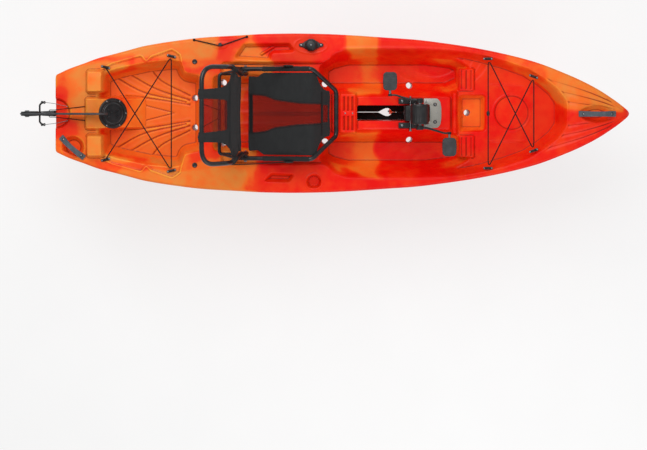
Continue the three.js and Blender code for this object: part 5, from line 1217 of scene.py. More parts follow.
    def bow_deck(self, x: Array, y: Array, side: Array, z: Array) -> Array:
        """Three flutes a side that run together at the stem, and the hollows under the handles."""
        breadth = self.lines.breadth_at(x)
        share = side / np.maximum(breadth, 1)
        run = smooth(x, 930, 1120) * smooth(-x, -1470, -1380)
        flute = sum(np.exp(-((share - place) / 0.045) ** 2) for place in (0.30, 0.52, 0.72))
        solid = z > self.lines.deck_at(x, y) - 4
        z = np.where(solid, z - 4.5 * run * flute, z)
        hollow = np.hypot((x - 1343) / 92, y / 46)
        z = self.lower(z, (hollow - 1) * 46, self.lines.rim_at(x) - 34, 26, 3)
        stern = np.hypot((x + 1431.5) / 62, (y + 180) / 62)
        z = self.lower(z, (stern - 1) * 55, self.lines.rim_at(x) - 32, 24, 3)
        notch = np.hypot(x + 1524, y) - 80
        return z - 12 * smooth(-notch, -5, 9)


@dataclass
class Blend:
    """Where the moulded colours lie: patches with feathered, wandering edges, one after another."""
    seed: int = 11
    start: float = 0.10
    wander: float = 90.0

    def patches(self) -> list[tuple]:
        """Each patch: from and to in X, Y and Z, its level from red 0 to yellow 1, and its feather."""
        far = 9999
        return [
            (-1600, -640, -far, far, -far, far, 0.40, 220),
            (-1600, -1380, -120, 120, 200, far, 0.12, 120),
            (-1400, -640, 300, far, 230, far, 0.66, 60),
            (-1214, -492, -far, -300, 230, far, 0.64, 36),
            (-1400, -1180, -260, 260, 300, far, 0.72, 60),
            (-1180, -900, -190, 190, -far, 240, 0.50, 120),
            (-1250, -850, 210, 330, -far, 290, 0.24, 60),
            (-860, -560, -260, 260, -far, far, 0.10, 60),
            (18, 218, -333, -110, 100, far, 0.58, 50),
            (23, 218, 100, 500, 100, far, 0.60, 50),
            (998, 1452, 30, 300, 250, far, 0.66, 60),
            (860, 1010, 150, 330, 230, far, 0.42, 80),
            (-1600, -520, -far, far, -far, 250, 0.50, 140),
            (-1108, -419, -far, far, 222, 300, 0.66, 60),
            (552, 870, -far, far, 150, 220, 0.46, 70),
            (-500, 100, -far, far, -far, 190, 0.22, 150),
        ]

    def levels(self, places: Array) -> tuple[Array, Array]:
        """Blend and shade at each place.

        Each patch pulls the blend to its own level, by the product of six smooth steps at its faces, read at
        places that clouds push about.

        Args:
            places: x, y, z rows.

        Returns:
            The blend and the shade, from 0 to 1.
        """
        shift = [clouds(places, 210, self.seed + k) * self.wander + clouds(places, 66, self.seed + 5 + k) * 26
                 for k in range(3)]
        x, y, z = places[:, 0] + shift[0], places[:, 1] + shift[1] * 0.45, places[:, 2] + shift[2] * 0.25
        blend = self.start + 0.10 * clouds(places, 260, self.seed + 9)
        for aft, fore, starboard, port, low, high, level, feather in self.patches():
            edge = feather / 2
            weight = smooth(x, aft - edge, aft + edge) * smooth(-x, -fore - edge, -fore + edge)
            weight = weight * smooth(y, starboard - edge * 0.5, starboard + edge * 0.5)
            weight = weight * smooth(-y, -port - edge * 0.5, -port + edge * 0.5)
            weight = weight * smooth(z, low - 14, low + 14) * smooth(-z, -high - 14, -high + 14)
            blend = blend + (level - blend) * weight * 0.9
        blend = blend + 0.07 * clouds(places, 90, self.seed + 13) + 0.05 * clouds(places, 34, self.seed + 14)
        # The shade is random tone plus painted shade that darkens the hull towards its bottom, less where the
        # blend is orange or yellow.
        shade = 0.16 + 0.16 * clouds(places, 150, self.seed + 21) + 0.35 * smooth(-places[:, 2], -110, -10)
        return np.clip(blend, 0, 1), np.clip(shade * (1 - 0.8 * blend), 0, 1)


@dataclass
class Hole:
    """A hole through the hull: a circle, or a rectangle with round ends, and its tube to the other side."""
    name: str
    x: float
    y: float
    half_x: float
    half_y: float
    radius: float
    margin: float

    def nearest(self, x: Array, y: Array) -> tuple[Array, Array]:
        """The outline's point nearest to each place: the core's nearest point, and a radius out from it."""
        core_x = np.clip(x - self.x, self.radius - self.half_x, self.half_x - self.radius)
        core_y = np.clip(y - self.y, self.radius - self.half_y, self.half_y - self.radius)
        away_x, away_y = x - self.x - core_x, y - self.y - core_y
        size = np.maximum(np.hypot(away_x, away_y), 1e-6)
        return self.x + core_x + away_x / size * self.radius, self.y + core_y + away_y / size * self.radius


@dataclass
class Hull:
    """The moulded hull: one closed ring of points at each place along it, of the deck and the skin."""
    finishes: Finishes
    lines: HullLines = field(default_factory=HullLines)
    blend: Blend = field(default_factory=Blend)
    row_step: float = 3.5
    deck_columns: int = 226
    splits: tuple = (-742.0, 0.0, 724.0)
    names: tuple = ("hull_stern", "hull_seat", "hull_cockpit", "hull_bow")
    scuppers: tuple = ((-0.521, 0.187), (-0.521, -0.187), (-0.421, 0.385), (-0.421, -0.385), (-0.059, 0.366),
                       (-0.059, -0.366), (0.243, 0.345), (0.243, -0.345), (0.447, 0))
    scupper_radius: float = 17.0
    hatch_cut: float = 65.5

    def __post_init__(self) -> None:
        """Makes the deck."""
        self.deck = Deck(self.lines)

    def holes(self) -> list[Hole]:
        """The nine scuppers and the drive's slot."""
        half, side = self.lines.length / 2, self.lines.beam / 2
        r = self.scupper_radius
        round_ones = [Hole(f"scupper_{i + 1}", x * half, y * side, r, r, r, 13.0)
                      for i, (x, y) in enumerate(self.scuppers)]
        return [*round_ones, Hole("slot", 280.0, 0.0, 198.0, 42.0, 12.0, 9.0)]

    def rows(self) -> Array:
        """Places of the rings: even steps, with a few more in the round of each end and at the fins' ends."""
        half, r = self.lines.length / 2, self.lines.end_round
        turn = np.linspace(0, math.pi / 2, 7)
        ends = half - r * (1 - np.cos(turn))
        even = np.arange(-half + r + self.row_step, half - r, self.row_step)
        fins = [-1490.5, -1489.0, -1350.5, -1349.0, -1050.5, -1049.0]
        even = even[np.min(np.abs(even[:, None] - np.array(fins)), 1) > 1.2]
        return np.unique(np.concatenate([-(half - r * (1 - np.sin(turn[::-1]))), even, fins, self.splits,
                                         half - r * (1 - np.sin(turn))]).round(3))

    def rings(self, x: Array) -> tuple[Array, int]:
        """All the rings: rows by columns by 3, and how many of the columns are deck.

        The deck runs from starboard to port; the skin then goes down the port side, under the keel and up again.
        """
        skin = self.lines.skin(x)
        top = skin[:, 0, 0]
        t = np.linspace(-1, 1, self.deck_columns)
        y = top[:, None] * t
        wide = np.broadcast_to(x[:, None], y.shape)
        z = self.deck.height(wide.ravel(), y.ravel()).reshape(y.shape)
        edge = smooth(np.abs(t), 0.97, 1.0)[None]
        z = z + (skin[:, :1, 1] - z) * edge
        deck = np.stack([wide, y, z], -1)
        port = skin[:, 1:]
        starboard = skin[:, 1:-1][:, ::-1] * [-1, 1]
        both = np.concatenate([port, starboard], 1)
        place = np.broadcast_to(x[:, None], both.shape[:2])
        return np.concatenate([deck, np.concatenate([place[..., None], both], -1)], 1), self.deck_columns

    def open_block(self, builder: MeshBuilder, ring: Array, hole: Hole, columns: slice, keep: Array,
                   below: bool) -> None:
        """Drops the cells round a hole and fills between them and its outline with rings drawn towards it.

        The rings start at the dropped block's edge and end on the outline, then turn over a small round and run
        down the tube to half way through the hull.

        Args:
            builder: where the patch is added.
            ring: the hull's grid.
            hole: the hole.
            columns: which columns it lies in.
            keep: the mask of cells that stay, changed here.
            below: whether this is the hull's under side.
        """
        part = ring[:, columns]
        inside = ((np.abs(part[..., 0] - hole.x) < hole.half_x + hole.margin)
                  & (np.abs(part[..., 1] - hole.y) < hole.half_y + hole.margin))
        rows, across = np.nonzero(inside)
        r0, r1, c0, c1 = rows.min() - 1, rows.max() + 1, across.min() - 1, across.max() + 1
        first = columns.start or 0
        keep[r0:r1, first + c0:first + c1] = False
        block = part[r0:r1 + 1, c0:c1 + 1]
        loop = np.concatenate([block[0, :-1], block[:-1, -1], block[-1, :0:-1], block[:0:-1, 0]])
        near_x, near_y = hole.nearest(loop[:, 0], loop[:, 1])
        target = np.stack([near_x, near_y], 1)
        away = loop[:, :2] - target
        away /= np.maximum(np.linalg.norm(away, axis=1, keepdims=True), 1e-6)
        lip = 4.0
        shares = np.array([0.0, 0.3, 0.6, 0.85])
        start = target + away * lip
        flat = loop[None, :, :2] + (start - loop[:, :2])[None] * shares[:, None, None] / 0.85
        if below:
            z = np.repeat(loop[None, :, 2], len(flat), 0)
        else:
            z = self.deck.height(flat[..., 0].ravel(), flat[..., 1].ravel()).reshape(flat.shape[:2])
            z[0] = loop[:, 2]
        turn = np.linspace(0, math.pi / 2, 5)[1:, None]
        sign = 1 if below else -1
        over = start[None] - away[None] * lip * np.sin(turn)[..., None]
        z_over = z[-1][None] + sign * lip * (1 - np.cos(turn))
        z_mid = np.full((1, len(loop)), 110.0)
        grid = np.concatenate([np.concatenate([flat, z[..., None]], -1),
                               np.concatenate([over, z_over[..., None]], -1),
                               np.concatenate([target[None], z_mid[..., None]], -1)])
        builder.grid(grid, wrap_columns=True)

    def build(self) -> None:
        """Builds the hull in four lengths that share their end rings, and dresses them."""
        x = self.rows()
        ring, deck_count = self.rings(x)
        closed = np.concatenate([ring, ring[:, :1]], 1)
        ahead = np.gradient(closed, axis=0)
        around = np.empty_like(closed)
        around[:, 1:-1] = closed[:, 2:] - closed[:, :-2]
        around[:, 0] = around[:, -1] = closed[:, 1] - closed[:, -2]
        normal = np.cross(ahead, around)[:, :-1]
        normal /= np.maximum(np.linalg.norm(normal, axis=-1, keepdims=True), 1e-9)
        keep = np.ones((len(x) - 1, ring.shape[1]), bool)
        hatch = np.array([math.sin(math.radians(33)), 0, math.cos(math.radians(33))])
        from_hatch = ring[:-1, :deck_count] - [-1224, 0, 295]
        along = from_hatch @ hatch
        far = np.linalg.norm(from_hatch - along[..., None] * hatch, axis=-1)
        keep[:, :deck_count] &= ~((far < self.hatch_cut) & (np.abs(along) < 30))
        patches = MeshBuilder()
        skin_columns = slice(deck_count + 20, ring.shape[1] - 20)
        for hole in self.holes():
            self.open_block(patches, ring, hole, slice(0, deck_count), keep, below=False)
            self.open_block(patches, ring, hole, skin_columns, keep, below=True)
        self.dress(patches.build("hull_wells", sharp=50))
        cuts = [0, *np.searchsorted(x, np.array(self.splits) - 0.001), len(x) - 1]
        for name, low, high in zip(self.names, cuts[:-1], cuts[1:]):
            builder = MeshBuilder()
            part = ring[low:high + 1]
            numbers = builder.grid(part, wrap_columns=True, keep=keep[low:high])
            if low == 0:
                builder.flat(numbers[0])
            if high == len(x) - 1:
                builder.flat(numbers[-1][::-1])
            self.dress(builder.build(name, sharp=None, weld=False), normal[low:high + 1])

    def creases(self, places: Array, step: float = 6.0) -> tuple[Array, Array]:
        """How far a place on the deck lies in a crease, and how far on an edge: the strengths of the painted
        crease shade and the painted edge highlight.

        Both come from the deck's bend: the mean height at four places a step away, less the height there,
        over the step. It is above zero in a crease and below it on an edge. Steep walls have neither.

        Args:
            places: x, y, z rows.
            step: distance to the four places.

        Returns:
            The painted crease shade and the painted edge highlight, from 0 to 1.
        """
        x, y = places[:, 0], places[:, 1]
        here = self.deck.height(x, y)
        fore, aft = self.deck.height(x + step, y), self.deck.height(x - step, y)
        port, starboard = self.deck.height(x, y + step), self.deck.height(x, y - step)
        bend = ((fore + aft + port + starboard) / 4 - here) / step
        slope = np.hypot(fore - aft, port - starboard) / (2 * step)
        on_deck = smooth(-np.abs(places[:, 2] - here), -14, -6) * smooth(-slope, -1.25, -0.55)
        return 0.75 * smooth(bend, 0.05, 0.24) * on_deck, 0.6 * smooth(-bend, 0.08, 0.26) * on_deck

    def dress(self, piece: bpy.types.Object, normals: Array | None = None) -> None:
        """Gives a piece of the hull its colours, with painted shade in creases and a painted highlight on edges,
        its shading normals and its finish.

        Args:
            piece: the piece.
            normals: its points' normals where they are known from the whole hull.
        """
        mesh = piece.data
        places = np.empty(len(mesh.vertices) * 3, np.float32)
        mesh.vertices.foreach_get("co", places)
        places = places.reshape(-1, 3) / MM
        blend, shade = self.blend.levels(places)
        crease, edge = self.creases(places)
        # The painted edge highlight is strongest towards the stern and shows only where the blend is orange or
        # yellow.
        edge = edge * (0.25 + 0.75 * smooth(-places[:, 0], 500, 900)) * smooth(blend, 0.2, 0.5)
        for name, values in (("blend", blend), ("shade", shade), ("crease", crease), ("edge", edge)):
            layer = mesh.attributes.new(name, "FLOAT", "POINT")
            layer.data.foreach_set("value", values.astype(np.float32))
        if normals is not None:
            mesh.normals_split_custom_set_from_vertices(normals.reshape(-1, 3))
        finished(piece, "hull", self.finishes.hull, ["hull"])


# Small shapes that many fittings share

@dataclass(frozen=True)
class Axes:
    """A fitting's own space: its origin, and its three directions as the columns of a turn."""
    origin: Array
    turn: Array

    @classmethod
    def on_deck(cls, lines: HullLines, x: float, y: float, degrees: float = 0.0, lift: float = 0.3) -> "Axes":
        """A space on the deck that leans with the rim and is turned about its own up.

        Args:
            lines: the hull's lines.
            x: place along the hull.
            y: place across it.
            degrees: turn from fore and aft.
            lift: height over the deck.

        Returns:
            The space.
        """
        reach = 25.0
        slope = (lines.rim_at(np.array(x + reach)) - lines.rim_at(np.array(x - reach))) / (2 * reach)
        lean, turn = math.atan(float(slope)), math.radians(degrees)
        fore = np.array([math.cos(lean), 0, math.sin(lean)])
        port = np.array([0.0, 1, 0])
        first = fore * math.cos(turn) + port * math.sin(turn)
        second = port * math.cos(turn) - fore * math.sin(turn)
        height = float(lines.deck_at(np.array(x), np.array(y))) + lift
        return cls(np.array([x, y, height]), np.stack([first, second, np.cross(fore, port)], 1))

    @property
    def up(self) -> Array:
        """The space's third direction."""
        return self.turn[:, 2]

    def put(self, points: Array) -> Array:
        """Points of this space in the kayak's."""
        return self.origin + np.asarray(points, float) @ self.turn.T


def evenly(path: Array, step: float) -> Array:
    """The same line with its points at even steps."""
    path = np.asarray(path, float)
    run = np.concatenate([[0.0], np.cumsum(np.linalg.norm(np.diff(path, axis=0), axis=1))])
    at = np.linspace(0, run[-1], max(int(run[-1] / step), 2) + 1)
    return np.stack([np.interp(at, run, column) for column in path.T], 1)


def tube(builder: MeshBuilder, path: Array, radius: float, sides: int = 14,
         up: Sequence[float] = (0, 0, 1)) -> None:
    """Adds a round tube along a path, closed at both ends."""
    builder.grid(sweep(path, circle(radius, sides), up), wrap_columns=True, ends=True)


def turned(builder: MeshBuilder, profile: Sequence[Sequence[float]], base: Sequence[float],
           axis: Sequence[float], sides: int = 48, ring: bool = False) -> None:
    """Adds a turned form: a profile that starts and ends on the axis, or a closed ring of a profile."""
    builder.grid(revolve(profile, base, axis, sides), wrap_rows=ring, wrap_columns=True)


def screw(builder: MeshBuilder, place: Array, axis: Sequence[float], radius: float = 4.2,
          height: float = 2.0) -> None:
    """Adds a low screw head with a cross cut into it.

    The cross is a recess whose radius swings four times round with the cube of a cosine.

    Args:
        builder: where it is added.
        place: middle of the head's foot.
        axis: the way it faces.
        radius: radius of the head.
        height: height of the head.
    """
    first, second, main = axes_of(axis)
    turn = np.arange(24) * 2 * math.pi / 24
    star = 0.45 + 0.55 * np.abs(np.cos(2 * turn)) ** 3
    rows = ((0.0, 0.3, 1), (0.4, 0.3, 1), (0.5, 0.96, 1), (0.7, 0.92, 0), (0.93, 0.55, 0), (1.0, 0.0, 0),
            (1.0, -0.6, 0), (0.0, -0.6, 0))
    ring = np.cos(turn)[:, None] * first + np.sin(turn)[:, None] * second
    grid = [place + radius * share * (star if starred else 1 + 0 * star)[:, None] * ring + height * rise
            * main
            for share, rise, starred in rows]
    builder.grid(np.stack(grid), wrap_columns=True)


# Fittings on the deck

@dataclass
class DeckFittings:
    """Padeyes, bungees, the paddle keeper, plugs and the two carry handles."""
    finishes: Finishes
    lines: HullLines = field(default_factory=HullLines)
    ends: tuple = ("port_aft", "starboard_aft", "port_fore", "starboard_fore")
    stern_eyes: tuple = ((-0.825, 0.574), (-0.825, -0.574), (-0.596, 0.712), (-0.596, -0.712))
    bow_eyes: tuple = ((0.511, 0.68), (0.511, -0.68), (0.667, 0.458), (0.667, -0.458))
    stern_turns: tuple = (14.0, 14.0)
    bow_turns: tuple = (0.0, 20.0)
    foot_length: float = 50.0
    foot_width: float = 14.0
    foot_height: float = 3.0
    hoop_radius: float = 13.0
    hoop_rod: float = 2.5
    bungee_radius: float = 3.0
    bungee_lift: float = 6.9
    bead_radius: float = 9.0
    bead_length: float = 26.0
    plug: tuple = (785.0, 276.0)
    plug_radius: float = 13.5
    plug_height: float = 4.0
    hook: tuple = (-649.0, 367.0)
    keeper: tuple = ((-0.517, 0.915), (-0.333, 0.955))
    handle_width: float = 30.0
    handle_thickness: float = 8.0
    handle_end: float = 16.0
    handle_levels: tuple = ((0.0, 1.0), (0.35, 0.93), (0.72, 0.62), (1.0, 0.1))
    bow_handle: tuple = ((1246.0, 0.0), (1440.0, 0.0), 36.0)
    stern_handle: tuple = ((-1493.0, -124.0), (-1370.0, -236.0), 32.0)
    handle_bolt: float = 73.0

    def build(self) -> None:
        """Builds every fitting of the deck."""
        self.screws = MeshBuilder()
        for kind, eyes, turns in (("stern", self.stern_eyes, self.stern_turns),
                                  ("bow", self.bow_eyes, self.bow_turns)):
            for i, (name, eye) in enumerate(zip(self.ends, eyes)):
                self.padeye(f"{kind}_padeye_{name}", self.place(eye), turns[i // 2])
        self.stern_bungee()
        self.bow_bungee()
        self.paddle_keeper()
        self.plugs()
        self.handle("bow_handle", *self.bow_handle)
        self.handle("stern_handle", *self.stern_handle)
        finished(self.screws.build("deck_screws"), "hull", self.finishes.steel)

    def place(self, shares: Sequence[float]) -> tuple[float, float]:
        """A place from its shares of the half length and half beam."""
        return shares[0] * self.lines.length / 2, shares[1] * self.lines.beam / 2

    def over_deck(self, x: float, y: float, lift: float) -> Array:
        """A point over the deck."""
        return np.array([x, y, float(self.lines.deck_at(np.array(x), np.array(y))) + lift])

    def padeye(self, node: str, place: tuple[float, float], turn: float) -> None:
        """An oval foot with a hoop over its middle and a screw at each end."""
        x, y = place
        axes = Axes.on_deck(self.lines, x, y, -math.copysign(turn, y), 0.6)
        builder = MeshBuilder()
        outline = Deck.block(-self.foot_length / 2, self.foot_length / 2, self.foot_width / 2, 6.4)
        slab(builder, outline, 0.0, self.foot_height, 1.3, axes.put)
        angle = np.linspace(0, math.pi, 17)
        hoop = np.stack([-self.hoop_radius * np.cos(angle), np.zeros_like(angle),
                         self.foot_height * 0.58 + self.hoop_radius * np.sin(angle)], 1)
        tube(builder, axes.put(hoop), self.hoop_rod, 12, axes.turn[:, 1])
        finished(builder.build(f"eye_{node}"), "hull", self.finishes.black, [node])
        for side in (-1, 1):
            screw(self.screws, axes.put([side * 19.8, 0, self.foot_height - 0.2]), axes.up, 3.9, 1.7)

    def eyes(self, shares: Sequence[Sequence[float]], order: Sequence[int]) -> Array:
        """Points under the hoops, in the order that a bungee runs through them."""
        return np.array([self.over_deck(*self.place(shares[i]), self.bungee_lift) for i in order])

    def stern_bungee(self) -> None:
        """The bungee that crosses the tank well twice, with a knot outside each aft padeye."""
        path = evenly(filleted(self.eyes(self.stern_eyes, (0, 3, 2, 1)), 9.0, 6), 6.0)
        builder = MeshBuilder()
        tube(builder, path, self.bungee_radius)
        for tip in (path[0], path[-1]):
            self.knot(builder, tip)
        piece = builder.build("bungee_stern")
        finished(piece, "hull", self.finishes.cord, ["stern_bungee"])

    def knot(self, builder: MeshBuilder, place: Array) -> None:
        """Adds a knot: a loop of cord drawn tight round the cord's own end."""
        turn = np.linspace(0, 4 * math.pi, 60)
        loop = place + np.stack([5.2 * np.cos(turn), 4.2 * np.sin(turn), 2.2 * np.sin(turn * 1.5)], 1)
        tube(builder, loop, self.bungee_radius * 0.92, 10, (0.2, 0.1, 1))
        turned(builder, [(0, -5), (4, -4), (5.5, 0), (4, 4), (0, 5)], place, (0, 0, 1), 16)

    def bow_bungee(self) -> None:
        """The bungee round and across the four bow padeyes, closed by a bead between the aft two."""
        eyes = self.eyes(self.bow_eyes, (1, 2, 3, 0))
        middle = (eyes[0] + eyes[3]) / 2
        path = evenly(filleted([middle, *eyes, middle], 9.0, 6), 6.0)
        builder = MeshBuilder()
        tube(builder, path, self.bungee_radius)
        finished(builder.build("bungee_bow"), "hull", self.finishes.cord, ["bow_bungee"])
        half, r = self.bead_length / 2, self.bead_radius
        bead = MeshBuilder()
        profile = [(0, -half), (r * 0.6, -half), (r * 0.72, -half * 0.86), (r * 0.95, -half * 0.3), (r, 0),
                   (r * 0.95, half * 0.3), (r * 0.72, half * 0.86), (r * 0.6, half), (0, half)]
        turned(bead, profile, middle, (0, 1, 0), 32)
        finished(bead.build("bead"), "hull", self.finishes.black, ["bungee_bead"])

    def paddle_keeper(self) -> None:
        """The short bungee on the port gunwale, drawn round a hook."""
        x, y = self.hook
        foot = self.over_deck(x, y, 0.6)
        builder = MeshBuilder()
        turned(builder, [(0, 0), (9.6, 0), (10, 0.8), (9.4, 2.6), (5.0, 3.4), (3.5, 5.0), (3.5, 11.6),
                         (6.0, 12.8),
                         (9.6, 13.8), (10, 14.8), (9.2, 16.2), (0, 16.5)], foot, (0, 0, 1), 32)
        finished(builder.build("hook"), "hull", self.finishes.black, ["paddle_hook"])
        aft, fore = (self.over_deck(*self.place(end), self.bungee_radius + 0.3) for end in self.keeper)
        round_hook = self.over_deck(x, y - 7.1, 7.8)
        path = evenly(filleted([aft, round_hook, fore], 14.0, 8), 6.0)
        cord = MeshBuilder()
        tube(cord, path, self.bungee_radius)
        for tip in (path[0], path[-1]):
            turned(cord, [(0, -3.2), (6.5, -3.2), (7.2, -1.5), (6.0, 3.0), (3.2, 4.2), (0, 4.4)], tip,
                   (0, 0, 1), 20)
        finished(cord.build("bungee_paddle"), "hull", self.finishes.cord, ["paddle_bungee"])

    def plugs(self) -> None:
        """The two black plugs in the side decks, each with a dished top."""
        x, y = self.plug
        r, top = self.plug_radius, self.plug_height
        for side, name in ((1, "port"), (-1, "starboard")):
            foot = self.over_deck(-x, side * y, 0.3)
            builder = MeshBuilder()
            turned(builder, [(0, 0), (r, 0), (r, top * 0.5), (r * 0.9, top * 0.95), (r * 0.78, top),
                             (r * 0.66, top * 0.7),
                             (r * 0.3, top * 0.58), (0, top * 0.55)], foot, (0, 0, 1), 36)
            node = f"deck_plug_{name}"
            finished(builder.build(f"plug_{name}"), "hull", self.finishes.frame, [node])

    def handle(self, node: str, start: tuple[float, float], end: tuple[float, float], rise: float) -> None:
        """An arched strap of soft rubber between two feet on the deck, with a bolt near each end.

        Args:
            node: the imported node's name.
            start: its aft end in plan.
            end: its fore end in plan.
            rise: height of its arch.
        """
        a, b = self.over_deck(*start, 0.3), self.over_deck(*end, 0.3)
        middle = (a + b) / 2
        along = (b - a) / np.linalg.norm(b - a)
        side = np.cross([0, 0, 1], along)
        side /= np.linalg.norm(side)
        axes = Axes(middle, np.stack([along, side, np.cross(along, side)], 1))
        half = float(np.hypot(*(b - a)[:2])) / 2
        inner = half - self.handle_end
        right = [(share * inner, level * rise) for share, level in self.handle_levels] + [(half, 0.0)]
        knots = [(-s, h) for s, h in right[:0:-1]] + right
        s, h = np.array(knots).T
        at = np.linspace(-half, half, 61)
        line = np.stack([at, np.zeros_like(at), monotone(s, h, at) + self.handle_thickness / 2], 1)
        builder = MeshBuilder()
        waist = 1 - 0.10 * smooth(-np.abs(at), -inner * 0.8, -inner * 0.3)
        section = rounded_box(self.handle_width, self.handle_thickness - 0.4, 3.2, 4)
        builder.grid(sweep(axes.put(line), section, axes.up, waist), wrap_columns=True, ends=True)
        for place in (-1, 1):
            edge = place * (half - 5)
            slab(builder, Deck.block(edge - 5, edge + 5, self.handle_width / 2, 3.0), 0.2,
                 self.handle_thickness + 0.8,
                 1.5, axes.put)
            at_bolt = self.handle_bolt * half / 97.0
            top = float(monotone(s, h, np.array([at_bolt]))[0]) + self.handle_thickness - 0.3
            self.bolt(axes, place * at_bolt, top)
        finished(builder.build(f"{node}_strap"), "hull", self.finishes.handle, [node])

    def bolt(self, axes: Axes, along: float, height: float) -> None:
        """A washer and a screw on a handle."""
        builder = MeshBuilder()
        place = axes.put([along, 0, height])
        turned(builder, [(0, -1), (8.5, -1), (8.5, 0.4), (7.4, 1.2), (0, 1.2)], place, axes.up, 32)
        name = f"handle_washer_{len(bpy.data.objects)}"
        finished(builder.build(name), "hull", self.finishes.black)
        screw(self.screws, place + axes.up * 1.1, axes.up, 5.0, 2.2)


@dataclass
class Hatch:
    """The round hatch in the tank well's aft slope: a ring with six screws, and a lid with finger wells."""
    finishes: Finishes
    centre: tuple = (-1224.0, 0.0, 295.0)
    slope: float = 33.0
    radius: float = 82.0
    sleeve: float = 67.0
    wall: float = 3.0
    ledge: float = 5.0
    depth: float = 16.0
    rise: float = 7.0
    lid_radius: float = 63.5
    lid_low: float = -7.0
    lid_top: float = 4.0
    well_depth: float = 6.6

    @property
    def axes(self) -> Axes:
        """The hatch's space: down its slope, to port, and out along its axis."""
        a = math.radians(self.slope)
        turn = np.array([[math.cos(a), 0, math.sin(a)], [0, 1, 0], [-math.sin(a), 0, math.cos(a)]])
        return Axes(np.array(self.centre), turn)

    def build(self) -> None:
        """Builds the ring, its screws and the lid."""
        axes = self.axes
        ring = MeshBuilder()
        inner, r = self.sleeve - self.wall, self.radius
        turned(ring, [(inner - self.ledge, -self.depth), (self.sleeve, -self.depth), (self.sleeve, 0.3),
                      (r, 0.3),
                      (r, 3.0), (r - 1.0, 5.0), (r - 3.4, 6.4), (r - 6, self.rise), (inner + 3, self.rise),
                      (inner + 1, self.rise - 0.8), (inner, self.rise - 2.4),
                      (inner, self.ledge - self.depth),
                      (inner - self.ledge, self.ledge - self.depth)], axes.origin, axes.up, 112, ring=True)
        finished(ring.build("hatch_flange"), "hull", self.finishes.black, ["hatch_ring"])
        screws = MeshBuilder()
        for k in range(6):
            turn = math.radians(60 * k)
            away = 74.2 * np.array([math.cos(turn), math.sin(turn), 0]) + [0, 0, self.rise - 0.3]
            screw(screws, axes.put(away), axes.up, 4.0, 1.8)
        finished(screws.build("hatch_screws"), "hull", self.finishes.steel)
        self.lid(axes)

    def lid(self, axes: Axes) -> None:
        """The lid: a disc in rings, its two wells sunk by a smooth step inside their outlines."""
        reach = self.lid_radius
        r = np.concatenate([np.linspace(0, reach - 2, 64), [reach - 0.9, reach]])
        turn = np.arange(168) * 2 * math.pi / 168
        x, y = r[:, None] * np.cos(turn), r[:, None] * np.sin(turn)
        z = self.lid_top - 1.6 * smooth(r, reach - 2.6, reach)[:, None] + 0 * x
        for side in (-1, 1):
            corners = np.array([(0.14, -0.1), (0.52, -0.36), (0.52, 0.36), (0.14, 0.1)]) * reach * [side, 1]
            gap = away_from(filleted(corners, 4.0, 4, closed=True), x.ravel(), y.ravel(), 30).reshape(x.shape)
            z = z - self.well_depth * smooth(-gap, -0.6, 2.2)
        z = z - 1.2 * np.exp(-((np.hypot(x, y) - reach * 0.86) / 1.4) ** 2)
        top = np.stack([x, y, z], -1)
        side_wall = np.stack([top[-1] * [1, 1, 0] + [0, 0, level] for level in (0.0, self.lid_low)])
        centre = np.zeros((1, len(turn), 3)) + [0, 0, self.lid_low]
        builder = MeshBuilder()
        builder.grid(axes.put(np.concatenate([top, side_wall, centre])), wrap_columns=True)
        finished(builder.build("lid"), "hatch_lid", self.finishes.frame, ["hatch_lid"])


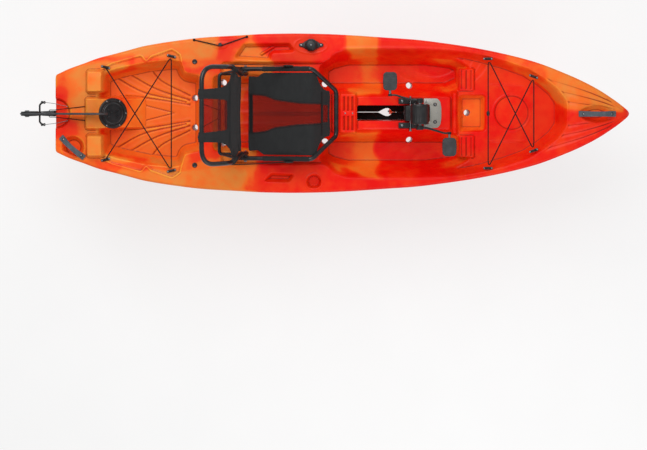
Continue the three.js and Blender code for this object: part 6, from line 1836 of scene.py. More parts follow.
@dataclass
class Steering:
    """The steering knob on the port side deck and the base it turns on."""
    finishes: Finishes
    lines: HullLines = field(default_factory=HullLines)
    place: tuple = (-164.0, 365.0)
    base_length: float = 130.0
    base_half: float = 28.0
    base_height: float = 8.0
    knob_radius: float = 34.0
    knob_height: float = 28.0
    screw_reach: float = 53.0

    def build(self) -> None:
        """Builds the base with its two open ears, its screws, and the ribbed knob."""
        x, y = self.place
        half = self.base_length / 2
        deck = float(np.max(self.lines.rim_at(np.array([x - half, x + half])))) + 0.3
        origin = np.array([x, y, deck])
        base = MeshBuilder()
        waist = 9.0
        quarter = [(half, 0), (half, waist * 0.7), (half - 6, waist), (half - 19, waist + 2),
                   (self.knob_radius * 0.9, self.base_half * 0.74), (self.knob_radius * 0.5, self.base_half)]
        outline = quarter[1:] + [(-px, py) for px, py in quarter[:0:-1]]
        outline += [(-px, -py) for px, py in quarter[1:]] + [(px, -py) for px, py in quarter[:0:-1]]
        slab(base, filleted(outline[::-1], 7.0, 4, closed=True), 0.0, self.base_height, 2.6,
             lambda p: origin + p)
        up = (0, 0, 1)
        turned(base, [(0, 6), (8.2, 6), (8.2, 17), (0, 17)], origin, up, 24)
        finished(base.build("knob_base"), "hull", self.finishes.black, ["steering_base"])
        screws = MeshBuilder()
        for side in (-1, 1):
            screw(screws, origin + [side * self.screw_reach, 0, self.base_height - 0.2], up, 4.6, 2.0)
        finished(screws.build("knob_base_screws"), "hull", self.finishes.steel)
        self.knob(origin)

    def knob(self, origin: Array) -> None:
        """The knob: a turned profile whose side is drawn in by shallow scallops, and a small screw on top."""
        low, r, h = self.base_height + 0.3, self.knob_radius, self.knob_height
        profile = np.array([(0, 0), (r * 0.96, 0), (r, 0.05 * h), (r, 0.4 * h), (r * 0.97, 0.52 * h),
                            (r * 0.88, 0.70 * h),
                            (r * 0.76, 0.84 * h), (r * 0.55, 0.94 * h), (r * 0.3, 0.985 * h),
                            (r * 0.16, 0.985 * h),
                            (r * 0.14, 0.93 * h), (0, 0.93 * h)])
        grid = revolve(profile, (0, 0, 0), (0, 0, 1), 96)
        angle = np.arctan2(grid[..., 1], grid[..., 0])
        share = np.hypot(grid[..., 0], grid[..., 1]) / r
        dent = 1 - 0.05 * (0.5 + 0.5 * np.cos(8 * angle)) ** 3 * smooth(share, 0.6, 0.95)
        grid = grid * np.stack([dent, dent, np.ones_like(dent)], -1) + origin + [0, 0, low]
        builder = MeshBuilder()
        builder.grid(grid, wrap_columns=True)
        finished(builder.build("knob"), "steering_knob", self.finishes.black, ["steering_knob"])
        top = MeshBuilder()
        screw(top, origin + [0, 0, low + 0.93 * h], (0, 0, 1), 4.0, 1.8)
        finished(top.build("knob_screw"), "steering_knob", self.finishes.steel)


@dataclass
class Rudder:
    """The flip-over rudder on the transom: bracket, housing, yoke, blade, cables and lift line."""
    finishes: Finishes
    lines: HullLines = field(default_factory=HullLines)
    transom: float = -1524.3
    pivot: float = -1590.0
    hub: float = 12.0
    width: float = 30.0
    low: float = 308.0
    high: float = 342.0
    lug: float = 7.0
    blade_pivot: tuple = (-1665.0, 371.0)
    head: float = 37.0
    blade_half: float = 5.0
    tip: float = -1235.0
    blade_top: float = 440.0
    blade_low: float = 357.0
    cheek_in: float = 5.3
    cheek_out: float = 11.3
    yoke_half: float = 59.0
    yoke_rod: float = 5.0
    yoke_height: float = 328.0
    cable: float = 1.5
    cable_x: float = -1459.0
    cable_y: float = 38.0
    line: float = 2.0

    @staticmethod
    def upright(points: Array) -> Array:
        """Puts a plate's own space (along, up, across) in the kayak's."""
        return np.asarray(points, float)[..., [0, 2, 1]]

    def build(self) -> None:
        """Builds every piece of the rudder."""
        self.bracket()
        self.housing()
        self.yoke()
        self.blade()
        self.lines_and_cables()

    def bracket(self) -> None:
        """Two lugs on a plate against the transom, with a rib each side and two bolts."""
        half = self.width / 2
        nose = np.array([(self.transom, half), (self.pivot, self.hub), (self.pivot - 9, self.hub * 0.72),
                         (self.pivot - self.hub, 0), (self.pivot - 9, -self.hub * 0.72),
                         (self.pivot, -self.hub),
                         (self.transom, -half)])
        builder = MeshBuilder()
        slab(builder, filleted(nose, 3.0, 3, closed=True), self.low, self.low + self.lug, 1.0)
        slab(builder, filleted(nose, 3.0, 3, closed=True), self.high - self.lug, self.high, 1.0)
        plate = Deck.block(self.transom - self.lug, self.transom, half, 2.0)
        slab(builder, plate, self.low - 40, self.high, 1.2)
        finished(builder.build("bracket"), "hull", self.finishes.black, ["rudder_bracket"])
        bolts = MeshBuilder()
        for height in (self.low - 28, self.low - 12):
            screw(bolts, np.array([self.transom - self.lug + 0.2, 0, height]), (-1, 0, 0), 5.0, 2.4)
        finished(bolts.build("bracket_bolts"), "hull", self.finishes.steel)

    def housing(self) -> None:
        """Two cheeks either side of the blade's head, joined by a web and the hub on the pivot pin."""
        x, z = self.blade_pivot
        reach = self.head * 0.86
        low, high = self.low + self.lug + 0.3, self.high - self.lug - 0.3
        corners = [(self.pivot - self.hub * 1.2, low), (self.pivot - self.hub * 1.2, high),
                   (self.pivot - self.hub * 2, z + reach * 0.5), (x + reach * 0.6, z + reach * 0.9),
                   (x - reach * 0.3, z + reach), (x - reach, z + reach * 0.3),
                   (x - reach * 0.8, z - reach * 0.7),
                   (x + reach * 0.4, low)]
        outline = filleted(corners, 9.0, 5, closed=True)
        builder = MeshBuilder()
        for side in (-1, 1):
            inner, outer = sorted((side * self.cheek_in, side * self.cheek_out))
            slab(builder, outline, inner, outer, 1.4, self.upright)
            rib = filleted([(self.pivot - 24, low + 4), (x + 4, low + 6), (x - 20, z - 12), (x - 8, z + 22),
                            (x + 22, z + 20)], 8.0, 4, closed=True)
            inner, outer = sorted((side * (self.cheek_out - 0.6), side * (self.cheek_out + 1.4)))
            slab(builder, rib, inner, outer, 0.8, self.upright)
        turned(builder, [(5.4, 0), (self.hub, 0), (self.hub, high - low), (5.4, high - low)],
               (self.pivot, 0, low),
               (0, 0, 1), 32, ring=True)
        web = Deck.block(self.pivot - self.hub * 2.2, self.pivot - 6, self.cheek_out, 3.0)
        slab(builder, web, low, low + self.hub, 1.0)
        finished(builder.build("housing"), "rudder_swivel", self.finishes.black,
                 ["rudder_housing"])

    def yoke(self) -> None:
        """The yoke: a bent rod with a clamp at each end."""
        x = self.pivot - self.hub * 1.5
        half, level = self.yoke_half, self.yoke_height
        side = [(self.pivot + self.hub, half), (x + self.hub, half), (x, half * 0.75)]
        route = [(px, -py, level) for px, py in side] + [(px, py, level) for px, py in side[::-1]]
        builder = MeshBuilder()
        tube(builder, evenly(filleted(route, 7.0, 5), 3.0), self.yoke_rod)
        for way in (-1, 1):
            for place in (self.pivot + self.hub - 5, self.pivot - 6):
                clamp = Deck.block(place - 4, place + 4, 7.5, 2.2, way * half)
                slab(builder, clamp, level - 7, level + 7.5, 1.4)
        finished(builder.build("yoke"), "rudder_swivel", self.finishes.black, ["rudder_yoke"])
        screws = MeshBuilder()
        for way in (-1, 1):
            screw(screws, np.array([self.pivot + self.hub - 5, way * half, level + 7.3]), (0, 0, 1), 3.2, 1.6)
        finished(screws.build("yoke_screws"), "rudder_swivel", self.finishes.steel)

    def blade(self) -> None:
        """The stowed blade: an upright plate from its round head to its rounded tip, thinner at its edges."""
        x, z = self.blade_pivot
        r = self.head
        angle = np.radians(np.linspace(90, 270, 25))
        head = np.stack([x + r * np.cos(angle), z + r * np.sin(angle)], 1)
        shoulder = self.tip - 320
        rest = [(shoulder - 46, self.blade_low - 6), (shoulder, self.blade_low),
                (self.tip - 34, self.blade_low),
                (self.tip - 8, self.blade_low + 9), (self.tip, self.blade_low + 34),
                (self.tip - 6, self.blade_top - 30),
                (self.tip - 38, self.blade_top - 4), (self.tip - 130, self.blade_top),
                (self.tip - 220, self.blade_top - 10),
                (shoulder, z + r)]
        outline = np.vstack([head, filleted(rest, 26.0, 5)])
        builder = MeshBuilder()
        slab(builder, outline, -self.blade_half, self.blade_half, 3.4, self.upright, 5)
        for side in (-1, 1):
            for low, high in ((self.blade_low + 22, self.blade_low + 26),
                              (self.blade_low + 48, self.blade_low + 52)):
                bar = filleted([(shoulder + 20, low), (self.tip - 70, low), (self.tip - 70, high),
                                (shoulder + 20, high)],
                               1.6, 3, closed=True)
                inner, outer = sorted((side * (self.blade_half - 1), side * (self.blade_half + 0.1)))
                slab(builder, bar, inner, outer, 0.5, self.upright, 2)
        finished(builder.build("blade"), "rudder_blade", self.finishes.blade, ["rudder_blade"])

    def lines_and_cables(self) -> None:
        """The two steering cables and the lift line, along their resting routes."""
        rim = float(self.lines.rim_at(np.array(-1524.0)))
        for side, name in ((1, "port"), (-1, "starboard")):
            tip = (self.pivot + self.hub + 0.8, side * self.yoke_half, self.yoke_height)
            edge_y = side * (self.cable_y + (self.yoke_half - self.cable_y) * 0.7)
            edge = (-1524 - self.cable * 2, edge_y, rim + self.cable * 2)
            deck = (self.cable_x, side * self.cable_y,
                    float(self.lines.deck_at(np.array(self.cable_x), np.array(self.cable_y))) + self.cable
                    + 0.3)
            builder = MeshBuilder()
            tube(builder, filleted([tip, edge, deck], 12.0, 5), self.cable, 10)
            turned(builder, [(0, -3), (3.2, -3), (3.6, 0), (2.2, 7), (0, 7)], deck, (0, 0, 1), 16)
            node = f"steering_cable_{name}"
            finished(builder.build(f"cable_{name}"), "hull", self.finishes.steel, [node])
        half = self.width / 2 + self.line * 2
        fore = float(self.lines.deck_at(np.array(-1366.0), np.array(self.cable_y))) + self.line * 2
        port = [(-1366, self.cable_y, fore), (-1526, half, rim + self.line * 2),
                (-1557, half, self.high - self.lug - self.line - 0.3)]
        route = port + [(x, -y, z) for x, y, z in port[::-1]]
        builder = MeshBuilder()
        tube(builder, evenly(filleted(route, 5.0, 5), 4.0), self.line, 10)
        finished(builder.build("lift_line"), "hull", self.finishes.cord, ["rudder_lift_line"])


# Seat

@dataclass
class SeatLines:
    """The routes of the seat's two tube frames."""
    tube_radius: float = 12.0
    rail_half: float = 237.0
    back_half: float = 211.0
    flare_half: float = 245.0
    flare: float = 446.0
    hinge: tuple = (-512.0, 346.0)
    knee: tuple = (-566.0, 575.0)
    bend: tuple = (-590.0, 645.0)
    top: tuple = (-706.0, 768.0)
    rail_top: tuple = (-158.0, 432.0)
    front_bar: tuple = (-30.0, 120.0, 290.0)
    foot_x: float = -568.0
    foot_z: float = 280.3
    bend_radius: float = 34.0
    corner_radius: float = 100.0

    def rail_height(self, x: Array | float) -> Array:
        """Height of the side rails: a straight line from the hinge to the rail's top."""
        return np.asarray(self.hinge[1] + (np.asarray(x, float) - self.hinge[0])
                          * (self.rail_top[1] - self.hinge[1]) / (self.rail_top[0] - self.hinge[0]))

    def upright_at(self, z: Array | float) -> Array:
        """Place along the hull of the back's uprights at a height."""
        places = (self.hinge, self.knee, self.bend, self.top)
        return np.interp(z, [p[1] for p in places], [p[0] for p in places])

    def half_at(self, z: Array | float) -> Array:
        """Half breadth of the back at a height: straight, then flared out to the knee."""
        share = np.clip((np.asarray(z, float) - self.flare) / (self.knee[1] - self.flare), 0, 1)
        return self.back_half + (self.flare_half - self.back_half) * share

    @staticmethod
    def both(points: Sequence[Point]) -> list[Point]:
        """A port route carried on to starboard, in reverse."""
        return [*points, *[(x, -y, z) for x, y, z in points[::-1]]]


@dataclass
class SeatFrame:
    """The two tube frames with their feet, the rear brace, its stays and the hinge plates."""
    finishes: Finishes
    lines: SeatLines = field(default_factory=SeatLines)
    brace_x: float = -645.0
    brace_z: float = 422.0
    brace_root: float = 510.0
    hinge_washer: tuple = ((0, -2.5), (16, -2.5), (17, 0), (16, 2.5), (0, 2.5))

    def build(self) -> None:
        """Builds the base frame and the back frame."""
        s = self.lines
        r = s.tube_radius
        aft = s.hinge[0] - r
        route = s.both([(s.foot_x, s.rail_half, s.foot_z + r), (aft, s.rail_half, float(s.rail_height(aft))),
                        (s.rail_top[0], s.rail_half, s.rail_top[1]), s.front_bar])
        base = MeshBuilder()
        tube(base, evenly(filleted(route, s.bend_radius, 8), 7.0), r, 20, (0.7, 0, 0.7))
        for side in (-1, 1):
            foot = Deck.block(s.foot_x - r * 1.6, s.foot_x + r * 1.4, r + 1, 5.0, side * s.rail_half)
            slab(base, foot, s.foot_z, s.foot_z + r * 2 + 1.5, 3.0)
            turned(base, self.hinge_washer,
                   (s.hinge[0], side * (s.rail_half - r - 0.6), s.hinge[1]), (0, 1, 0), 28)
        finished(base.build("base_tubes"), "hull", self.finishes.frame, ["seat_base_frame"])
        self.back()

    def back(self) -> None:
        """The back's hoop, its rear brace and the two stays."""
        s = self.lines
        start = (s.hinge[0] + s.tube_radius / 3, s.back_half, s.hinge[1] - s.tube_radius * 1.4)
        flare = (float(s.upright_at(s.flare)), s.back_half, s.flare)
        upper = [(p[0], s.flare_half, p[1]) for p in (s.knee, s.bend, s.top)]
        bends = [s.bend_radius] * 4 + [s.corner_radius]
        hoop = filleted(s.both([start, flare, *upper]), bends + bends[::-1], 10)
        builder = MeshBuilder()
        tube(builder, evenly(hoop, 7.0), s.tube_radius, 20, (1, 0, 1))
        root = float(s.upright_at(self.brace_z))
        brace = s.both([(root, s.back_half, self.brace_z), (self.brace_x, s.back_half, self.brace_z)])
        tube(builder, evenly(filleted(brace, 18.0, 6), 6.0), s.tube_radius * 0.75, 16)
        for side in (-1, 1):
            foot = (self.brace_x + s.tube_radius, side * s.back_half, self.brace_z)
            head = (float(s.upright_at(self.brace_root)), side * float(s.half_at(self.brace_root)),
                    self.brace_root)
            tube(builder, evenly([foot, head], 10.0), s.tube_radius * 0.6, 12)
            turned(builder, [(0, -4), (13.6, -4), (14.6, 0), (13.6, 4), (0, 4)],
                   (root, side * s.back_half, self.brace_z), (0, 0, 1), 24)
        finished(builder.build("back_tubes"), "seat_back", self.finishes.frame,
                 ["seat_back_frame"])


@dataclass
class Cloth:
    """A pressure simulation that swells a padded form a little, and the seams drawn in afterwards."""
    pressure: float = 4.0
    frames: int = 20
    cap: float = 5.0

    def swell(self, piece: bpy.types.Object) -> None:
        """Swells the form as cloth under pressure, keeps each point within the cap, and subdivides it once.

        Args:
            piece: the form, whose mesh is replaced.
        """
        self.simulate(piece)
        finer = piece.modifiers.new("finer", "SUBSURF")
        finer.levels = finer.render_levels = 1
        self.keep(piece)

    def simulate(self, piece: bpy.types.Object) -> None:
        """Runs the cloth for its frames, from the form at rest, without gravity."""
        rest = self.places(piece)
        cloth = piece.modifiers.new("cloth", "CLOTH")
        cloth.settings.use_pressure = True
        cloth.settings.uniform_pressure_force = self.pressure
        cloth.settings.effector_weights.gravity = 0
        cloth.settings.quality = 4
        scene = bpy.context.scene
        for frame_number in range(1, self.frames + 1):
            scene.frame_set(frame_number)
        self.keep(piece)
        move = self.places(piece) - rest
        far = np.linalg.norm(move, axis=1, keepdims=True)
        capped = rest + move * np.minimum(1.0, self.cap / np.maximum(far, 1e-6))
        piece.data.vertices.foreach_set("co", (capped * MM).astype(np.float32).ravel())
        piece.data.update()
        scene.frame_set(1)

    @staticmethod
    def keep(piece: bpy.types.Object) -> None:
        """Puts the result of the piece's modifiers in its mesh, and takes them off."""
        graph = bpy.context.evaluated_depsgraph_get()
        mesh = bpy.data.meshes.new_from_object(piece.evaluated_get(graph), depsgraph=graph)
        piece.modifiers.clear()
        piece.data = mesh

    @staticmethod
    def places(piece: bpy.types.Object, what: str = "co") -> Array:
        """The points' places in millimetres, or their normals."""
        values = np.empty(len(piece.data.vertices) * 3, np.float32)
        if what == "co":
            piece.data.vertices.foreach_get("co", values)
            return values.reshape(-1, 3) / MM
        piece.data.vertices.foreach_get("normal", values)
        return values.reshape(-1, 3)

    def sew(self, piece: bpy.types.Object, push: Callable[[Array], Array]) -> None:
        """Moves the points along their normals: inward for a seam, and outward for a webbing band.

        Args:
            piece: the pad.
            push: gives the move at each place.
        """
        places = self.places(piece)
        moved = places + self.places(piece, "normal") * push(places)[:, None]
        piece.data.vertices.foreach_set("co", (moved * MM).astype(np.float32).ravel())
        piece.data.update()

    def dress(self, piece: bpy.types.Object, along: Callable[[Array], Array],
              panel: Callable[[Array], Array] | None = None,
              band: Callable[[Array], Array] | None = None) -> None:
        """Gives the piece its weave map in metres, its open mesh and webbing fields, and smooth faces.

        Args:
            piece: the pad.
            along: gives the distance along the cloth at each place; across is Y.
            panel: where it is open mesh, from 0 to 1, or nowhere.
            band: where it is webbing, from 0 to 1, or nowhere.
        """
        mesh = piece.data
        places = self.places(piece)
        layer = mesh.uv_layers.new(name="weave")
        corner = np.empty(len(mesh.loops), np.int32)
        mesh.loops.foreach_get("vertex_index", corner)
        pairs = np.stack([places[:, 1], along(places)], 1) * MM
        layer.data.foreach_set("uv", pairs[corner].astype(np.float32).ravel())
        for name, field_at in (("panel", panel), ("band", band)):
            attribute = mesh.attributes.new(name, "FLOAT", "POINT")
            level = field_at(places) if field_at else np.zeros(len(places))
            attribute.data.foreach_set("value", level.astype(np.float32))
        mesh.polygons.foreach_set("use_smooth", np.ones(len(mesh.polygons), bool))


def bar_field(value: Array, low: float, high: float, edge: float) -> Array:
    """One between two levels and zero outside them, with an edge so wide."""
    return smooth(value, low - edge / 2, low + edge / 2) * smooth(-value, -high - edge / 2, -high + edge / 2)


def pad(builder: MeshBuilder, line: Array, half: Array, thickness: float, sag: float,
        columns: int = 61) -> None:
    """Adds a thin padded form along a line in the middle plane.

    Across it, the middle sinks by the sag times one less the square of the share, and the thickness falls
    to nothing at the edges with the root of one less the share's eighth power.

    Args:
        builder: where it is added.
        line: x and z of the middle line.
        half: half breadth at each point of the line.
        thickness: thickness at the middle.
        sag: how far the middle sinks, away from the sitter.
        columns: points across each face.
    """
    ahead = np.gradient(line, axis=0)
    ahead /= np.linalg.norm(ahead, axis=1, keepdims=True)
    normal = np.stack([-ahead[:, 1], ahead[:, 0]], 1)
    share = np.sin(np.linspace(-math.pi / 2, math.pi / 2, columns))
    thick = thickness / 2 * np.sqrt(1 - share**8)
    sink = -sag * (1 - share**2)
    w = np.concatenate([share, share[-2:0:-1]])
    lift = np.concatenate([sink + thick, (sink - thick)[-2:0:-1]])
    x = line[:, :1] + normal[:, :1] * lift
    z = line[:, 1:] + normal[:, 1:] * lift
    builder.grid(np.stack([x, half[:, None] * w, z], -1), wrap_columns=True, ends=True)


@dataclass
class SeatCovers:
    """The seat's padded cover and the back's: charcoal cloth, dark red mesh partly painted as the shaded hull
    seen through it, webbing bands and seams.
    """
    finishes: Finishes
    lines: SeatLines = field(default_factory=SeatLines)
    cloth: Cloth = field(default_factory=Cloth)
    thickness: float = 8.0
    sag: float = 10.0
    seat_line: tuple = ((-503.0, 348.2), (-158.0, 432.0), (-60.0, 322.0))
    seat_halves: tuple = ((-504, 198), (-452, 198), (-430, 212), (-412, 222), (-158, 222), (-138, 215),
                          (-127, 190),
                          (-108, 150), (-84, 127), (-60, 119))
    back_halves: tuple = ((412, 198), (446, 198), (500, 214), (540, 225), (572, 214), (600, 192), (625, 168),
                          (652, 152))
    panel_halves: tuple = ((-510, 99), (-476, 99), (-411, 93), (-350, 72), (-280, 62), (-224, 55), (-108, 50))
    rear_band: tuple = (-493.0, -473.0)
    front_band: tuple = (-111.0, -103.0)
    front_patch: tuple = (-100.0, -76.0, 45.0)
    strip_aft: float = -512.0
    band_half: float = 99.5
    middle_seams: tuple = (4.0, 8.0)
    rim_width: float = 9.0
    mark_edge: float = 2.0
    seam_depth: float = 1.8
    seam_width: float = 2.6
    side_seam: float = 100.0
    back_fold: tuple = (612.0, 618.0, 652.0)
    wing_wrap: float = 205.0
    wing_overlap: float = 14.0
    wing_inner: tuple = ((636, 60), (650, 75), (700, 81), (768, 84))
    wing_outer: tuple = ((636, 161), (650, 152), (685, 139), (768, 133))
    wing_thickness: float = 5.0

    def build(self) -> None:
        """Builds the two pads, the back's wings and window, and the sleeves that hold them to the tubes."""
        self.seat()
        self.back()
        self.wings()
        self.window()
        self.sleeves()

    def panel_at(self, places: Array) -> Array:
        """The seat's red panel: inside its tapering edges, but for the bands that cross it."""
        x, side = places[:, 0], np.abs(places[:, 1])
        px, py = np.array(self.panel_halves, float).T
        inside = smooth(-(side - monotone(px, py, x)), -2 * self.mark_edge, 2 * self.mark_edge)
        aft, fore, half = self.front_patch
        patch = bar_field(x, aft, fore, self.mark_edge) * bar_field(side, -half, half, 2 * self.mark_edge)
        strip = bar_field(x, self.strip_aft, self.rear_band[0], self.mark_edge)
        main = bar_field(x, self.rear_band[1], self.front_band[0], self.mark_edge)
        return inside * (strip + main) + patch * (x > self.front_band[0])

    def band_at(self, places: Array) -> Array:
        """The seat's webbing: a band before the hinge, one near the front, and two thin ones along the middle."""
        x, side = places[:, 0], np.abs(places[:, 1])
        px, py = np.array(self.panel_halves, float).T
        edge = monotone(px, py, x)
        rear = bar_field(x, *self.rear_band, self.mark_edge) * bar_field(side, -self.band_half,
                                                                         self.band_half, 3)
        front = bar_field(x, *self.front_band, self.mark_edge) * (side < self.seat_halves[-1][1] - 3)
        rim = bar_field(side - edge, 0, self.rim_width, self.mark_edge)
        rim = rim * bar_field(x, self.strip_aft + 7, self.front_band[0], 3)
        thin = bar_field(side, *self.middle_seams, 1.5) * bar_field(x, self.rear_band[1], self.front_band[0],
                                                                    2)
        return np.clip(rear + front + rim * 0.6 + thin, 0, 1)

    def seat(self) -> None:
        """The seat's cover, taut between the rails and down to the front bar."""
        line = evenly(filleted(self.seat_line, 36.0, 12), 8.0)
        x, h = np.array(self.seat_halves, float).T
        builder = MeshBuilder()
        pad(builder, line, monotone(x, h, line[:, 0]), self.thickness, self.sag)
        piece = builder.build("seat_pad", sharp=None)
        self.cloth.swell(piece)
        px, py = np.array(self.panel_halves, float).T

        def push(places: Array) -> Array:
            """Seams beside the panel and at the front edge, raised bands, and soft creases at the corners."""
            side = np.abs(places[:, 1])
            off = side - monotone(px, py, places[:, 0])
            seam = -self.seam_depth * np.exp(-((off - self.rim_width - 2) / self.seam_width) ** 2)
            seam = seam - self.seam_depth * 2 / 3 * np.exp(-((places[:, 0] + 66) / self.seam_width) ** 2)
            crease = clouds(places * [1, 0.45, 1], 46, 5) * 1.6 * smooth(side, 100, 130)
            return seam + 0.9 * self.band_at(places) + crease * smooth(-side, -222, -190)

        self.cloth.sew(piece, push)
        self.cloth.dress(piece, lambda p: p[:, 0] + p[:, 2], self.panel_at, self.band_at)
        finished(piece, "hull", self.finishes.fabric, ["seat_cover"])

    def back(self) -> None:
        """The back's lower cover, hung between the uprights."""
        z = np.linspace(413, 651, 32)
        line = np.stack([self.lines.upright_at(z), z], 1)
        line[:, 0] = np.convolve(np.pad(line[:, 0], 4, "edge"), np.ones(9) / 9, "valid")
        levels, halves = np.array(self.back_halves, float).T
        builder = MeshBuilder()
        pad(builder, line, monotone(levels, halves, z), self.thickness + 1, -self.sag)
        piece = builder.build("back_pad", sharp=None)
        self.cloth.swell(piece)

        def push(places: Array) -> Array:
            """Two cross seams, a seam inside each side, and creases that run to the corners."""
            height, side = places[:, 2], np.abs(places[:, 1])
            seam = -self.seam_depth * np.exp(-((height - self.back_fold[0]) / self.seam_width) ** 2)
            seam = seam - self.seam_depth * 7 / 9 * np.exp(-((height - 440) / self.seam_width) ** 2)
            crease = clouds(places * [1, 0.4, 1], 52, 8) * 2.2 * smooth(side, 90, 140)
            down = np.exp(-((side - self.side_seam) / self.seam_width) ** 2) * (height < self.back_fold[0])
            return seam - self.seam_depth * 7 / 9 * down + crease

        self.cloth.sew(piece, push)

        def band(places: Array) -> Array:
            """The band of webbing across the back's fold."""
            return bar_field(places[:, 2], *self.back_fold[1:], 3) * (np.abs(places[:, 1]) < self.side_seam)

        self.cloth.dress(piece, lambda p: p[:, 2], None, band)
        finished(piece, "seat_back", self.finishes.fabric, ["back_cover"])

    def ribbon(self, name: str, path: Array, low: Array, high: Array, thickness: float) -> bpy.types.Object:
        """A flat piece of cloth along a path in the middle plane, between two edges.

        Args:
            name: the piece's name.
            path: x and z of its middle.
            low: starboard edge at each point.
            high: port edge at each point.
            thickness: its thickness.

        Returns:
            The piece.
        """
        ahead = np.gradient(path, axis=0)
        ahead /= np.linalg.norm(ahead, axis=1, keepdims=True)
        normal = np.stack([-ahead[:, 1], ahead[:, 0]], 1)
        t = np.linspace(0, 1, 25)
        face = np.sqrt(1 - (2 * t - 1) ** 6) * thickness / 2
        wave = 1.4 * np.sin(t * math.pi * 3)
        t = np.concatenate([t, t[-2:0:-1]])
        lift = np.concatenate([face + wave, (wave - face)[-2:0:-1]])
        y = low[:, None] + (high - low)[:, None] * t
        grid = np.stack([path[:, :1] + normal[:, :1] * lift, y, path[:, 1:] + normal[:, 1:] * lift], -1)
        builder = MeshBuilder()
        builder.grid(grid, wrap_columns=True, ends=True)
        return builder.build(name)

    def wings(self) -> None:
        """The two wings of the back's cover, from the lower cover up to the top bar and round it."""
        s = self.lines
        bar = np.array(s.top)
        slope = np.array(s.top) - np.array(s.bend)
        slope = slope / np.linalg.norm(slope)
        out = np.array([slope[1], -slope[0]])
        reach = s.tube_radius + self.wing_thickness / 2 + 0.8
        bend = np.array(s.bend)
        straight = bend - slope * self.wing_overlap + np.linspace(0, 1, 34)[:, None] * (bar - bend)
        share = smooth(np.linspace(0, 1, 34), 0.55, 1.0)[:, None]
        straight = straight + out * reach * share + slope * self.wing_overlap * np.linspace(0, 1, 34)[:, None]
        turn = math.atan2(out[1], out[0]) + np.linspace(0, math.radians(self.wing_wrap), 26)[1:]
        wrap = bar + reach * np.stack([np.cos(turn), np.sin(turn)], 1)
        path = evenly(np.vstack([straight, wrap]), 4.5)
        run = np.linspace(0, 1, len(path))
        height = np.clip(636 + run * 190, 636, 768)
        inner = monotone(*np.array(self.wing_inner, float).T, height)
        outer = monotone(*np.array(self.wing_outer, float).T, height)
        length = float(np.linalg.norm(np.diff(path, axis=0), axis=1).sum())
        for side, name in ((1, "port"), (-1, "starboard")):
            low, high = (inner, outer) if side > 0 else (-outer, -inner)
            piece = self.ribbon(f"back_wing_{name}", path, low, high, self.wing_thickness)
            self.cloth.dress(piece, lambda p: p[:, 2])
            finished(piece, "seat_back", self.finishes.fabric, ["back_cover"])

    def window(self) -> None:
        """The open mesh between the wings, sewn to the top bar and to the lower cover."""
        s = self.lines
        z = np.linspace(640, 757, 40)
        path = np.stack([s.upright_at(z), z], 1)
        half = monotone(*np.array(self.wing_inner, float).T, z) + 3.0
        piece = self.ribbon("back_window", path, -half, half, 1.2)
        self.cloth.dress(piece, lambda p: p[:, 2], lambda p: np.ones(len(p)))
        finished(piece, "seat_back", self.finishes.fabric, ["back_cover"])
        length = float(np.linalg.norm(np.diff(path, axis=0), axis=1).sum())

    def sleeves(self) -> None:
        """Cloth sleeves round the rails and the uprights, where the covers are laced on."""
        s = self.lines
        rail_x = np.linspace(-418, -172, 50)
        z = np.linspace(512, 592, 24)
        for side, name in ((1, "port"), (-1, "starboard")):
            rail = np.stack([rail_x, np.full_like(rail_x, side * s.rail_half), s.rail_height(rail_x)], 1)
            upright = np.stack([s.upright_at(z), side * s.half_at(z), z], 1)
            for path, body, node, kind in ((rail, "hull", "seat_cover", "rail"),
                                           (upright, "seat_back", "back_cover", "back")):
                run = np.linspace(0, 1, len(path))
                ruffle = 1 + 0.025 * np.sin(run * 37) + 0.02 * np.sin(run * 91)
                up = (0.6, 0, 0.8) if kind == "rail" else (1, 0, 0)
                outer = sweep(path, circle(s.tube_radius + 1.5, 24), up, ruffle)
                inner = sweep(path, circle(s.tube_radius + 0.3, 24), up)
                builder = MeshBuilder()
                builder.grid(np.concatenate([outer, inner[::-1]]), wrap_rows=True, wrap_columns=True)
                piece = builder.build(f"sleeve_{kind}_{name}")
                self.cloth.dress(piece, lambda p: p[:, 0] + p[:, 2])
                finished(piece, body, self.finishes.fabric, [node])


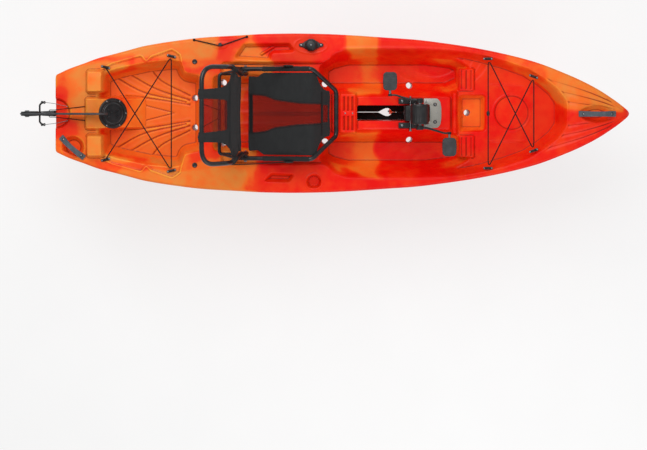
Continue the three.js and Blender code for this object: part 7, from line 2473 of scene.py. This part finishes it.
@dataclass
class Straps:
    """The two recline straps with their buckles, and the cord behind the back."""
    finishes: Finishes
    lines: SeatLines = field(default_factory=SeatLines)
    width: float = 33.0
    thickness: float = 2.4
    high: float = 566.0
    low_x: float = -262.0
    cord_radius: float = 2.0
    cord_top: tuple = (-706.0, 60.0, 756.1)
    cord_low: tuple = (-645.0, 20.0, 432.6)

    def build(self) -> None:
        """Builds the straps, the buckles and the cord."""
        s = self.lines
        for side, name in ((1, "port"), (-1, "starboard")):
            high = np.array([float(s.upright_at(self.high)), side * (float(s.half_at(self.high)) + 14.8),
                             self.high])
            low = np.array([self.low_x, side * (s.rail_half + 14.8), float(s.rail_height(self.low_x))])
            path = evenly([high, low], 8.0)
            run = np.linspace(0, 1, len(path))[:, None]
            path = path + np.array([0, side * 1.0, 0]) * np.sin(run * math.pi)
            builder = MeshBuilder()
            builder.grid(sweep(path, rounded_box(self.width, self.thickness, 1.0, 3), (0, 1, 0)),
                         wrap_columns=True,
                         ends=True)
            piece = finished(builder.build(f"strap_{name}"), "", self.finishes.webbing,
                             [f"recline_strap_{name}"])
            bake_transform(piece)
            self.buckle(f"buckle_{name}", path[int(len(path) * 0.92)], path[-1] - path[0], side)
        cord = MeshBuilder()
        route = SeatLines.both([self.cord_top, self.cord_low])
        tube(cord, evenly(filleted(route, 14.0, 6), 5.0), self.cord_radius, 10, (1, 0, 0))
        for x, y, z in (self.cord_top, (self.cord_top[0], -self.cord_top[1], self.cord_top[2])):
            turned(cord, [(0, -6), (4.4, -5), (5, 0), (4.4, 5), (0, 6)], (x, y, z - 16), (0, 0, 1), 20)
        finished(cord.build("cord_behind"), "seat_back", self.finishes.cord, ["back_cord"])

    def buckle(self, name: str, place: Array, along: Array, side: int) -> None:
        """A slide buckle on a strap: a rounded frame with two bars across it.

        Args:
            name: the piece's name.
            place: its middle.
            along: the strap's direction.
            side: 1 to port and -1 to starboard.
        """
        ahead = along / np.linalg.norm(along)
        out = np.array([0.0, side, 0])
        across = np.cross(out, ahead)
        across /= np.linalg.norm(across)
        axes = Axes(place + out * 0.4, np.stack([ahead, across, np.cross(ahead, across)], 1))
        builder = MeshBuilder()
        slab(builder, Deck.block(-22, 22, 20, 6.0), -3.0, 3.0, 1.4, axes.put)
        for middle in (-11, 0, 11):
            slab(builder, Deck.block(middle - 2.6, middle + 2.6, 17, 1.6), -4.6, 4.6, 1.2, axes.put)
        finished(builder.build(name), "hull", self.finishes.black)


# Pedal drive

@dataclass
class Drive:
    """The lift-out pedal drive with its saddle, head, leg and gear case, and the fittings that it sits in."""
    finishes: Finishes
    x: float = 405.0
    crank_z: float = 450.0
    gear_z: float = -190.0
    drum_radius: float = 48.0
    drum_half: float = 52.0
    leg_radius: float = 16.0
    leg_low: float = -116.0
    leg_high: float = 386.0
    saddle: tuple = (334.0, 466.0, 236.0, 298.0)
    saddle_half: float = 40.0
    rail: tuple = (304.0, 431.0, 50.0, 80.0)
    rail_low: float = 262.3
    rail_top: float = 284.0
    pin_x: float = 368.0
    plate: tuple = (440.0, 535.0, 79.0, 45.0, 472.5)
    plate_top: float = 266.3
    ladder_screws: tuple = (18.0, 58.0)
    plate_bolt: tuple = (501.0, 47.0)
    rib_places: tuple = (345.0, 351.5, 358.0, 384.0, 390.5, 397.0, 403.5)
    seal: tuple = (82.3, 477.7, 41.7, 9.0, 12.0)
    teardrop: tuple = ((198, 1.5), (206, 1.7), (216, 6), (232, 15), (247, 21.5), (262, 22), (275, 15),
                       (282, 4), (288, 1.5),
                       (380, 1.5), (386, 9), (392, 16), (405, 19), (418, 16), (424, 9), (430, 1.5),
                       (468, 1.5), (471, 0.6))
    nose: float = 65.0
    tail: float = 85.0
    case_radius: float = 33.0

    def build(self) -> None:
        """Builds the drive and its deck fittings."""
        self.head()
        self.lower_part()
        self.rails_and_plate()
        self.slot_seal()

    def head(self) -> None:
        """The drum with fine ribs along its round, its neck and collar, and the saddle below."""
        r, half = self.drum_radius, self.drum_half
        profile = np.array([(0, -half), (r * 0.42, -half), (r * 0.44, -half + 1.5), (r * 0.78, -half + 1.5),
                            (r * 0.80, -half), (r - 5, -half), (r - 1.5, -half + 1.6), (r, -half + 5),
                            (r, -half * 0.76),
                            (r, -half * 0.72), (r, half * 0.72), (r, half * 0.76), (r, half - 5),
                            (r - 1.5, half - 1.6),
                            (r - 5, half), (r * 0.80, half), (r * 0.78, half - 1.5), (r * 0.44, half - 1.5),
                            (r * 0.42, half), (0, half)])
        grid = revolve(profile, (0, 0, 0), (0, 1, 0), 192)
        angle = np.arctan2(grid[..., 2], grid[..., 0])
        middle = (np.abs(profile[:, 1]) < half * 0.74)[:, None]
        groove = 1 - 0.022 * middle * (0.5 + 0.5 * np.cos(24 * angle)) ** 6
        builder = MeshBuilder()
        builder.grid(grid * np.stack([groove, np.ones_like(groove), groove], -1) + [self.x, 0, self.crank_z],
                     wrap_columns=True)
        turned(builder, [(0, 0), (23, 0), (23, 44), (26, 50), (36, 54), (38, 58), (38, 100), (0, 100)],
               (self.x, 0, self.leg_high - 52), (0, 0, 1), 64)
        finished(builder.build("head"), "drive", self.finishes.black, ["drive_head"])
        screws = MeshBuilder()
        for dx in (-1, 1):
            for side in (-1, 1):
                for dz in (-1, 1):
                    place = np.array([self.x + dx * 27, side * (half - 0.2), self.crank_z + dz * 27])
                    screw(screws, place, (0, side, 0), 4.0, 2.0)
        finished(screws.build("head_screws"), "drive", self.finishes.steel)
        aft, fore, low, high = self.saddle
        corners = [(aft, low + 20), (aft + 20, low), (fore - 20, low), (fore, low + 20), (fore, high - 10),
                   (fore - 10, high), (aft + 10, high), (aft, high - 10)]
        saddle = MeshBuilder()
        slab(saddle, filleted(corners, 6.0, 4, closed=True), -self.saddle_half, self.saddle_half, 3.0,
             Rudder.upright)
        rib = filleted([(aft + 14, high - 22), (fore - 14, high - 22), (fore - 24, low + 12),
                        (aft + 24, low + 12)], 5.0,
                       4, closed=True)
        slab(saddle, rib, -self.saddle_half - 1.6, self.saddle_half + 1.6, 1.2, Rudder.upright)
        turned(saddle, [(16.4, 0), (26, 0), (26, 7), (24, 9), (16.4, 9)], (self.x, 0, high - 1), (0, 0, 1),
               48, ring=True)
        finished(saddle.build("saddle"), "drive", self.finishes.black, ["drive_saddle"])

    def lower_part(self) -> None:
        """The leg tube and the gear case with its fin."""
        leg = MeshBuilder()
        turned(leg, [(12.6, 0), (self.leg_radius, 0), (self.leg_radius, self.leg_high - self.leg_low - 0.6),
                     (12.6, self.leg_high - self.leg_low - 0.6)], (self.x, 0, self.leg_low + 0.3), (0, 0, 1),
                     48, ring=True)
        finished(leg.build("leg"), "drive", self.finishes.leg, ["drive_leg"])
        r = self.case_radius
        rough = [(0.72 * r, -self.tail), (0.94 * r, -self.tail / 2), (r, 0), (0.84 * r, self.nose * 0.54),
                 (0.45 * r, self.nose * 0.9), (0.0, self.nose)]
        smooth_line = spline([(a, b, 0) for a, b in rough], 40)[:, :2]
        smooth_line[:, 0] = np.maximum(smooth_line[:, 0], 0)
        case = MeshBuilder()
        inner = [(0, -self.tail + 3), (9, -self.tail + 3), (10, -self.tail), (0.66 * r, -self.tail)]
        turned(case, [*inner, *smooth_line], (self.x, 0, self.gear_z), (1, 0, 0), 72)
        turned(case, [(0, 10), (20, 10), (20, 62), (21, 66)] + [(24, 68), (24, 73.4), (22.6, 74), (0, 74)],
               (self.x, 0, self.gear_z), (0, 0, 1), 56)
        fin = [(self.nose * 0.5, -0.6 * r), (self.nose * 0.36, -1.5 * r), (self.nose * 0.12, -185 + 1.6 * r),
               (-self.nose * 0.1, -185), (-self.tail * 0.68, -185), (-self.tail * 0.72, -185 + r),
               (-self.tail * 0.5, -2.2 * r), (-self.tail * 0.55, -0.6 * r)]
        outline = filleted([(self.x + a, self.gear_z + b) for a, b in fin], 12.0, 5, closed=True)
        slab(case, outline, -5.5, 5.5, 4.0, Rudder.upright, 5)
        for k in range(4):
            turn = math.radians(45 + 90 * k)
            place = np.array([self.x - self.tail + 0.2, 17 * math.cos(turn),
                              self.gear_z + 17 * math.sin(turn)])
            screw(case, place, (-1, 0, 0), 3.0, 1.6)
        finished(case.build("case"), "drive", self.finishes.black, ["gear_case"])

    def rails_and_plate(self) -> None:
        """The two rails with their bolts, and the notched plate before them."""
        aft, fore, inner, outer = self.rail
        low, high = self.rail_low, self.rail_top
        bolts = MeshBuilder()
        for side, name in ((1, "port"), (-1, "starboard")):
            middle, half = side * (inner + outer) / 2, (outer - inner) / 2
            builder = MeshBuilder()
            for start, end in ((aft, self.pin_x - 6), (self.pin_x + 6, fore)):
                slab(builder, Deck.block(start, end, half, 3.0, middle), low, high, 2.0)
            slab(builder, Deck.block(aft + 2, fore - 2, half - 0.5, 2.0, middle), low, low + 5.2, 0.6)
            for x in self.rib_places:
                slab(builder, Deck.block(x - 1.4, x + 1.4, half - 3, 1.2, middle), high - 1, high + 1.4, 0.8)
            finished(builder.build(f"rail_{name}"), "hull", self.finishes.black,
                     [f"drive_rail_{name}"])
            for x in (aft + 19, fore - 10):
                screw(bolts, np.array([x, middle, high - 0.2]), (0, 0, 1), 6.2, 2.4)
        a, f, half, throat, notch = self.plate
        corners = [(a, -half), (f - 22, -half), (f - 6, -half + 16), (f, -half / 3), (f, half / 3),
                   (f - 6, half - 16),
                   (f - 22, half), (a, half), (a, throat), (notch, throat), (notch, -throat), (a, -throat)]
        radii = [4, 16, 14, 40, 40, 14, 16, 4, 4, 5, 5, 4]
        plate = MeshBuilder()
        slab(plate, filleted(corners, radii, 5, closed=True), self.rail_low, self.plate_top, 1.0)
        finished(plate.build("plate"), "hull", self.finishes.plate, ["drive_plate"])
        x, y = self.plate_bolt
        for side in (-1, 1):
            washer = MeshBuilder()
            turned(washer, [(0, 0), (9.5, 0), (9.5, 1.2), (8.5, 2.0), (0, 2.0)],
                   (x, side * y, self.plate_top),
                   (0, 0, 1), 36)
            finished(washer.build(f"plate_washer_{side + 1}"), "hull", self.finishes.black)
            screw(bolts, np.array([x, side * y, self.plate_top + 1.9]), (0, 0, 1), 6.0, 3.0)
            screw(bolts, np.array([452, side * 62, self.plate_top - 0.1]), (0, 0, 1), 4.6, 2.0)
        screw(bolts, np.array([511, 2, self.plate_top - 0.1]), (0, 0, 1), 3.4, 1.6)
        for x in self.ladder_screws:
            screw(bolts, np.array([x, 0, self.rail_top - 0.5]), (0, 0, 1), 4.4, 2.2)
        finished(bolts.build("drive_bolts"), "hull", self.finishes.steel)

    def slot_seal(self) -> None:
        """The two rubber flaps in the well's slot, with a slit that widens to a teardrop and round the leg."""
        aft, fore, edge, low, high = self.seal
        x = np.linspace(aft, fore, 260)
        places, gaps = np.array(self.teardrop, float).T
        gap = np.interp(x, [aft, *places, fore], [1.5, *gaps, 0.6])
        gap = np.where(x < aft + 14, 0.6, gap)
        near = np.clip(12 - np.minimum(x - aft, fore - x), 0, 12)
        outer = edge - (12 - np.sqrt(144 - near**2))
        for side, name in ((1, "port"), (-1, "starboard")):
            ring = [(gap, low), (outer, low), (outer, high), (gap, high - 0.6)]
            points = np.stack([np.stack([x, side * y, np.full_like(x, level)], 1) for y, level in ring], 1)
            builder = MeshBuilder()
            builder.grid(points, wrap_columns=True, ends=True)
            finished(builder.build(f"flap_{name}"), "hull", self.finishes.seal, ["slot_seal"])


@dataclass
class Cranks:
    """The two crank arms with their spindles, and the pedals."""
    finishes: Finishes
    x: float = 405.0
    z: float = 450.0
    length: float = 155.0
    inner: float = 60.3
    middle: float = 73.0
    outer: float = 99.5
    width: float = 26.0
    thickness: float = 13.0
    boss: float = 20.0
    spindle: float = 7.0
    spindle_end: float = 186.0
    pedal_inner: float = 124.0
    pedal_outer: float = 220.0
    pedal_length: float = 75.0
    pedal_thickness: float = 24.0

    def build(self) -> None:
        """Builds both sides."""
        for side, name in ((1, "port"), (-1, "starboard")):
            self.arm(side, name)
            self.pedal(side, name)

    def arm(self, side: int, name: str) -> None:
        """One bent arm: its boss on the axle, its eye, and the steel spindle."""
        reach = -side * self.length
        knots = [(0, self.middle), (0.22, self.middle), (0.55, (self.middle + self.outer) / 2),
                 (0.8, self.outer - 1),
                 (1.0, self.outer)]
        path = spline([(self.x + reach * t, side * y, self.z) for t, y in knots], 40)
        builder = MeshBuilder()
        taper = np.linspace(1.0, 0.7, 40)
        builder.grid(sweep(path, rounded_box(self.thickness, self.width, 4.5, 4), (0, 0, 1), taper),
                     wrap_columns=True,
                     ends=True)
        r, deep = self.boss, self.thickness * 1.7
        turned(builder, [(0, 0), (r - 1, 0), (r, 1), (r, deep - 2.5), (r - 2, deep), (12, deep),
                         (10.5, deep - 2),
                         (0, deep - 2)], (self.x, side * self.inner, self.z), (0, side, 0), 48)
        half = self.thickness / 2
        turned(builder, [(0, -half), (9.6, -half), (10.8, -half + 1.5), (10.8, half - 1.5), (9.6, half),
                         (0, half)],
               (self.x + reach, side * self.outer, self.z), (0, side, 0), 36)
        node = f"crank_arm_{name}"
        finished(builder.build(f"arm_{name}"), "crank", self.finishes.frame, [node])
        pin = MeshBuilder()
        length = self.spindle_end - self.outer
        turned(pin, [(0, 0), (self.spindle, 0), (self.spindle, length - 1.5), (self.spindle - 1.5, length),
                     (0, length)],
               (self.x + reach, side * self.outer, self.z), (0, side, 0), 32)
        nut = [(0, deep - 2.2), (8.4, deep - 2.2), (8.4, deep - 0.6), (7.4, deep + 0.2), (0, deep + 0.2)]
        turned(pin, nut, (self.x, side * self.inner, self.z), (0, side, 0), 6)
        finished(pin.build(f"spindle_{name}"), "crank", self.finishes.steel, [node])

    def pedal(self, side: int, name: str) -> None:
        """One pedal: a block with full sides, rounded edges and treads on both faces."""
        x = self.x - side * self.length
        low, high = sorted((side * self.pedal_inner, side * self.pedal_outer))
        half = self.pedal_length / 2
        middle = (low + high) / 2
        tall = (high - low) / 2
        quarter = [(half * 0.60, tall), (half * 0.93, tall * 0.80), (half, 0.0)]
        corners = [(px, py) for px, py in quarter] + [(px, -py) for px, py in quarter[-2::-1]]
        corners += [(-px, -py) for px, py in quarter] + [(-px, py) for px, py in quarter[-2::-1]]
        outline = filleted(corners[::-1], 14.0, 6, closed=True) + [x, middle]
        builder = MeshBuilder()
        h = self.pedal_thickness / 2
        slab(builder, outline, self.z - h, self.z + h, 5.5, steps=6)
        for k in range(-3, 4):
            reach = half * (0.80 - 0.02 * k * k)
            bar = Deck.block(x - reach, x + reach, 2.6, 2.2, middle + k * 12.4)
            for face in (-1, 1):
                inner, outer = sorted((self.z + face * (h - 1.5), self.z + face * (h + 0.9)))
                slab(builder, bar, inner, outer, 0.8)
        finished(builder.build(f"pedal_body_{name}"), f"pedal_{name}", self.finishes.pedal,
                 [f"pedal_{name}"])


@dataclass
class Propeller:
    """The two-bladed propeller: twisted blades on a hub, with a nut behind it."""
    finishes: Finishes
    place: tuple = (295.0, 0.0, -190.0)
    radius: float = 162.0
    hub: float = 16.0
    half: float = 18.0
    sections: tuple = ((0.07, 0.16, 66, 0.04), (0.22, 0.24, 56, 0.034), (0.42, 0.3, 42, 0.028),
                       (0.64, 0.29, 31, 0.022),
                       (0.84, 0.22, 24, 0.017), (0.96, 0.12, 21, 0.013), (1.0, 0.05, 20, 0.01))

    def build(self) -> None:
        """Builds the blades, the hub and the nut.

        A blade's section at a share of the radius has a chord and a thickness that are shares of the radius. Its
        place along the chord is half the cosine of an angle, and across it half the sine, thicker ahead.
        """
        share, chord, pitch, thick = np.array(self.sections, float).T
        t = np.concatenate([np.linspace(share[0], 0.9, 30), np.linspace(0.915, 1.0, 10)])
        chord, pitch, thick = (monotone(share, values, t)[:, None] for values in (chord, pitch, thick))
        turn = np.radians(90 - pitch)
        around = np.arange(32) * 2 * math.pi / 32
        along = 0.5 * np.cos(around)[None]
        across = 0.5 * np.sin(around)[None] * (1 - 0.4 * np.cos(around)[None])
        builder = MeshBuilder()
        for side in (-1, 1):
            c, w = along * chord * self.radius, across * thick * self.radius
            x = self.place[0] - np.cos(turn) * side * c + np.sin(turn) * side * w
            y = np.sin(turn) * c + np.cos(turn) * w
            z = np.broadcast_to(self.place[2] + side * t[:, None] * self.radius, x.shape)
            builder.grid(np.stack([x, y, z], -1), wrap_columns=True, ends=True)
        h, r = self.half, self.hub
        turned(builder, [(5.4, -h), (r - 2, -h), (r, -h + 2), (r, h * 0.6), (r * 0.94, h * 0.8), (r * 0.8, h),
                         (5.4, h)],
               self.place, (1, 0, 0), 64, ring=True)
        finished(builder.build("blades"), "propeller", self.finishes.propeller,
                 ["propeller"])
        nut = MeshBuilder()
        turned(nut, [(0, -8), (5.5, -7.2), (6.4, -5.5), (6.4, 0.5), (0, 0.5)],
               (self.place[0] - h, 0, self.place[2]), (1, 0, 0), 6)
        finished(nut.build("propeller_nut"), "propeller", self.finishes.steel)


def main() -> None:
    """Builds every piece in order."""
    logging.basicConfig(level=logging.INFO, format="%(message)s")
    Studio().build()
    finishes = Finishes()
    finishes.dress_cad()
    lines = HullLines()
    Hull(finishes, lines).build()
    DeckFittings(finishes, lines).build()
    Hatch(finishes).build()
    Steering(finishes, lines).build()
    Rudder(finishes, lines).build()
    seat = SeatLines()
    SeatFrame(finishes, seat).build()
    SeatCovers(finishes, seat).build()
    Straps(finishes, seat).build()
    Drive(finishes).build()
    Cranks(finishes).build()
    Propeller(finishes).build()
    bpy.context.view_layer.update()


if __name__ == "__main__":
    main()
